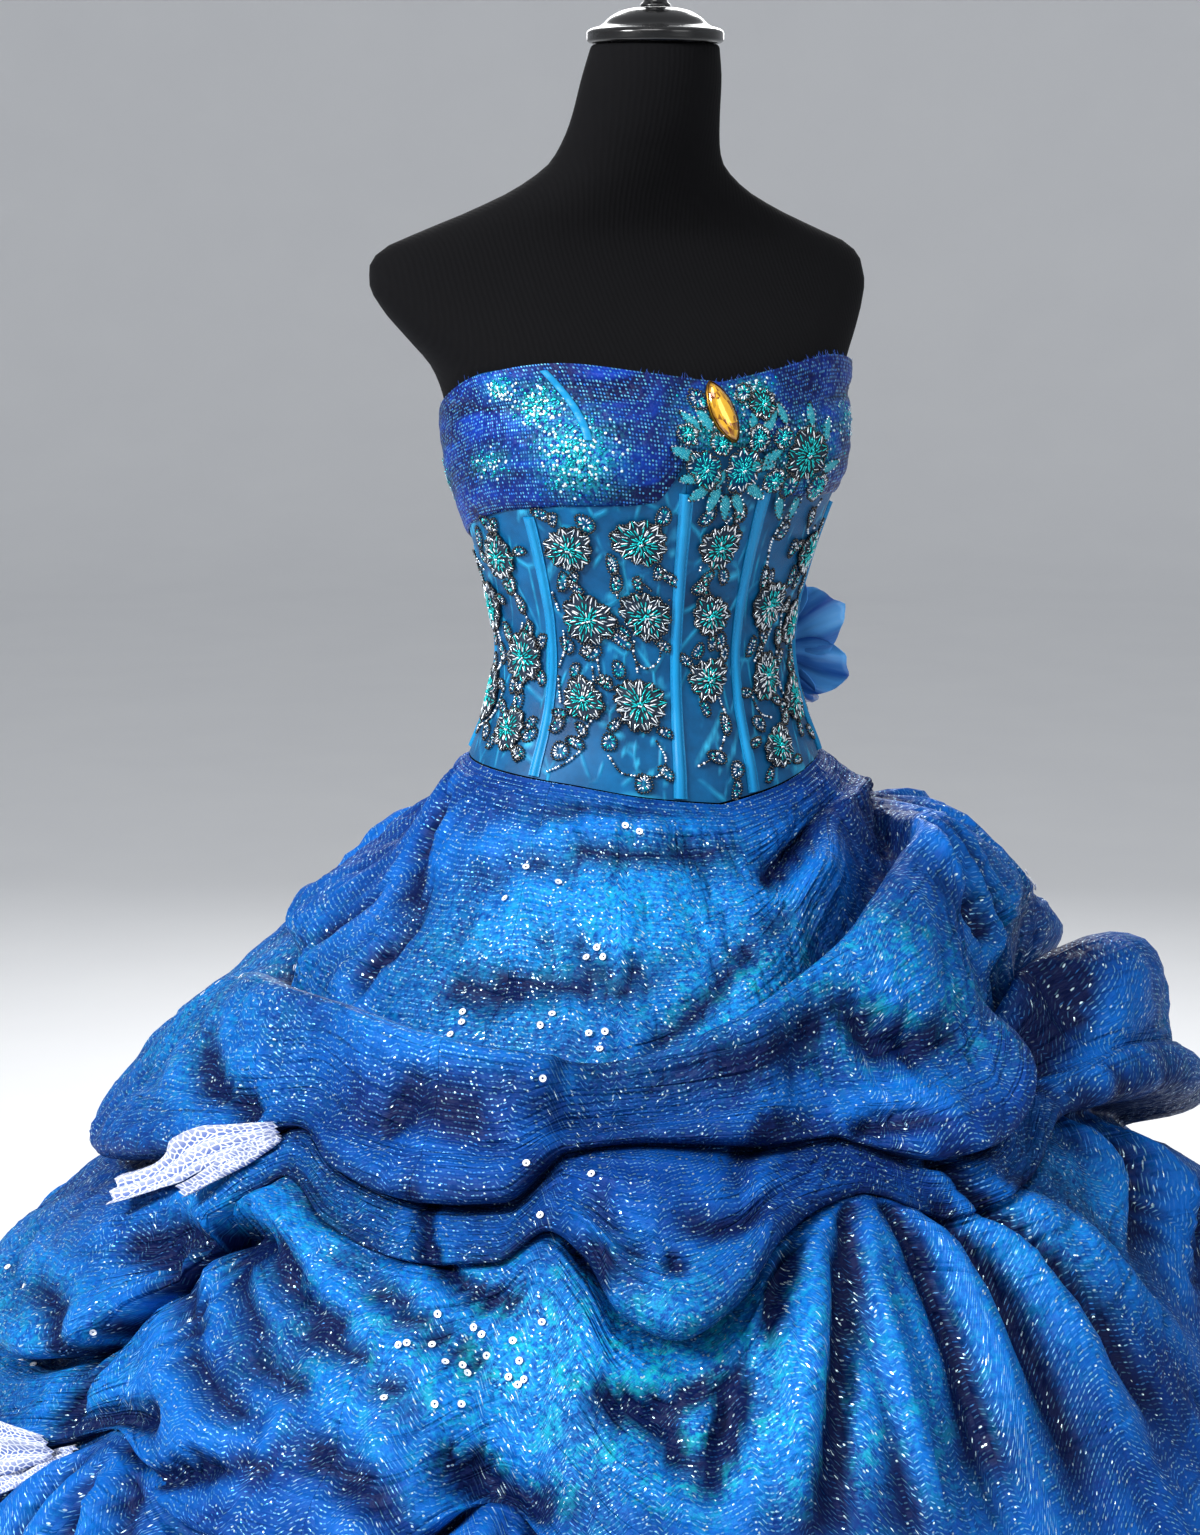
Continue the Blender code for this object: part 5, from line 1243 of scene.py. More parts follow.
# Vines and leaves: jet and silver-lined seeds strung in turn and couched down, with small beaded leaves.
spray_groups = []
for stops in VINES:
    angles = np.array(stops[0::2])
    levels = np.array(stops[1::2])
    knots = np.arange(len(angles), dtype=float)
    fine = np.linspace(0.0, knots[-1], 40 * len(knots))
    curve = bodice_point(
        curve_through(knots, angles, fine), curve_through(knots, levels, fine), flower_stand,
    )
    run = np.concatenate([[0.0], np.cumsum(np.linalg.norm(np.diff(curve, axis=0), axis=1))])
    at = np.interp(np.arange(0.0, run[-1], 2.02 * BEAD["seed"]), run, fine)
    here, there = curve_through(knots, angles, at), curve_through(knots, levels, at)
    free = clear_of_flowers(here, there)
    here, there = here[free], there[free]
    if len(here) == 0:
        continue
    middle = bodice_point(here, there, flower_stand + 0.6 * BEAD["seed"])
    places = np.tile(np.eye(4), (len(here), 1, 1))
    for i in range(3):
        places[:, i, i] = BEAD["seed"]
    places[:, :3, 3] = middle
    picks = np.array([sewing.choice((0, 0, 1, 1, 2)) for _ in here])
    for finish in (0, 1, 2):
        if (picks == finish).any():
            spray_groups.append((seed_bead, places[picks == finish], finish))
for angle, level, half, stretch, tilt in LEAVES:
    if clear_of_flowers(np.array([angle]), np.array([level]))[0]:
        spray_groups += motif_beads(
            on_cloth(angle, level, flower_stand - BEAD["pad"] * 0.6), half, 2, stretch, tilt, 1.0,
        )
# Leaves tucked round the flowers, touching their petals, so that each reads as one ragged cluster
TUCKED = {"each": 4, "half": 0.0036, "stretch": 1.9, "gap": 0.0022}
for a, l, radius, _, stretch, _ in FLOWERS:
    start = sewing.uniform(0.0, 1.0)
    spot = on_cloth(a, l, flower_stand)
    tall = 1.0 / (edge_at(TOP_EDGE, np.array([a])) - edge_at(WAIST_EDGE, np.array([a])))[0]
    for i in range(TUCKED["each"]):
        spin = math.tau * (i + start + sewing.uniform(-0.25, 0.25)) / TUCKED["each"]
        away = radius * BEAD["rim"] + TUCKED["gap"] + TUCKED["half"] * 0.6
        here = a + math.degrees(away * math.cos(spin) / BODY_RADIUS)
        there = l + away * stretch * math.sin(spin) * tall
        if 0.02 < there and clear_of_flowers(np.array([here]), np.array([there]))[0]:
            lean = math.degrees(spin) + sewing.choice((55.0, 90.0, 125.0))
            spray_groups += motif_beads(
                on_cloth(here, there, flower_stand - BEAD["pad"] * 0.6), TUCKED["half"], 2,
                TUCKED["stretch"], lean, 0.8,
            )
sprays = sewn("beaded_vines_and_leaves", spray_groups, bead_finishes)


# Centre front: an amber glass stone, pointed at both ends and cut in facets, foiled behind and held in
# a thin antique gold rim. Turquoise lace leaves, small beaded flowers and loose sequins are sewn round it.
STONE = {"angle": -1.5, "level": 0.930, "length": 0.046, "width": 0.019, "height": 0.0065, "lean": 17.0}
STONE_CUT = (
    # size as a share of the girdle, height as a share of the stone, turned by half a facet
    (0.86, 0.00, 0),
    (1.00, 0.28, 0),
    (1.00, 0.36, 0),
    (0.86, 0.66, 1),
    (0.66, 0.90, 0),
    (0.46, 1.00, 1),
)
STONE_FACETS = 16
STONE_RIM = (
    # how far outside the stone's girdle, height
    (0.0002, 0.0003),
    (0.0012, 0.0003),
    (0.0012, 0.0019),
    (0.0006, 0.0026),
    (0.0002, 0.0022),
)
SMALL_FLOWERS = (
    # angle, level, radius, petals, height over width, tilt in degrees
    (3.5, 0.800, 0.0160, 8, 1.00, 0.0),
    (-8.0, 0.800, 0.0140, 7, 1.05, 30.0),
    (-3.0, 0.860, 0.0090, 6, 1.00, 0.0),
    (8.5, 0.860, 0.0095, 7, 1.10, -20.0),
    (-12.5, 0.870, 0.0085, 6, 1.00, 15.0),
    (13.5, 0.760, 0.0100, 7, 0.90, 40.0),
    (16.0, 0.850, 0.0085, 6, 1.00, 0.0),
    (19.0, 0.740, 0.0080, 6, 1.20, -40.0),
    (30.0, 0.720, 0.0110, 7, 1.00, 20.0),
    (-8.0, 0.950, 0.0075, 6, 1.20, 60.0),
    (5.5, 0.965, 0.0070, 6, 1.10, -40.0),
)
LACE_LEAVES = (
    # angle, level, half length, half width, way it points in degrees from the wearer's left
    (-5.0, 0.735, 0.0110, 0.0042, 250.0),
    (-9.5, 0.745, 0.0100, 0.0040, 215.0),
    (-12.0, 0.775, 0.0100, 0.0040, 190.0),
    (-14.0, 0.830, 0.0105, 0.0042, 165.0),
    (-11.0, 0.900, 0.0095, 0.0038, 140.0),
    (-7.0, 0.910, 0.0105, 0.0042, 120.0),
    (-1.0, 0.720, 0.0100, 0.0040, 275.0),
    (3.0, 0.725, 0.0095, 0.0038, 300.0),
    (8.0, 0.745, 0.0100, 0.0040, 320.0),
    (10.0, 0.800, 0.0105, 0.0042, 350.0),
    (13.0, 0.815, 0.0095, 0.0038, 20.0),
    (13.0, 0.890, 0.0100, 0.0040, 45.0),
    (8.0, 0.905, 0.0090, 0.0036, 60.0),
    (18.0, 0.690, 0.0100, 0.0040, 290.0),
    (24.0, 0.680, 0.0095, 0.0038, 265.0),
    (34.0, 0.760, 0.0100, 0.0040, 10.0),
    (32.0, 0.840, 0.0095, 0.0038, 55.0),
    (17.0, 0.900, 0.0090, 0.0036, 110.0),
    (27.0, 0.880, 0.0095, 0.0038, 80.0),
    (-3.5, 0.780, 0.0085, 0.0036, 235.0),
)


def amber_finish():
    """Amber glass over gold foil, with facets painted bright yellow at random as a painted highlight, and
    painted shade in deep brown round its lower edge.
    """
    made, tree, shader = finish_named(
        "amber glass over foil", roughness=0.05, metallic=0.35, coat_weight=1.0, coat_roughness=0.02,
    )
    facet = add(tree, "Attribute", attribute_name="facet").outputs["Fac"]
    rim = add(tree, "Attribute", attribute_name="rim").outputs["Fac"]
    where = add(tree, "TexCoord").outputs["Object"]
    # Painted highlight: facets painted bright yellow by a random value each, with painted sparkle over them
    painted_sparkle = add(tree, "TexNoise", {"Vector": where, "Scale": 260.0, "Detail": 2.0, "Roughness": 0.7})
    glow = add(tree, "Math", {0: painted_sparkle, 1: 0.45, 2: facet}, operation="MULTIPLY_ADD")
    lit = add(tree, "MapRange", {"Value": glow, "From Min": 0.25, "From Max": 1.15})
    inside = add(
        tree, "Mix", {"Factor": lit, "A": linear("7A3B02"), "B": linear("FFC22E")}, data_type="RGBA",
    )
    # Painted shade: the lower half of the stone, round its edge, is painted deep brown
    colour = add(tree, "Mix", {"Factor": rim, "A": inside, "B": linear("3E1C04")}, data_type="RGBA")
    wire(tree, shader, {"Base Color": colour})
    return made


stone_out = outside + DRAPE["laid"] + DRAPE["cloth"] + 1.6 * DRAPE["gather"]
centre = Vector(bodice_point(STONE["angle"], STONE["level"], stone_out))
stone_normal = (Vector(bodice_point(STONE["angle"], STONE["level"], stone_out + 0.01)) - centre).normalized()
stone_side = Vector((0, 0, 1)).cross(stone_normal).normalized()
lean = Matrix.Rotation(math.radians(STONE["lean"]), 3, stone_normal)
stone_side, stone_up = lean @ stone_side, lean @ stone_normal.cross(stone_side)


def stone_ring(mesh, share, rise, half_turned=0, widen=0.0):
    """One ring of a pointed oval, its corners closer together at the points."""
    corners = []
    for i in range(STONE_FACETS):
        sweep = math.tau * (i + 0.5 * half_turned) / STONE_FACETS
        pinch = math.copysign(abs(math.cos(sweep)) ** 1.35, math.cos(sweep))
        across = (STONE["width"] / 2 * share + widen) * pinch
        along = (STONE["length"] / 2 * share + widen) * math.sin(sweep)
        corners.append(mesh.verts.new(centre + stone_side * across + stone_up * along + stone_normal * rise))
    return corners


mesh = bmesh.new()
lofted(mesh, [stone_ring(mesh, share, rise * STONE["height"], half) for share, rise, half in STONE_CUT])
bmesh.ops.triangulate(mesh, faces=[face for face in mesh.faces if len(face.verts) == 4])
bmesh.ops.recalc_face_normals(mesh, faces=mesh.faces)
data = bpy.data.meshes.new("amber_stone_cut")
mesh.to_mesh(data)
mesh.free()
# Painted highlight: a random brightness for each facet
facets = data.attributes.new("facet", "FLOAT", "FACE")
facets.data.foreach_set("value", [sewing.random() for _ in data.polygons])
# Painted shade: marks the lower half of the stone, which is painted deep brown
rims = data.attributes.new("rim", "FLOAT", "POINT")
rises = [(vert.co - centre).dot(stone_normal) for vert in data.vertices]
rims.data.foreach_set("value", [1.0 if rise < 0.5 * STONE["height"] else 0.0 for rise in rises])
stone = place_piece("amber_stone_cut", data, [amber_finish()])
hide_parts("amber_stone")
gold = plain_finish("antique gold plate", base_color=linear("8A6424"), metallic=1.0, roughness=0.34)
mesh = bmesh.new()
lofted(mesh, [stone_ring(mesh, 1.0, rise, 0, wide) for wide, rise in STONE_RIM], closed=True)
bmesh.ops.recalc_face_normals(mesh, faces=mesh.faces)
add_piece("stone_gold_rim", mesh, [gold], 50.0)


def lace_finish():
    """Turquoise lace worked in satin stitch: fine raised threads along each leaf, with foil dust between."""
    made, tree, shader = finish_named("turquoise satin stitch lace", roughness=0.45, specular_ior_level=0.4)
    where = add(tree, "TexCoord").outputs["Object"]
    # Stitches of 0.4 mm, drawn at 0.8 mm to show
    stitch = add(
        tree, "TexWave", {"Vector": where, "Scale": 400.0, "Distortion": 3.0}, bands_direction="DIAGONAL",
    )
    dust = add(tree, "TexVoronoi", {"Vector": where, "Scale": 900.0})
    glint = add(
        tree, "MapRange", {"Value": dust, "From Min": 0.1, "From Max": 0.35, "To Min": 1.0, "To Max": 0.0},
    )
    colour = add(
        tree, "Mix", {"Factor": stitch.outputs["Fac"], "A": linear("086A8C"), "B": linear("1FB6C6")},
        data_type="RGBA",
    )
    dusted = add(tree, "Mix", {"Factor": glint, "A": colour, "B": linear("A8FFF4")}, data_type="RGBA")
    bump = add(tree, "Bump", {"Height": stitch.outputs["Fac"], "Strength": 0.5, "Distance": 0.0003})
    wire(tree, shader, {"Base Color": dusted, "Normal": bump})
    return made


leaf_shape = bmesh.new()
bmesh.ops.create_grid(leaf_shape, x_segments=6, y_segments=2, size=1.0)
for vert in leaf_shape.verts:
    taper = math.sqrt(max(0.0, 1.0 - vert.co.x ** 2)) * (1.0 - 0.25 * vert.co.x)
    vert.co = (vert.co.x, vert.co.y * taper, 0.8 - 0.8 * abs(vert.co.y) + 0.3 * vert.co.x)
bmesh.ops.remove_doubles(leaf_shape, verts=leaf_shape.verts, dist=0.001)
bmesh.ops.solidify(leaf_shape, geom=list(leaf_shape.faces), thickness=0.5)
bmesh.ops.recalc_face_normals(leaf_shape, faces=leaf_shape.faces)
leaf_shape.verts.index_update()
lace_groups = []
for angle, level, half, width, way in LACE_LEAVES:
    spot = on_cloth(angle, level, stone_out)
    zero = np.zeros(1)
    leaf = sewn_at(spot, zero, zero, zero + 0.0002, zero + math.radians(way), (half, width, 0.0012))
    lace_groups.append((leaf_shape, leaf, 0))
    # Each leaf is edged with a row of jet and silver-lined seeds
    turn = np.linspace(0.0, math.tau, 15, endpoint=False)
    lean = math.radians(way)
    x, y = turned_by(lean, half * np.cos(turn), width * np.sin(turn) * (1.0 - 0.25 * np.cos(turn)))
    edge = sewn_at(spot, x, y, 0 * x + 0.0012, 0 * x, (0.0009,) * 3)
    picks = np.array([sewing.random() < 0.55 for _ in turn])
    lace_groups += [(seed_bead, edge[picks], 1), (seed_bead, edge[~picks], 2)]
lace = sewn("centre_lace_leaves", lace_groups, [lace_finish(), jet, lined], 40.0)
centre_groups = []
for angle, level, radius, petals, stretch, tilt in SMALL_FLOWERS:
    centre_groups += motif_beads(on_cloth(angle, level, stone_out), radius, petals, stretch, tilt, 1.8)
sewn("centre_beaded_cluster", centre_groups, bead_finishes)


# Loose sequins on the bust: thin flakes of foil, 2.6 mm across, thickest over the lace patches.
SEQUIN = {"radius": 0.0013, "corners": 6, "each_patch": 150, "tilt": 0.45}
iris = plain_finish(
    "clear iridescent sequin foil", base_color=linear("DDF6FF"), roughness=0.14, metallic=0.55,
)
teal_foil = plain_finish("turquoise sequin foil", base_color=linear("1CB9C6"), roughness=0.16, metallic=0.8)
disc = bmesh.new()
bmesh.ops.create_cone(
    disc, cap_ends=True, cap_tris=True, segments=SEQUIN["corners"], radius1=1.0, radius2=0.55, depth=0.30,
)
disc.verts.index_update()
flake_groups = []
for angle, level, wide, high, strength in DRAPE_PATCHES:
    count = int(SEQUIN["each_patch"] * strength * math.sqrt(wide * high / 0.3))
    for _ in range(count):
        a, l = sewing.gauss(angle, wide * 0.55), min(0.985, sewing.gauss(level, high * 0.55))
        if l < drape_level(a) + 0.02 or abs(a) < 1.0:
            continue
        stand, _ = drape_out(np.array([a]), np.array([l]))
        spot = on_cloth(a, l, float(stand[0]) + 0.0006)
        zero = np.zeros(1)
        place = sewn_at(
            spot, zero, zero, zero, zero + sewing.uniform(0, 3),
            (SEQUIN["radius"], SEQUIN["radius"], 0.0007),
        )
        lean_x, lean_y = sewing.uniform(-1, 1) * SEQUIN["tilt"], sewing.uniform(-1, 1) * SEQUIN["tilt"]
        tip = Matrix.Rotation(lean_x, 4, "X") @ Matrix.Rotation(lean_y, 4, "Y")
        place[0] = place[0] @ np.array(tip)
        flake_groups.append((disc, place, 1 if sewing.random() < 0.62 else 0))
sewn("bust_sequins", flake_groups, [iris, teal_foil])


# Raw edge of the neckline: fine threads fray out of the mesh, most at the wearer's left and by the stone.
FRAY = {"threads": 110, "shortest": 0.002, "longest": 0.007, "radius": 0.00013}
fray_groups = []
for _ in range(FRAY["threads"]):
    angle = sewing.choice((sewing.gauss(34.0, 16.0), sewing.gauss(-4.0, 8.0), sewing.uniform(-150.0, 150.0)))
    top = Vector(bodice_point(angle, 0.996, outside + 0.0012))
    away = (Vector(bodice_point(angle, 0.996, outside + 0.02)) - top).normalized()
    upwards = Vector((sewing.gauss(0, 0.6), sewing.gauss(0, 0.3), 1.0)).normalized()
    along = upwards + away * sewing.uniform(0.0, 0.5)
    length = sewing.uniform(FRAY["shortest"], FRAY["longest"])
    place = laid(
        top + along.normalized() * length * 0.45, along, away, (length / 2, FRAY["radius"], FRAY["radius"]),
    )
    fray_groups.append((bugle_bead, [place], 0))
fray_thread = plain_finish("frayed blue polyester thread", base_color=linear("1C4FB0"), roughness=0.5)
sewn("neckline_frayed_threads", fray_groups, [fray_thread])


# Skirt: five gores of azure glitter mesh over satin, sewn together and picked up at tacks, so that it
# hangs in five rows of poufs over a plain flounce. Where it is caught, the poufs roll over each other.
# Radius of the cloth where it is drawn in, by height
SKIRT_RADIUS = (
    # height, radius
    (0.000, 0.690),
    (0.120, 0.668),
    (0.240, 0.640),
    (0.360, 0.600),
    (0.500, 0.530),
    (0.620, 0.455),
    (0.690, 0.402),
    (0.750, 0.362),
    (0.800, 0.320),
    (0.850, 0.268),
    (0.900, 0.226),
    (0.950, 0.188),
    (0.985, 0.160),
    (1.015, 0.136),
)

# Each pick-up line is the seam of shadow between two rows of poufs, drawn up where the cloth is tacked.
# Rolled is 0 where the pouf above hangs over the line and 1 where the one below is folded up over it.
PICK_UPS = (
    (
        # angle, height, how far the cloth stands out, how far it hangs, how deep it is drawn in, rolled
        (-180, 0.905, 0.032, 0.016, 0.010, 0.0),
        (-152, 0.962, 0.008, 0.003, 0.006, 0.0),
        (-130, 0.888, 0.028, 0.012, 0.012, 0.0),
        (-112, 0.846, 0.040, 0.022, 0.014, 0.6),
        (-90, 0.842, 0.040, 0.022, 0.012, 1.0),
        (-72, 0.842, 0.036, 0.018, 0.010, 1.0),
        (-54, 0.836, 0.032, 0.016, 0.010, 1.0),
        (-40, 0.832, 0.032, 0.016, 0.010, 1.0),
        (-24, 0.842, 0.034, 0.018, 0.010, 1.0),
        (-11, 0.862, 0.040, 0.022, 0.012, 1.0),
        (2, 0.888, 0.046, 0.026, 0.014, 1.0),
        (14, 0.918, 0.050, 0.030, 0.016, 1.0),
        (30, 0.948, 0.046, 0.030, 0.016, 1.0),
        (50, 0.966, 0.036, 0.024, 0.014, 0.8),
        (64, 0.978, 0.022, 0.012, 0.010, 0.4),
        (76, 0.978, 0.008, 0.004, 0.006, 0.0),
        (98, 0.925, 0.024, 0.010, 0.012, 0.0),
        (118, 0.888, 0.040, 0.020, 0.014, 0.4),
        (146, 0.960, 0.008, 0.003, 0.006, 0.0),
    ),
    (
        (-180, 0.800, 0.040, 0.018, 0.012, 0.6),
        (-160, 0.850, 0.012, 0.004, 0.006, 0.0),
        (-136, 0.752, 0.042, 0.022, 0.014, 0.0),
        (-116, 0.712, 0.040, 0.026, 0.016, 0.0),
        (-98, 0.736, 0.036, 0.022, 0.016, 0.0),
        (-84, 0.764, 0.024, 0.014, 0.012, 0.0),
        (-75, 0.786, 0.008, 0.003, 0.006, 0.0),
        (-66, 0.772, 0.026, 0.014, 0.014, 0.0),
        (-54, 0.764, 0.036, 0.020, 0.014, 0.0),
        (-44, 0.768, 0.034, 0.018, 0.012, 0.0),
        (-38, 0.796, 0.020, 0.008, 0.012, 0.0),
        (-28, 0.802, 0.024, 0.010, 0.010, 0.0),
        (-14, 0.800, 0.026, 0.012, 0.010, 0.0),
        (-6, 0.800, 0.014, 0.006, 0.012, 0.0),
        (0, 0.790, 0.022, 0.012, 0.014, 0.0),
        (6, 0.780, 0.042, 0.022, 0.014, 0.0),
        (14, 0.782, 0.056, 0.028, 0.016, 0.0),
        (22, 0.806, 0.050, 0.024, 0.016, 0.0),
        (30, 0.832, 0.030, 0.012, 0.014, 0.4),
        (44, 0.838, 0.056, 0.024, 0.016, 1.0),
        (64, 0.828, 0.078, 0.030, 0.018, 0.8),
        (90, 0.800, 0.066, 0.026, 0.016, 0.0),
        (118, 0.856, 0.014, 0.005, 0.008, 0.0),
        (148, 0.768, 0.050, 0.024, 0.014, 0.3),
    ),
    (
        (-180, 0.660, 0.040, 0.022, 0.014, 0.0),
        (-150, 0.600, 0.050, 0.026, 0.016, 0.0),
        (-130, 0.680, 0.014, 0.005, 0.008, 0.0),
        (-110, 0.598, 0.044, 0.024, 0.016, 0.0),
        (-96, 0.602, 0.040, 0.022, 0.016, 0.0),
        (-87, 0.630, 0.034, 0.018, 0.016, 0.0),
        (-81, 0.680, 0.026, 0.012, 0.018, 0.0),
        (-77, 0.735, 0.014, 0.006, 0.012, 0.0),
        (-73, 0.758, 0.006, 0.002, 0.006, 0.0),
        (-64, 0.738, 0.014, 0.005, 0.008, 0.0),
        (-53, 0.727, 0.016, 0.006, 0.008, 0.0),
        (-44, 0.732, 0.014, 0.005, 0.008, 0.0),
        (-39, 0.752, 0.016, 0.006, 0.010, 0.0),
        (-35, 0.742, 0.034, 0.014, 0.016, 0.0),
        (-31, 0.712, 0.046, 0.020, 0.018, 0.0),
        (-26, 0.697, 0.050, 0.022, 0.018, 0.0),
        (-21, 0.712, 0.044, 0.018, 0.018, 0.0),
        (-15, 0.748, 0.028, 0.012, 0.018, 0.0),
        (-9, 0.762, 0.014, 0.005, 0.012, 0.0),
        (-4, 0.766, 0.006, 0.002, 0.008, 0.0),
        (6, 0.744, 0.012, 0.005, 0.008, 0.0),
        (18, 0.752, 0.012, 0.005, 0.008, 0.0),
        (30, 0.780, 0.026, 0.012, 0.012, 0.0),
        (42, 0.772, 0.050, 0.024, 0.016, 0.0),
        (56, 0.746, 0.064, 0.030, 0.016, 0.0),
        (74, 0.706, 0.066, 0.030, 0.016, 0.0),
        (98, 0.742, 0.016, 0.006, 0.008, 0.0),
        (128, 0.650, 0.050, 0.026, 0.016, 0.0),
        (156, 0.720, 0.014, 0.005, 0.008, 0.0),
    ),
    (
        (-180, 0.540, 0.020, 0.008, 0.010, 0.0),
        (-158, 0.470, 0.046, 0.024, 0.014, 0.0),
        (-136, 0.555, 0.014, 0.005, 0.008, 0.0),
        (-108, 0.500, 0.044, 0.026, 0.016, 0.0),
        (-88, 0.555, 0.026, 0.012, 0.012, 0.0),
        (-78, 0.592, 0.010, 0.004, 0.008, 0.0),
        (-66, 0.566, 0.030, 0.016, 0.014, 0.0),
        (-50, 0.560, 0.038, 0.020, 0.014, 0.0),
        (-41, 0.604, 0.014, 0.006, 0.016, 0.0),
        (-30, 0.540, 0.036, 0.018, 0.014, 0.0),
        (-16, 0.480, 0.044, 0.024, 0.014, 0.0),
        (0, 0.452, 0.046, 0.026, 0.014, 0.0),
        (16, 0.480, 0.042, 0.022, 0.014, 0.0),
        (32, 0.570, 0.014, 0.006, 0.010, 0.0),
        (58, 0.505, 0.050, 0.026, 0.016, 0.0),
        (84, 0.575, 0.014, 0.005, 0.008, 0.0),
        (112, 0.490, 0.050, 0.026, 0.016, 0.0),
        (140, 0.560, 0.014, 0.005, 0.008, 0.0),
        (162, 0.480, 0.044, 0.024, 0.014, 0.0),
    ),
    (
        (-180, 0.300, 0.040, 0.022, 0.014, 0.0),
        (-154, 0.370, 0.014, 0.005, 0.010, 0.0),
        (-128, 0.290, 0.044, 0.024, 0.014, 0.0),
        (-102, 0.375, 0.014, 0.005, 0.010, 0.0),
        (-78, 0.300, 0.044, 0.024, 0.014, 0.0),
        (-54, 0.370, 0.014, 0.005, 0.010, 0.0),
        (-30, 0.290, 0.044, 0.024, 0.014, 0.0),
        (-4, 0.350, 0.014, 0.005, 0.010, 0.0),
        (22, 0.280, 0.044, 0.024, 0.014, 0.0),
        (48, 0.370, 0.014, 0.005, 0.010, 0.0),
        (74, 0.300, 0.044, 0.024, 0.014, 0.0),
        (100, 0.375, 0.014, 0.005, 0.010, 0.0),
        (128, 0.290, 0.044, 0.024, 0.014, 0.0),
        (154, 0.370, 0.014, 0.005, 0.010, 0.0),
    ),
)
# How far each row of poufs is filled out near its top and at its middle, as a share of its stand-out
FULLNESS = (
    # top, middle
    (0.10, -0.40),
    (0.55, 1.10),
    (0.60, 0.95),
    (0.60, 0.95),
    (0.60, 0.95),
)
# Section through a pick-up line, for each of its control points: how far down the slope, as a share of
# the hang, and how far out of it, as a share of the stand-out; where the pouf above hangs over the line,
# where neither covers it, and where the one below is folded up over it
LIP = (
    # hanging down, hanging out, plain down, plain out, folded down, folded out
    (-0.90, 1.00, -1.30, 0.70, -1.60, 0.30),
    (0.60, 1.15, -0.80, 0.45, -0.60, 0.00),
    (0.90, 0.62, -0.40, 0.00, 0.80, -0.25),
    (-0.15, -0.12, 0.00, -0.45, 1.15, 0.25),
    (0.55, -0.16, 0.45, -0.05, -0.55, 0.95),
    (1.50, 0.14, 1.00, 0.35, 0.20, 1.25),
)
TUCK = 0.35
HEM = {"height": 0.005, "waves": 15, "depth": 0.020}
SKIRT_CLOTH = 0.0015
SKIRT_ROWS = 204
GORES = (
    # name, first angle, last angle, columns, flat width, flat length
    ("skirt_back_right", -180.0, -126.0, 66, 0.58, 1.25),
    ("skirt_side_right", -126.0, -54.0, 126, 0.78, 1.25),
    ("skirt_front", -54.0, 54.0, 216, 1.20, 1.25),
    ("skirt_side_left", 54.0, 126.0, 120, 0.78, 1.25),
    ("skirt_back_left", 126.0, 180.0, 66, 0.58, 1.25),
)
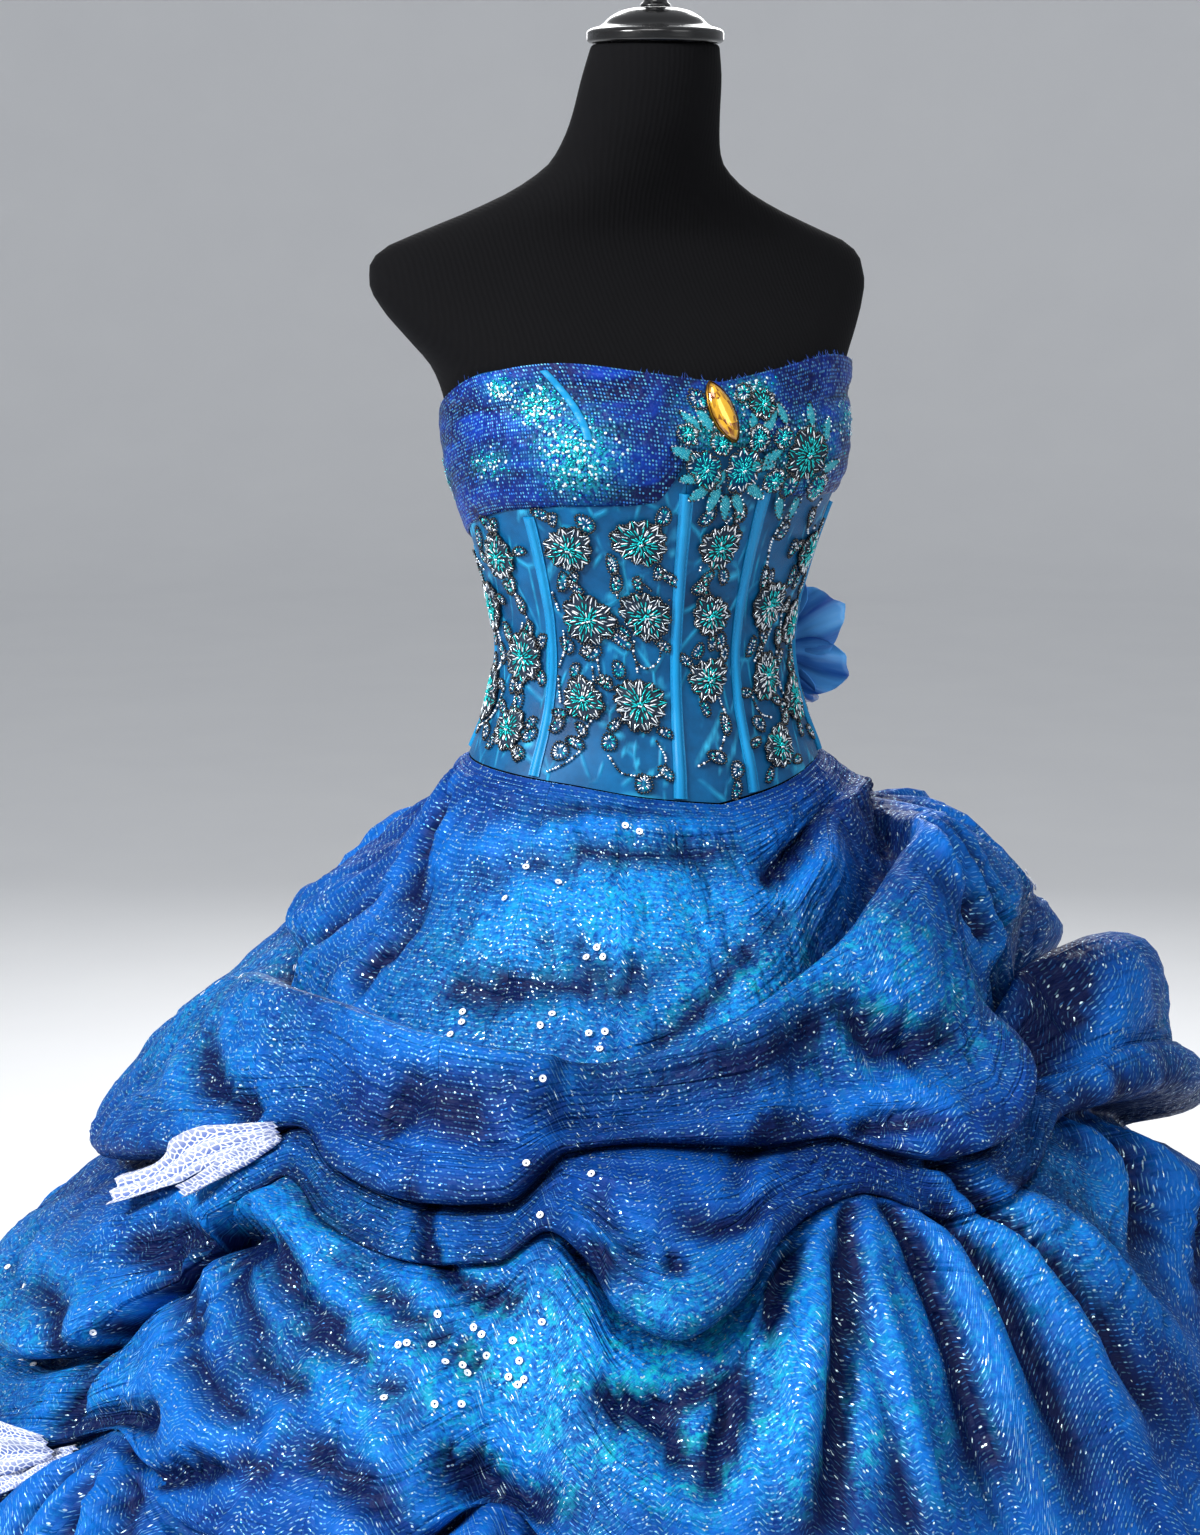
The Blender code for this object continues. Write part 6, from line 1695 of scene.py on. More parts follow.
# Folds seen from the front and the right, each along a curve through three places. These were picked by
# eye on the photo, and a scratch script turned them into angles and heights; widths and lifts are by hand.
FOLDS = (
    # start angle, height, middle angle, height, end angle, height, half width, lift
    (-80, 0.937, -39, 0.954, 4, 0.959, 0.009, -0.007),
    (-84, 0.942, -39, 0.965, 0, 0.971, 0.010, 0.006),
    (-68, 0.885, -45, 0.893, -15, 0.906, 0.008, -0.005),
    (-58, 0.925, -45, 0.913, -32, 0.908, 0.007, -0.004),
    (-1, 0.931, 15, 0.950, 38, 0.972, 0.010, -0.013),
    (-58, 0.967, -37, 0.983, -12, 0.979, 0.009, -0.004),
    (-96, 0.982, -97, 0.947, -80, 0.913, 0.011, -0.009),
    (-80, 0.866, -84, 0.888, -78, 0.905, 0.010, -0.009),
    (-6, 0.939, 4, 0.928, 30, 0.949, 0.011, 0.007),
    (-30, 0.859, -20, 0.878, -4, 0.910, 0.011, -0.007),
    (-118, 0.842, -104, 0.893, -98, 0.922, 0.012, -0.006),
    (-39, 0.825, -22, 0.829, 4, 0.860, 0.009, -0.010),
    (0, 0.854, 6, 0.843, 16, 0.848, 0.008, -0.014),
    (-52, 0.819, -34, 0.812, -10, 0.828, 0.008, -0.006),
    (-6, 0.814, 4, 0.817, 10, 0.804, 0.008, 0.009),
    (-4, 0.808, 1, 0.809, 6, 0.803, 0.007, -0.008),
    (-86, 0.795, -83, 0.787, -80, 0.783, 0.008, -0.009),
    (-60, 0.790, -56, 0.809, -42, 0.792, 0.010, -0.008),
    (-78, 0.831, -56, 0.828, -39, 0.817, 0.014, 0.006),
    (-97, 0.804, -90, 0.791, -82, 0.786, 0.012, -0.008),
    (-20, 0.775, -14, 0.805, -6, 0.809, 0.008, -0.007),
    (42, 0.954, 26, 0.926, 38, 0.871, 0.010, 0.010),
    (34, 0.943, 34, 0.913, 40, 0.883, 0.008, -0.011),
    (43, 0.950, 39, 0.914, 44, 0.832, 0.012, 0.010),
    (40, 0.945, 42, 0.907, 60, 0.828, 0.008, -0.010),
    (58, 0.841, 36, 0.816, 32, 0.796, 0.016, -0.022),
    (45, 0.831, 43, 0.821, 40, 0.808, 0.010, -0.012),
    (-5, 0.753, -8, 0.706, -9, 0.595, 0.009, -0.014),
    (-6, 0.741, -8, 0.687, -7, 0.594, 0.012, 0.011),
    (-8, 0.734, -12, 0.666, -16, 0.599, 0.010, -0.016),
    (-10, 0.722, -14, 0.677, -18, 0.607, 0.014, 0.009),
    (-13, 0.737, -16, 0.710, -18, 0.683, 0.008, -0.010),
    (-2, 0.750, -1, 0.698, -2, 0.591, 0.011, -0.012),
    (0, 0.750, 2, 0.697, 2, 0.586, 0.014, 0.011),
    (4, 0.760, 6, 0.693, 6, 0.578, 0.011, -0.010),
    (4, 0.790, 10, 0.696, 12, 0.594, 0.014, 0.011),
    (6, 0.793, 13, 0.694, 17, 0.604, 0.011, -0.013),
    (8, 0.798, 19, 0.698, 26, 0.641, 0.014, 0.008),
    (35, 0.784, 32, 0.726, 24, 0.701, 0.010, 0.009),
    (38, 0.782, 37, 0.717, 28, 0.695, 0.009, -0.013),
    (44, 0.776, 40, 0.696, 30, 0.664, 0.011, 0.011),
    (49, 0.700, 40, 0.680, 32, 0.655, 0.009, -0.009),
    (-86, 0.724, -76, 0.708, -58, 0.714, 0.008, -0.009),
    (-86, 0.729, -74, 0.721, -56, 0.725, 0.010, 0.006),
    (-86, 0.718, -66, 0.695, -44, 0.644, 0.011, -0.013),
    (-80, 0.729, -62, 0.699, -43, 0.651, 0.013, 0.008),
    (-80, 0.710, -70, 0.676, -55, 0.640, 0.010, -0.012),
    (-83, 0.680, -69, 0.643, -60, 0.627, 0.011, -0.018),
    (-84, 0.672, -70, 0.638, -59, 0.612, 0.014, 0.012),
    (-54, 0.776, -49, 0.716, -39, 0.702, 0.008, -0.010),
    (-60, 0.700, -51, 0.688, -40, 0.663, 0.010, -0.008),
    (-38, 0.740, -33, 0.737, -28, 0.714, 0.010, -0.008),
    (-34, 0.675, -28, 0.663, -20, 0.684, 0.009, -0.011),
    (-20, 0.682, -22, 0.650, -24, 0.615, 0.010, -0.013),
    (-28, 0.661, -26, 0.638, -24, 0.624, 0.008, -0.008),
    (-60, 0.627, -52, 0.617, -42, 0.575, 0.012, -0.007),
    (-44, 0.640, -42, 0.626, -35, 0.611, 0.016, -0.020),
    (-78, 0.566, -66, 0.608, -58, 0.608, 0.008, -0.012),
    (-85, 0.578, -80, 0.607, -72, 0.635, 0.009, -0.013),
    (-86, 0.579, -85, 0.604, -84, 0.658, 0.009, -0.012),
    (-100, 0.641, -90, 0.635, -85, 0.585, 0.012, -0.008),
    (-90, 0.699, -83, 0.694, -82, 0.682, 0.014, -0.016),
    (-35, 0.783, -31, 0.752, -28, 0.736, 0.010, -0.007),
    (-26, 0.750, -26, 0.737, -25, 0.726, 0.008, -0.007),
    (-26, 0.765, -20, 0.760, -12, 0.776, 0.010, -0.007),
)
# Folds that fan out below the tacks of the sides, the back and the flounce
FANS = (
    # tack angle, tack height, reach, folds, lift
    (-152, 0.962, 0.085, 5, 0.008),
    (76, 0.984, 0.075, 5, 0.007),
    (146, 0.960, 0.085, 5, 0.008),
    (-160, 0.850, 0.100, 6, 0.010),
    (118, 0.856, 0.110, 6, 0.010),
    (-130, 0.680, 0.110, 6, 0.010),
    (98, 0.742, 0.130, 7, 0.011),
    (156, 0.720, 0.120, 6, 0.011),
    (-136, 0.555, 0.140, 7, 0.012),
    (-78, 0.590, 0.140, 7, 0.011),
    (-41, 0.604, 0.140, 7, 0.011),
    (32, 0.570, 0.140, 7, 0.012),
    (84, 0.575, 0.140, 7, 0.012),
    (140, 0.560, 0.140, 7, 0.012),
    (-180, 0.540, 0.130, 7, 0.011),
    (-154, 0.370, 0.240, 7, 0.013),
    (-102, 0.375, 0.240, 7, 0.013),
    (-54, 0.370, 0.240, 7, 0.013),
    (-4, 0.350, 0.230, 7, 0.013),
    (48, 0.370, 0.240, 7, 0.013),
    (100, 0.375, 0.240, 7, 0.013),
    (154, 0.370, 0.240, 7, 0.013),
)
FAN_SPREAD = 92.0
FOLD_TILT = 25.0
# Unevenness of hand-gathered cloth: two sizes of soft slanting creases
RUMPLES = (
    # steps round the body, height of a step, slant, lift
    (30, 0.050, 0.30, 0.0050),
    (66, 0.022, -0.45, 0.0026),
    (120, 0.011, 0.25, 0.0011),
)
# Creases that run along the swags, and two sets that cross them, each a sharp trough
# where the noise is zero
CREASES = (
    # steps round the body, steps from one row of tacks to the next, slant, half width in noise, lift
    (13, 6.0, 0.10, 0.26, -0.0048),
    (22, 11.0, 0.18, 0.28, -0.0030),
    (16, 7.0, 0.60, 0.20, -0.0040),
    (18, 7.0, -0.60, 0.20, -0.0040),
    (50, 22.0, 0.20, 0.40, -0.0013),
)
FOLD_DEPTH = 1.7
# Patches where the lining's sequinned lace shines through
GLOWS = (
    # angle, height, half width in degrees, half height, azure, teal
    (-30, 0.925, 32, 0.050, 0.95, 0.25),
    (-52, 0.900, 26, 0.050, 0.75, 0.15),
    (-10, 0.880, 20, 0.030, 0.80, 0.45),
    (-45, 0.845, 30, 0.020, 0.60, 0.20),
    (-70, 0.720, 16, 0.040, 0.55, 0.20),
    (-34, 0.680, 26, 0.045, 0.85, 0.55),
    (-24, 0.640, 20, 0.030, 0.70, 0.60),
    (-5, 0.660, 14, 0.060, 0.35, 0.20),
    (12, 0.700, 10, 0.040, 0.50, 0.10),
    (24, 0.720, 8, 0.050, 0.55, 0.05),
    (10, 0.860, 18, 0.030, 0.30, 0.35),
    (55, 0.880, 20, 0.050, 0.35, 0.10),
    (80, 0.760, 30, 0.060, 0.35, 0.20),
    (-110, 0.820, 26, 0.060, 0.55, 0.20),
    (-100, 0.620, 24, 0.060, 0.50, 0.15),
    (130, 0.820, 26, 0.070, 0.45, 0.20),
    (165, 0.640, 26, 0.080, 0.50, 0.25),
    (-150, 0.740, 26, 0.070, 0.50, 0.25),
    (-40, 0.450, 40, 0.080, 0.45, 0.25),
    (60, 0.420, 40, 0.090, 0.45, 0.25),
    (-140, 0.400, 40, 0.090, 0.45, 0.25),
    (140, 0.400, 40, 0.090, 0.45, 0.25),
)


def spline_weights(rows, controls):
    """Weights of a cubic B-spline that starts on the first control and ends on the last."""
    weights = np.zeros((len(rows), controls))
    spans = controls + 1
    at = np.clip(np.asarray(rows), 0.0, 1.0) * spans
    first = np.minimum(at.astype(int), spans - 1)
    u = at - first
    parts = (
        (1 - u) ** 3 / 6,
        (3 * u**3 - 6 * u**2 + 4) / 6,
        (-3 * u**3 + 3 * u**2 + 3 * u + 1) / 6,
        u**3 / 6,
    )
    for offset, part in enumerate(parts):
        column = np.clip(first + offset - 2, 0, controls - 1)
        np.add.at(weights, (np.arange(len(at)), column), part)
    return weights


def line_at(line, column, angles):
    """One column of a pick-up line at each angle round the body."""
    rows = np.asarray(line, float)
    return curve_through(rows[:, 0], rows[:, column], angles, 360.0)


def skirt_controls(angles):
    """Radius, height and laid-flat height of the profile's control points at each angle."""
    waist = edge_at(WAIST_EDGE, angles) - SEAM_GAP
    top = table_at(TORSO, 1, waist) * 0.5 + table_at(TORSO, 2, waist) * 0.5 + EASE + CLOTH
    radius = [top, top + 0.006]
    height = [waist, waist - 0.006]
    flat = [waist, waist - 0.006]
    before = waist - 0.006
    # The pouf's first control point: where it starts, how far down the slope and out of it, and the slope
    start = [top, waist, 0.014, 0.003, 1.0, 0.7071]
    lips = np.asarray(LIP)
    lines = [[line_at(line, i, angles) for i in range(1, 6)] for line in PICK_UPS]
    falls = [high[0] - low[0] for high, low in zip(lines, lines[1:])] + [lines[-1][0]]
    for line, below, (top_full, middle_full) in zip(lines, falls, FULLNESS):
        level, out, hang, deep, rolled = line
        fall = before - level
        # A pouf between two lines that nearly meet has no room to stand out
        full = np.clip(np.minimum(fall / 0.050, below / 0.046), 0.12, 1.0)
        out, hang, deep = out * full, hang * full + 0.002, deep * full
        drawn = table_at(SKIRT_RADIUS, 1, level)
        slope = (table_at(SKIRT_RADIUS, 1, level - 0.01) - table_at(SKIRT_RADIUS, 1, level + 0.01)) / 0.02
        steep = 1.0 / np.hypot(1.0, slope)
        middle = table_at(SKIRT_RADIUS, 1, before - 0.5 * fall)
        # It swells below the lip above it, or not at all where there is no room
        swell = top_full * out
        down = np.minimum(start[2] + 0.9 * swell, 0.40 * fall / start[5])
        rise = start[3] + swell
        radius += [start[0] + (down * start[4] + rise) * start[5], middle + middle_full * out]
        height += [start[1] + (rise * start[4] - down) * start[5], before - 0.50 * fall]
        flat += [before - 0.16 * fall, before - 0.50 * fall]
        hangs = np.clip(1.0 - 2.0 * rolled, 0.0, 1.0)
        folds = np.clip(2.0 * rolled - 1.0, 0.0, 1.0)
        plain = 1.0 - hangs - folds
        for i, row in enumerate(lips):
            down = (row[0] * hangs + row[2] * plain + row[4] * folds) * hang
            rise = (row[1] * hangs + row[3] * plain + row[5] * folds) * out
            if i == 3:
                rise = rise - TUCK * deep * (1.0 - folds)
            if i == len(lips) - 1:
                start = [drawn, level, down, rise, slope, steep]
            else:
                radius.append(drawn + (down * slope + rise) * steep)
                height.append(level + (rise * slope - down) * steep)
        flat += [level + 0.22 * fall, level + 0.10 * fall, level + 0.04 * fall, level, level - 0.004]
        before = level - 0.004
    fall = before - HEM["height"]
    wave = HEM["depth"] * np.sin(np.radians(angles) * HEM["waves"] + 1.3 * np.sin(np.radians(angles) * 4))
    for part, sway in ((0.12, 0.25), (0.40, 0.6), (0.72, 0.9), (1.0, 1.0)):
        level = before - part * fall
        radius.append(table_at(SKIRT_RADIUS, 1, level) + 0.012 + wave * sway)
        height.append(level)
        flat.append(level)
    return [np.stack(part, axis=1) for part in (radius, height, flat)]


def fan_folds():
    """Rows for the folds below each tack, in turn a ridge and a trough, none quite like the next."""
    rows = []
    for spread, (angle, height, reach, folds, lift) in enumerate(FANS):
        radius = float(table_at(SKIRT_RADIUS, 1, height))
        for i in range(folds):
            uneven = 0.5 + 0.5 * math.sin(2.4 * i + 1.7 * spread)
            lean = math.radians(FAN_SPREAD * ((i + 0.35 * (uneven - 0.5)) / (folds - 1) - 0.5))
            length = reach * (0.75 + 0.4 * uneven)
            across = math.degrees(length * math.sin(lean) / radius)
            down = length * math.cos(lean)
            row = [angle, height - 0.012, angle + 0.55 * across, height - 0.5 * down]
            row += [
                angle + across, height - down, 0.06 * reach + 0.004,
                (lift if i % 2 else -lift) * (0.7 + 0.5 * uneven),
            ]
            rows.append(row)
    return rows


def fold_lift(angles, flat, folds):
    """How far the folds push the cloth out at each point of the grid."""
    lift = np.zeros_like(flat)
    along = np.linspace(0.0, 1.0, 9)
    near, middle, far = (1 - along) * (1 - 2 * along), 4 * along * (1 - along), along * (2 * along - 1)
    for a0, h0, a1, h1, a2, h2, width, rise in folds:
        scale = math.radians(1.0) * float(table_at(SKIRT_RADIUS, 1, h1))
        off = turn_between(angles, a1)
        path_x = (near * (a0 - a1) + far * (a2 - a1)) * scale
        path_y = near * h0 + middle * h1 + far * h2
        reached = (off * scale > path_x.min() - 3 * width) & (off * scale < path_x.max() + 3 * width)
        x = (off[reached] * scale)[:, None]
        here = flat[reached]
        best = np.full(here.shape, 9.0)
        share = np.zeros(here.shape)
        for i in range(len(along) - 1):
            dx, dy = path_x[i + 1] - path_x[i], path_y[i + 1] - path_y[i]
            t = np.clip(((x - path_x[i]) * dx + (here - path_y[i]) * dy) / (dx * dx + dy * dy), 0, 1)
            gap = np.hypot(x - path_x[i] - t * dx, here - path_y[i] - t * dy)
            closer = gap < best
            best = np.where(closer, gap, best)
            share = np.where(closer, (i + t) / (len(along) - 1), share)
        fade = np.sin(np.pi * np.clip(share, 0.02, 0.98)) ** 0.7
        lift[reached] += rise * fade * np.exp(-((best / width) ** 2))
    return lift


def outward_of(points):
    """Unit normals of a closed grid (round the body, up, xyz), and the direction across its columns."""

    def unit(vectors):
        return vectors / np.maximum(np.linalg.norm(vectors, axis=2, keepdims=True), 1e-9)

    ahead = unit(np.roll(points, -1, axis=0) - points)
    round_body = ahead + np.roll(ahead, 1, axis=0)
    steps = unit(np.diff(points, axis=1))
    up = np.concatenate([steps[:, :1], unit(steps[:, 1:] + steps[:, :-1]), steps[:, -1:]], axis=1)
    outward = unit(np.cross(round_body, up))
    return outward, np.cross(up, outward)


skirt_angles = np.concatenate([np.linspace(first, last, n + 1)[:-1] for _, first, last, n, _, _ in GORES])
radius, height, flat_height = skirt_controls(skirt_angles)
weights = spline_weights(np.linspace(1.0, 0.0, SKIRT_ROWS + 1), radius.shape[1])
radius, height, flat_height = (part @ weights.T for part in (radius, height, flat_height))
fold = fold_lift(skirt_angles, flat_height, FOLDS + tuple(fan_folds()))
rumple = np.zeros_like(flat_height)
for i, (steps, tall, slant, lift) in enumerate(RUMPLES):
    x = (skirt_angles[:, None] + 180.0) / 360.0 * steps
    rumple += lift * soft_noise(x, (flat_height + slant * tall * np.sin(x * 0.7)) / tall, 11.0 + i, steps)
# The folds die out into the waist seam and at the hem, and the cloth is taut beside a tack
waist = flat_height.max(axis=1, keepdims=True)
near_waist = np.clip((waist - flat_height) / 0.04, 0.0, 1.0)
rumple *= np.clip((waist - flat_height) / 0.05, 0.0, 1.0)
taut = np.ones_like(flat_height)
tack_levels = [line_at(line, 1, skirt_angles)[:, None] for line in PICK_UPS]
for line, level in zip(PICK_UPS, tack_levels):
    room = line_at(line, 2, skirt_angles)[:, None]
    taut = np.minimum(taut, 1.0 - 0.75 * np.exp(-(((flat_height - level) / (0.008 + 0.25 * room)) ** 2)))
# Rows of tacks: 0 at the waist, then 1 more at each row, so that a whole pouf lies between whole numbers
swag = np.zeros_like(flat_height)
for i, angle in enumerate(skirt_angles):
    stops = [float(waist[i, 0])] + [float(line_at(line, 1, angle)) for line in PICK_UPS] + [0.0]
    swag[i] = np.interp(-flat_height[i], -np.array(stops), np.arange(len(stops)))
creased = np.zeros_like(flat_height)
for i, (steps, rows, slant, wide, depth) in enumerate(CREASES):
    x = (skirt_angles[:, None] + 180.0) / 360.0 * steps
    sag = slant * np.sin(x * math.tau * 3 / steps)
    y = (swag + sag + slant * 0.9 * np.sin(x * math.tau * 7 / steps + 1.0)) * rows
    level = soft_noise(x, y, 31.0 + 2 * i, steps)
    strength = 0.55 + 0.45 * soft_noise(x / 3, y / 2, 57.0 + i, max(2, steps // 3))
    creased += depth * strength * np.clip(1.0 - np.abs(level) / wide, 0.0, 1.0)
creased *= np.clip((waist - flat_height) / 0.03, 0.0, 1.0) * (0.35 + 0.65 * taut)
lift = FOLD_DEPTH * fold * near_waist * np.clip(flat_height / 0.10, 0.0, 1.0) + rumple * taut + creased
radius = radius + lift * math.cos(math.radians(FOLD_TILT))
height = height + lift * math.sin(math.radians(FOLD_TILT))
height = np.maximum(height, HEM["height"])
# The waist is an oval, and the skirt grows round below it
oval = 0.0145 * np.clip((height - 0.86) / 0.15, 0.0, 1.0)
around = np.radians(skirt_angles)[:, None]
skirt_points = np.stack(
    [(radius + oval) * np.sin(around), -(radius - oval) * np.cos(around), height], axis=2,
)
skirt_normals, across_seam = outward_of(skirt_points)
# Tints: the length of cloth down from the waist, painted shade deep in the folds and along the pick-up
# lines, a painted highlight on the ridges, and the glowing patches
steps = np.linalg.norm(np.diff(skirt_points[:, ::-1], axis=1), axis=2)
run = np.concatenate([np.zeros((len(skirt_angles), 1)), np.cumsum(steps, axis=1)], axis=1)[:, ::-1]
tuck = np.zeros_like(flat_height)
for level in tack_levels:
    tuck = np.maximum(tuck, np.exp(-(((flat_height - level) / 0.010) ** 2)))


def spread(field, reach):
    """The field averaged over a square of neighbours, round the body and up."""
    total = sum(np.roll(field, i, axis=0) for i in range(-reach, reach + 1)) / (2 * reach + 1)
    padded = np.concatenate([total[:, :1]] * reach + [total] + [total[:, -1:]] * reach, axis=1)
    return sum(padded[:, i : i + field.shape[1]] for i in range(2 * reach + 1)) / (2 * reach + 1)


# Painted shade where a place lies below its neighbours or on a pick-up line, and a painted highlight where
# it stands above them
placed = lift - 0.6 * creased
close = (spread(placed, 3) - placed) / 0.0040
wide = (spread(placed, 8) - placed) / 0.0085
shade = np.clip(0.9 * tuck + 0.55 * close + 0.55 * wide + 0.05, 0.0, 1.0) ** 1.3
ridge = np.clip(-0.8 * close - 0.6 * wide, 0.0, 1.0)
azure = spot_tint(skirt_angles[:, None], flat_height, [row[:5] for row in GLOWS])
teal = spot_tint(skirt_angles[:, None], flat_height, [row[:4] + row[5:] for row in GLOWS])


def glitter_mesh_finish():
    """Azure mesh with rows of foil dots, over satin and sequinned lace: glints, with painted shade in navy
    in its folds and a painted highlight on its ridges.
    """
    made, tree, shader = finish_named(
        "azure glitter mesh over satin", sheen_weight=0.02, specular_ior_level=0.12,
        sheen_tint=linear("3F86FF"),
    )
    flat = add(tree, "UVMap", uv_map="cloth")
    where = add(tree, "TexCoord").outputs["Object"]
    azure = add(tree, "Attribute", attribute_name="azure").outputs["Fac"]
    teal = add(tree, "Attribute", attribute_name="teal").outputs["Fac"]
    # Painted shade and painted highlight, from the shade and ridge tints
    shade = add(tree, "Attribute", attribute_name="shade").outputs["Fac"]
    ridge = add(tree, "Attribute", attribute_name="ridge").outputs["Fac"]
    # Foil dashes 2.2 mm long, 3.1 mm apart in rows of 4.0 mm
    grid = add(tree, "Mapping", {"Vector": flat, "Scale": (1 / 0.0031, 1 / 0.0040, 1.0)})
    dots = add(
        tree, "TexVoronoi", {"Vector": grid, "Scale": 1.0, "Randomness": 0.10}, voronoi_dimensions="2D",
    )
    from_middle = add(tree, "VectorMath", {0: grid, 1: dots.outputs["Position"]}, operation="SUBTRACT")
    dash = add(tree, "VectorMath", {0: from_middle, 1: (0.62, 1.75, 0.0)}, operation="MULTIPLY")
    reach = add(tree, "VectorMath", {0: dash}, operation="LENGTH")
    mask = add(
        tree, "MapRange", {"Value": reach, "From Min": 0.16, "From Max": 0.30, "To Min": 1.0, "To Max": 0.0},
    )
    chance = add(tree, "SeparateColor", {"Color": dots.outputs["Color"]})
    lit = add(tree, "MapRange", {"Value": chance.outputs[0], "From Min": 0.15, "From Max": 1.0})
    # Loose glitter, 2.4 mm grains, about one in thirty bright and more where the lace shines through
    grain_grid = add(tree, "Mapping", {"Vector": flat, "Scale": (1 / 0.0024, 1 / 0.0024, 1.0)})
    grains = add(
        tree, "TexVoronoi", {"Vector": grain_grid, "Scale": 1.0, "Randomness": 1.0}, voronoi_dimensions="2D",
    )
    grain_chance = add(tree, "SeparateColor", {"Color": grains.outputs["Color"]})
    sprinkle = add(tree, "Math", {0: azure, 1: 0.045, 2: grain_chance.outputs[1]}, operation="MULTIPLY_ADD")
    grain_lit = add(tree, "MapRange", {"Value": sprinkle, "From Min": 0.955, "From Max": 0.985})
    grain_size = add(
        tree, "MapRange",
        {"Value": grains, "From Min": 0.20, "From Max": 0.38, "To Min": 1.0, "To Max": 0.0},
    )
    grain = add(tree, "Math", {0: grain_lit, 1: grain_size}, operation="MULTIPLY")
    cloud = add(tree, "TexNoise", {"Vector": where, "Scale": 13.0, "Detail": 6.0, "Roughness": 0.62})
    tone = add(tree, "MapRange", {"Value": cloud, "From Min": 0.32, "From Max": 0.62})
    cloth = add(
        tree, "Mix", {"Factor": tone, "A": linear("002068"), "B": linear("004090")}, data_type="RGBA",
    )
    # Painted highlight: the ridges are painted a lighter blue
    raised = add(tree, "Mix", {"Factor": ridge, "A": cloth, "B": linear("0358B0")}, data_type="RGBA")
    speckle = add(tree, "TexNoise", {"Vector": where, "Scale": 240.0, "Detail": 3.0, "Roughness": 0.7})
    shine = add(tree, "MapRange", {"Value": speckle, "From Min": 0.36, "From Max": 0.62})
    glow = add(tree, "Math", {0: azure, 1: shine}, operation="MULTIPLY")
    glowing = add(tree, "Mix", {"Factor": glow, "A": raised, "B": linear("1192DC")}, data_type="RGBA")
    green = add(tree, "TexNoise", {"Vector": where, "Scale": 60.0, "Detail": 5.0, "Roughness": 0.75})
    green_at = add(tree, "MapRange", {"Value": green, "From Min": 0.50, "From Max": 0.62})
    green_here = add(tree, "Math", {0: green_at, 1: teal}, operation="MULTIPLY")
    tealed = add(tree, "Mix", {"Factor": green_here, "A": glowing, "B": linear("12C0B0")}, data_type="RGBA")
    # Painted shade: the folds and the pick-up lines are painted navy
    deep = add(tree, "Mix", {"Factor": shade, "A": tealed, "B": linear("00103F")}, data_type="RGBA")
    foil = add(
        tree, "Mix", {"Factor": chance.outputs[1], "A": linear("3C9CFF"), "B": linear("A8ECFF")},
        data_type="RGBA",
    )
    amount = add(tree, "Math", {0: mask, 1: lit}, operation="MULTIPLY")
    # The foil dots are painted fainter where the painted shade is
    dimmed = add(tree, "Math", {0: shade, 1: -0.55, 2: 0.80}, operation="MULTIPLY_ADD")
    dotting = add(tree, "Math", {0: amount, 1: dimmed}, operation="MULTIPLY")
    dotted = add(tree, "Mix", {"Factor": dotting, "A": deep, "B": foil}, data_type="RGBA")
    colour = add(tree, "Mix", {"Factor": grain, "A": dotted, "B": linear("D8F6FF")}, data_type="RGBA")
    both = add(tree, "Math", {0: amount, 1: grain}, operation="MAXIMUM")
    metal = add(tree, "MapRange", {"Value": both, "To Min": 0.05, "To Max": 0.75})
    rough = add(tree, "MapRange", {"Value": both, "To Min": 0.55, "To Max": 0.26})
    tilt = add(tree, "VectorMath", {0: dots.outputs["Color"], 1: (0.5, 0.5, 0.5)}, operation="SUBTRACT")
    tip = add(tree, "VectorMath", {0: tilt, "Scale": 0.5}, operation="SCALE")
    # Small wrinkles, 5 to 15 mm, drawn out along the swags
    along = add(tree, "UVMap", uv_map="swag")
    crumple = add(
        tree, "TexNoise",
        {"Vector": along, "Scale": 20.0, "Detail": 2.0, "Roughness": 0.45, "Distortion": 0.6},
    )
    soft = add(tree, "Bump", {"Height": crumple, "Strength": 0.4, "Distance": 0.0070})
    # Drag lines that sag from tack to tack, 60 to 150 mm long and 6 to 10 mm apart
    pulled = add(tree, "Mapping", {"Vector": along, "Scale": (7.0, 46.0, 1.0), "Rotation": (0.0, 0.0, 0.10)})
    drag = add(
        tree, "TexNoise",
        {"Vector": pulled, "Scale": 1.0, "Detail": 2.0, "Roughness": 0.45, "Distortion": 0.9},
    )
    lines = add(tree, "Bump", {"Height": drag, "Strength": 0.75, "Distance": 0.0100, "Normal": soft})
    bump = add(tree, "Bump", {"Height": mask, "Strength": 0.35, "Distance": 0.0005, "Normal": lines})
    leaning = add(tree, "VectorMath", {0: bump, 1: tip}, operation="ADD")
    unit = add(tree, "VectorMath", {0: leaning}, operation="NORMALIZE")
    wire(tree, shader, {"Base Color": colour, "Metallic": metal, "Roughness": rough, "Normal": unit})
    return made


glitter_mesh = glitter_mesh_finish()
start = 0
for name, first, last, columns, flat_width, flat_length in GORES:
    pick = np.arange(start, start + columns + 1) % len(skirt_angles)
    start += columns
    outer = skirt_points[pick].copy()
    outer[0] += 0.5 * SEAM_GAP * across_seam[pick[0]]
    outer[-1] -= 0.5 * SEAM_GAP * across_seam[pick[-1]]
    inner = outer - SKIRT_CLOTH * skirt_normals[pick]
    # The grain runs down the middle of the gore
    aside = np.radians(np.linspace(first, last, columns + 1) - 0.5 * (first + last))[:, None]
    across = aside * (table_at(SKIRT_RADIUS, 1, np.clip(flat_height[pick], 0.0, 1.015)) + 0.02)
    uv = np.stack([across, -run[pick]], axis=-1)
    # shade carries the painted shade, ridge the painted highlight
    tints = {"shade": shade[pick], "ridge": ridge[pick], "azure": azure[pick], "teal": teal[pick]}
    swags = np.stack([1.1 * across, 0.42 * swag[pick]], axis=-1)
    gore = cloth_shell(f"{name}_glitter", outer, inner, glitter_mesh, uv, tints, swags)
    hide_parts(name)


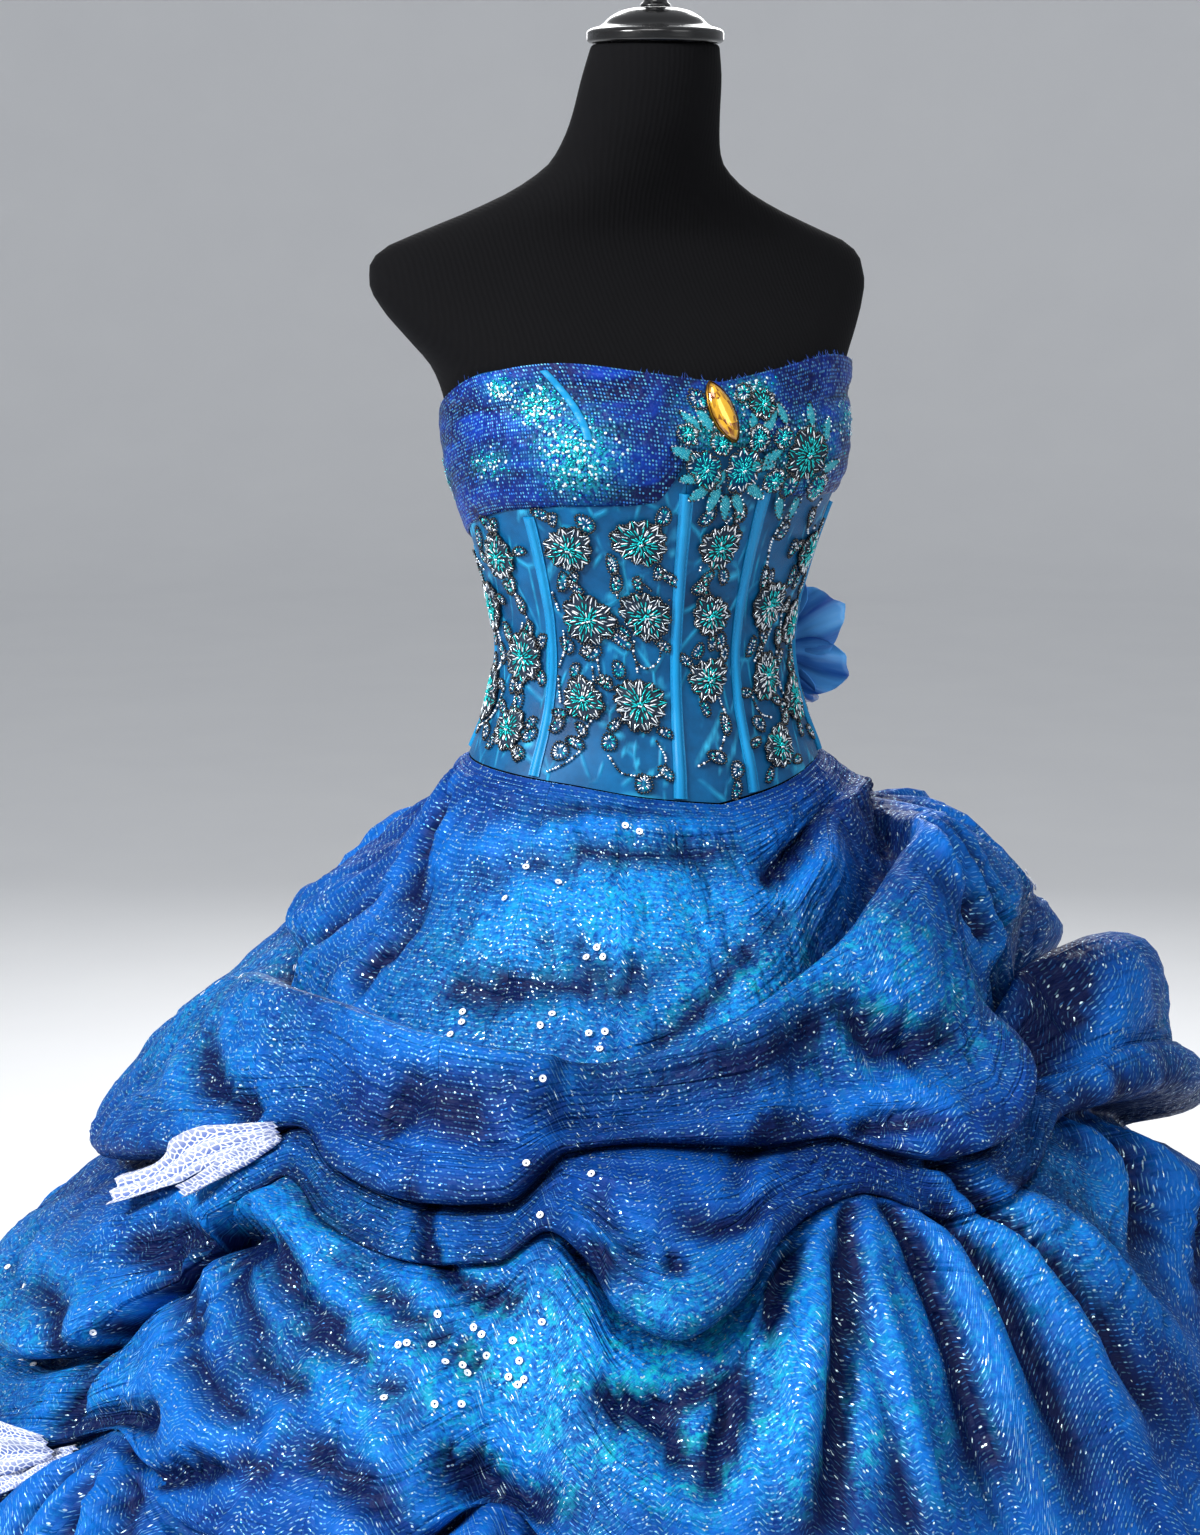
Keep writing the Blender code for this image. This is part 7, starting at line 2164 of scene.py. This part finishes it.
# Satin rosette at the left side back of the waist: cupped petals of sky blue satin, each cut on the
# bias, eased round its edge and sewn down by its foot, round a heart rolled from one strip.
ROSETTE = {"angle": 99.0, "height": 1.085, "cup": 0.024, "stand": 0.009, "cloth": 0.0009, "clear": 0.0014}
PETALS = (
    # way it points in degrees, half spread, reach, lift of its layer, curl of its edge
    (90.0, 44.0, 0.053, 0.0000, 0.007),
    (28.0, 46.0, 0.055, 0.0012, 0.009),
    (-34.0, 42.0, 0.054, 0.0000, 0.006),
    (-92.0, 46.0, 0.052, 0.0012, 0.010),
    (-152.0, 42.0, 0.054, 0.0000, 0.007),
    (148.0, 46.0, 0.053, 0.0012, 0.008),
    (60.0, 48.0, 0.040, 0.0050, 0.008),
    (-12.0, 46.0, 0.041, 0.0062, 0.006),
    (-84.0, 46.0, 0.039, 0.0050, 0.009),
    (-156.0, 46.0, 0.040, 0.0062, 0.007),
    (132.0, 46.0, 0.041, 0.0050, 0.006),
)
PETAL_GRID = (22, 16)
HEART = {
    "turns": 2.6, "inner": 0.0022, "outer": 0.0125, "height": 0.024, "columns": 90, "rows": 8,
    "cloth": 0.0008,
}


def rose_satin_finish():
    """Polyester satin cut on the bias: smooth, with small pulled creases, a painted streak of sheen, and
    painted highlight and shade along its creases.
    """
    made, tree, shader = finish_named(
        "sky blue polyester satin", roughness=0.32, specular_ior_level=0.55, anisotropic=0.4,
    )
    flat = add(tree, "UVMap", uv_map="cloth")
    fold = add(tree, "Attribute", attribute_name="crease").outputs["Fac"]
    bias = add(tree, "Mapping", {"Vector": flat, "Scale": (420.0, 60.0, 1.0)})
    grain = add(tree, "TexNoise", {"Vector": bias, "Scale": 1.0, "Detail": 3.0})
    colour = add(
        tree, "Mix", {"Factor": fold, "A": linear("0644A8"), "B": linear("62B8FF")}, data_type="RGBA",
    )
    # Painted sheen: a soft streak painted lighter along the bias
    painted_streak_mask = add(tree, "MapRange", {"Value": grain, "From Min": 0.5, "From Max": 0.8, "To Max": 0.25})
    streak = add(tree, "Mix", {"Factor": painted_streak_mask, "A": colour, "B": linear("8CCBFF")}, data_type="RGBA")
    bump = add(tree, "Bump", {"Height": grain, "Strength": 0.35, "Distance": 0.0006})
    wire(tree, shader, {"Base Color": streak, "Normal": bump})
    return made


rose_satin = rose_satin_finish()
seat = Vector(torso_point(ROSETTE["angle"], ROSETTE["height"], outside + ROSETTE["clear"]))
facing_out = (Vector(torso_point(ROSETTE["angle"], ROSETTE["height"], outside + 0.02)) - seat).normalized()
rose_turn = np.array(facing_out.to_track_quat("Z", "Y").to_matrix())
for number, (way, spread_half, reach, layer, curl) in enumerate(PETALS):
    u = np.linspace(-1.0, 1.0, PETAL_GRID[0] + 1)[:, None]
    v = np.linspace(0.0, 1.0, PETAL_GRID[1] + 1)[None, :]
    # Narrow at the foot, widest at two thirds, and rounded or a little pointed at the end
    sweep = np.radians(
        way + spread_half * u * (0.55 + 0.45 * np.sin(np.pi * np.clip(0.15 + 0.62 * v, 0, 1)))
    )
    end = 1.0 - 0.20 * np.abs(u) ** 2.4 + 0.05 * np.exp(-(u / 0.15) ** 2)
    out = 0.010 + (reach - 0.010) * v * end
    sharp = np.abs(np.sin(u * 9.0 + 2.1 * number + 0.8 * v)) ** 0.5
    crease = 0.5 * np.sin(u * 7.0 + 1.3 * number) + 0.5 * sharp - 0.3
    cupped = ROSETTE["cup"] * (v * end) ** 2.2 * (reach / 0.055)
    lift = ROSETTE["stand"] * np.minimum(1.0, 2.5 * v) + cupped + layer
    lift = lift + 0.0040 * crease * v + curl * (0.5 - np.abs(u)) * v ** 3 + 0.0011
    outer = np.stack([out * np.cos(sweep), out * np.sin(sweep), lift], axis=-1)
    inner = outer - np.array([0.0, 0.0, ROSETTE["cloth"]])
    inner[..., :2] *= 1.0 + (0.6 * ROSETTE["cloth"] / np.maximum(out, 0.01))[..., None] * v[..., None] ** 2
    outer, inner = (part @ rose_turn.T + np.array(seat) for part in (outer, inner))
    flat = np.stack([u * 0.024 + 0 * v, v * 0.045 + 0 * u], axis=-1)
    # Painted highlight and shade: raised creases and the outer end of a petal are painted lighter, the
    # troughs and its foot darker
    tint = np.clip(0.42 + 0.75 * crease * (0.3 + v) + 0.35 * (v - 0.5), 0.0, 1.0)
    petal = cloth_shell(f"rosette_petal_{number + 1:02d}", outer, inner, rose_satin, flat, {"crease": tint})
    if number == 0:
        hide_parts("rosette_petals")
roll = np.linspace(0.0, 1.0, HEART["columns"] + 1)[:, None]
up = np.linspace(0.0, 1.0, HEART["rows"] + 1)[None, :]
around = roll * math.tau * HEART["turns"]
radius_here = HEART["inner"] + (HEART["outer"] - HEART["inner"]) * roll ** 0.8
flare = radius_here * (0.55 + 0.55 * up ** 1.5) + 0.0006 * np.sin(around * 2.3) * up
rise = HEART["height"] * up * (1.0 - 0.25 * roll + 0.05 * np.sin(around * 1.7)) + 0.0016
outer = np.stack([flare * np.cos(around), flare * np.sin(around), rise], axis=-1)
inner = np.stack(
    [(flare - HEART["cloth"]) * np.cos(around), (flare - HEART["cloth"]) * np.sin(around), rise], axis=-1,
)
outer, inner = (part @ rose_turn.T + np.array(seat) for part in (outer, inner))
flat = np.stack([roll * 0.105 + 0 * up, up * HEART["height"] + 0 * roll], axis=-1)
# Painted highlight: the rolled heart is painted lighter towards its top
heart = cloth_shell(
    "rosette_rolled_heart", outer, inner, rose_satin, flat, {"crease": 0.35 + 0.5 * up + 0 * roll},
)
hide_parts("rosette_heart")


# White net ribbons: strips torn from nylon net, folded in two and tied on at a tack, with their free
# ends left raw. Net is stiff, so they bridge the poufs' hollows and ripple along their edges.
RIBBONS = (
    # name, node, start angle, start height, end angle, end height, width, curl of the free end
    ("ribbon_side_net", "ribbon_tie_side", -77.0, 0.778, -92.0, 0.722, 0.030, 0.006),
    ("ribbon_low_net", "ribbon_tie_low", -84.0, 0.560, -96.0, 0.520, 0.036, 0.006),
)
RIBBON = {
    "cloth": 0.0008, "clear": 0.0035, "steps": 36, "across": 10, "pleats": 2.5, "pleat": 0.0024,
    "above": 0.12, "eased": 60,
}


def white_net_finish():
    """Nylon net: crisp white threads in a fine grid; the blue shows faintly through its holes, and the
    pleats carry a painted highlight on their crests and painted shade in their troughs.
    """
    made, tree, shader = finish_named(
        "white nylon net", roughness=0.6, sheen_weight=0.1, specular_ior_level=0.3,
    )
    flat = add(tree, "UVMap", uv_map="cloth")
    crease = add(tree, "Attribute", attribute_name="crease").outputs["Fac"]
    # Threads of the net are 1.2 mm apart; they are drawn 3 mm apart to show
    grid = add(tree, "Mapping", {"Vector": flat, "Scale": (330.0, 330.0, 1.0)})
    cell = add(
        tree, "TexVoronoi", {"Vector": grid, "Scale": 1.0, "Randomness": 0.85}, voronoi_dimensions="2D",
        feature="DISTANCE_TO_EDGE",
    )
    thread = add(
        tree, "MapRange", {"Value": cell, "From Min": 0.05, "From Max": 0.17, "To Min": 1.0, "To Max": 0.0},
    )
    threads_and_painted_pleat_shade = add(tree, "Math", {0: crease, 1: 0.55, 2: thread}, operation="MULTIPLY_ADD")
    colour = add(
        tree, "Mix", {"Factor": threads_and_painted_pleat_shade, "A": linear("1C4A9C"), "B": linear("DCE0E8")}, data_type="RGBA",
        clamp_factor=True,
    )
    bump = add(tree, "Bump", {"Height": thread, "Strength": 0.5, "Distance": 0.0003})
    wire(tree, shader, {"Base Color": colour, "Normal": bump})
    return made


white_net = white_net_finish()
columns, rows = skirt_points.shape[:2]
quads = []
for i in range(columns):
    here, there = i * rows, (i + 1) % columns * rows
    quads += [(here + j, there + j, there + j + 1, here + j + 1) for j in range(rows - 1)]
skirt_tree = BVHTree.FromPolygons(skirt_points.reshape(-1, 3).tolist(), quads)


def skirt_at(angle, level):
    """Point of the skirt at an angle and a laid-flat height."""
    column = int(np.argmin(np.abs(turn_between(skirt_angles, angle))))
    return Vector(skirt_points[column, int(np.argmin(np.abs(flat_height[column] - level)))])


def net_strip(name, path, width, curl, foot=0.35):
    """A strip of net along a path, laid on the highest cloth below it, with its free end curled up."""
    steps, across = len(path) - 1, RIBBON["across"]
    share = np.linspace(0.0, 1.0, steps + 1)[:, None]
    aside_share = np.linspace(-0.5, 0.5, across + 1)[None, :]
    spots = np.zeros((steps + 1, across + 1, 3))
    outwards = np.zeros((steps + 1, 1, 3))
    laid_on = np.zeros((steps + 1, across + 1))
    ahead = (path[-1] - path[0]).normalized()
    for i, point in enumerate(path):
        outward = (Vector((point.x, point.y, 0.0)).normalized() * 0.9 + Vector((0, 0, 0.43))).normalized()
        aside = outward.cross(ahead).normalized()
        gather = foot + (1.0 - foot) * min(1.0, 3.0 * i / steps)
        outwards[i, 0] = outward
        for j in range(across + 1):
            spot = point + aside * aside_share[0, j] * width * gather
            spots[i, j] = spot
            drop = skirt_tree.ray_cast(spot + outward * RIBBON["above"], -outward)[3]
            laid_on[i, j] = RIBBON["above"] - drop if drop is not None else 0.0
    # The net spans the small creases below it: eased over them, and never let through
    high = laid_on.copy()
    for _ in range(RIBBON["eased"]):
        padded = np.pad(high, 1, mode="edge")
        high = np.maximum(
            laid_on, (padded[:-2, 1:-1] + padded[2:, 1:-1] + padded[1:-1, :-2] + padded[1:-1, 2:]) / 4.0,
        )
    wave = np.sin(math.tau * RIBBON["pleats"] * (aside_share + 0.5) + 1.5 * np.sin(share * 5.0))
    rise = RIBBON["clear"] * np.minimum(1.0, 0.25 + share * 4) + RIBBON["pleat"] * (1.0 + wave)
    rise = rise + 2.0 * curl * share ** 3
    ragged = 0.004 * np.sin(math.tau * 5.0 * aside_share) * share ** 6
    out = (high + rise + RIBBON["cloth"])[..., None]
    outer = spots + outwards * out + np.array(ahead) * ragged[..., None]
    below = outer - outwards * RIBBON["cloth"]
    # Painted highlight and shade: the pleats' crests are painted whiter, their troughs bluer
    tint = 0.5 + 0.4 * wave
    down, over = np.linspace(0, 0.08, steps + 1)[:, None], np.linspace(0, width, across + 1)[None, :]
    flat = np.stack(np.broadcast_arrays(down, over), axis=-1)
    return cloth_shell(name, outer, below, white_net, flat, {"crease": np.clip(tint, 0.0, 1.0)})


for name, node, a0, h0, a1, h1, width, curl in RIBBONS:
    path = [skirt_at(a0, h0).lerp(skirt_at(a1, h1), i / RIBBON["steps"]) for i in range(RIBBON["steps"] + 1)]
    ribbon = net_strip(name, path, width, curl)
    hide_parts(node)
    # The second end of the folded strip, shorter and turned down beside the tack
    short = [skirt_at(a0 + 1.0, h0 - 0.004).lerp(skirt_at(a0 - 4.0, h0 - 0.045), i / 20) for i in range(21)]
    tail = net_strip(name + "_tail", short, width * 0.55, 0.004, 0.6)


# Ring sequins on the skirt: white discs, 5 mm across with a hole through the middle, each sewn to the
# mesh by one thread. They gather in loose groups over the lace patches.
RING = {"outer": 0.0026, "inner": 0.0008, "thick": 0.0004, "corners": 12, "stand": 0.0005}
RINGS_SEEN = (
    # across and down in the frame, in pixels
    (564, 776), (638, 785), (625, 826), (639, 832), (526, 868), (558, 883), (506, 899), (597, 948),
    (587, 958), (604, 957), (463, 1013), (462, 1023), (451, 1035), (552, 1015), (541, 1025), (589, 1034),
    (605, 1032), (600, 1050), (542, 1078), (526, 1164), (592, 1175), (541, 1216), (438, 1314), (474, 1327),
    (482, 1335), (513, 1341), (542, 1323), (399, 1346), (407, 1344), (432, 1346), (445, 1363), (462, 1366),
    (467, 1374), (487, 1355), (520, 1361), (509, 1377), (518, 1385), (525, 1380), (384, 1399), (435, 1404),
    (461, 1405),
)
RING_GROUPS = (
    # angle, height, half width in degrees, half height, rings
    (70.0, 0.880, 12.0, 0.030, 9),
    (95.0, 0.700, 10.0, 0.040, 10),
    (135.0, 0.850, 12.0, 0.040, 9),
    (165.0, 0.660, 12.0, 0.050, 10),
    (-165.0, 0.860, 10.0, 0.040, 8),
    (-145.0, 0.720, 12.0, 0.050, 10),
    (-110.0, 0.830, 12.0, 0.040, 9),
    (-100.0, 0.620, 10.0, 0.040, 8),
    (-35.0, 0.440, 14.0, 0.040, 9),
    (60.0, 0.430, 14.0, 0.040, 9),
    (150.0, 0.400, 14.0, 0.050, 9),
    (-140.0, 0.400, 14.0, 0.050, 9),
)
ring_shape = bmesh.new()
bmesh.ops.create_circle(ring_shape, segments=RING["corners"], radius=RING["outer"])
bmesh.ops.create_circle(ring_shape, segments=RING["corners"], radius=RING["inner"])
bmesh.ops.bridge_loops(ring_shape, edges=list(ring_shape.edges))
for vert in ring_shape.verts:
    vert.co.z = RING["thick"] if vert.co.length > 0.5 * (RING["outer"] + RING["inner"]) else 0.0
bmesh.ops.solidify(ring_shape, geom=list(ring_shape.faces), thickness=RING["thick"])
bmesh.ops.recalc_face_normals(ring_shape, faces=ring_shape.faces)
ring_shape.verts.index_update()
ring_places = []


def lay_ring(spot, normal):
    """One ring sequin on the cloth, tipped a little from flat."""
    tipped = (Vector(normal) + Vector([sewing.gauss(0, 0.13) for _ in range(3)])).normalized()
    at = Vector(spot) + Vector(normal) * RING["stand"] * 2
    ring_places.append(laid(at, tipped.orthogonal(), tipped, (1.0, 1.0, 1.0)))


for across, down in RINGS_SEEN:
    spot, normal, _, _ = skirt_tree.ray_cast(camera_at, sight_line(across, down))
    if spot is not None:
        lay_ring(spot, normal if normal.dot(camera_ahead) < 0 else -normal)
for angle, level, wide, high, count in RING_GROUPS:
    for _ in range(count):
        column = int(np.argmin(np.abs(turn_between(skirt_angles - angle, sewing.gauss(0, wide / 2)))))
        row = int(np.argmin(np.abs(flat_height[column] - level - sewing.gauss(0, high / 2))))
        lay_ring(skirt_points[column, row], skirt_normals[column, row])
ring_foil = plain_finish(
    "white pearl sequin", base_color=linear("F4F8FF"), roughness=0.18, metallic=0.15, coat_weight=0.5,
)
sewn("skirt_ring_sequins", [(ring_shape, ring_places, 0)], [ring_foil], 40.0)


# Studio: a pale floor that curves up all round like a paper sweep, soft boxes, and an even pale sky.
SWEEP = {"floor": 9.0, "curve": 3.0, "wall": 7.0}
LIGHTS = (
    # angle round the gown, distance, height, size, power
    (-78.0, 2.9, 2.6, 0.9, 132.0),
    (15.0, 3.2, 2.6, 1.6, 18.0),
    (150.0, 3.0, 2.4, 1.8, 60.0),
    (-40.0, 1.6, 3.2, 1.2, 30.0),
)


def floor_finish():
    """Matt paint, hardly mottled."""
    made, tree, shader = finish_named("pale matt floor", roughness=0.9, specular_ior_level=0.1)
    where = add(tree, "TexCoord").outputs["Object"]
    mottle = add(tree, "TexNoise", {"Vector": where, "Scale": 3.0, "Detail": 5.0})
    pale = add(
        tree, "Mix", {"Factor": mottle, "A": linear("F0F1F3"), "B": linear("F6F7F8")}, data_type="RGBA",
    )
    wire(tree, shader, {"Base Color": pale})
    return made


mesh = bmesh.new()
turn = np.linspace(0.0, math.pi / 2, 13)
outline = [(0.0, 0.0)]
outline += [
    (SWEEP["floor"] + SWEEP["curve"] * math.sin(t), SWEEP["curve"] * (1.0 - math.cos(t)))
    for t in turn
]
outline += [(SWEEP["floor"] + SWEEP["curve"], SWEEP["wall"])]
corners = [mesh.verts.new((across, 0.0, up)) for across, up in outline]
edges = [mesh.edges.new(pair) for pair in zip(corners, corners[1:])]
bmesh.ops.spin(
    mesh, geom=corners + edges, cent=(0, 0, 0), axis=(0, 0, 1), angle=math.tau, steps=96, use_merge=True,
)
bmesh.ops.remove_doubles(mesh, verts=mesh.verts, dist=0.0001)
data = bpy.data.meshes.new("floor")
mesh.to_mesh(data)
mesh.free()
data.materials.append(floor_finish())
data.shade_smooth()
floor = bpy.data.objects.new("floor", data)
bpy.context.scene.collection.objects.link(floor)
floor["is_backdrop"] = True
for i, (angle, distance, high, size, power) in enumerate(LIGHTS):
    lamp = bpy.data.lights.new(f"soft_box_{i + 1}", "AREA")
    lamp.size = size
    lamp.energy = power
    holder = bpy.data.objects.new(f"soft_box_{i + 1}", lamp)
    bpy.context.scene.collection.objects.link(holder)
    around = math.radians(angle)
    at = Vector((distance * math.sin(around), -distance * math.cos(around), high))
    holder.location = at
    holder.rotation_euler = (Vector((0, 0, 0.9)) - at).to_track_quat("-Z", "Y").to_euler()
sky = bpy.data.worlds.new("studio")
bpy.context.scene.world = sky
sky.use_nodes = True
sky.node_tree.nodes["Background"].inputs["Color"].default_value = linear("F0F3F8")
sky.node_tree.nodes["Background"].inputs["Strength"].default_value = 0.45

bpy.context.scene.view_settings.view_transform = "Standard"

low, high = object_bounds()
{"cad": [list(cad_low), list(cad_high)], "visual": [list(low), list(high)]}
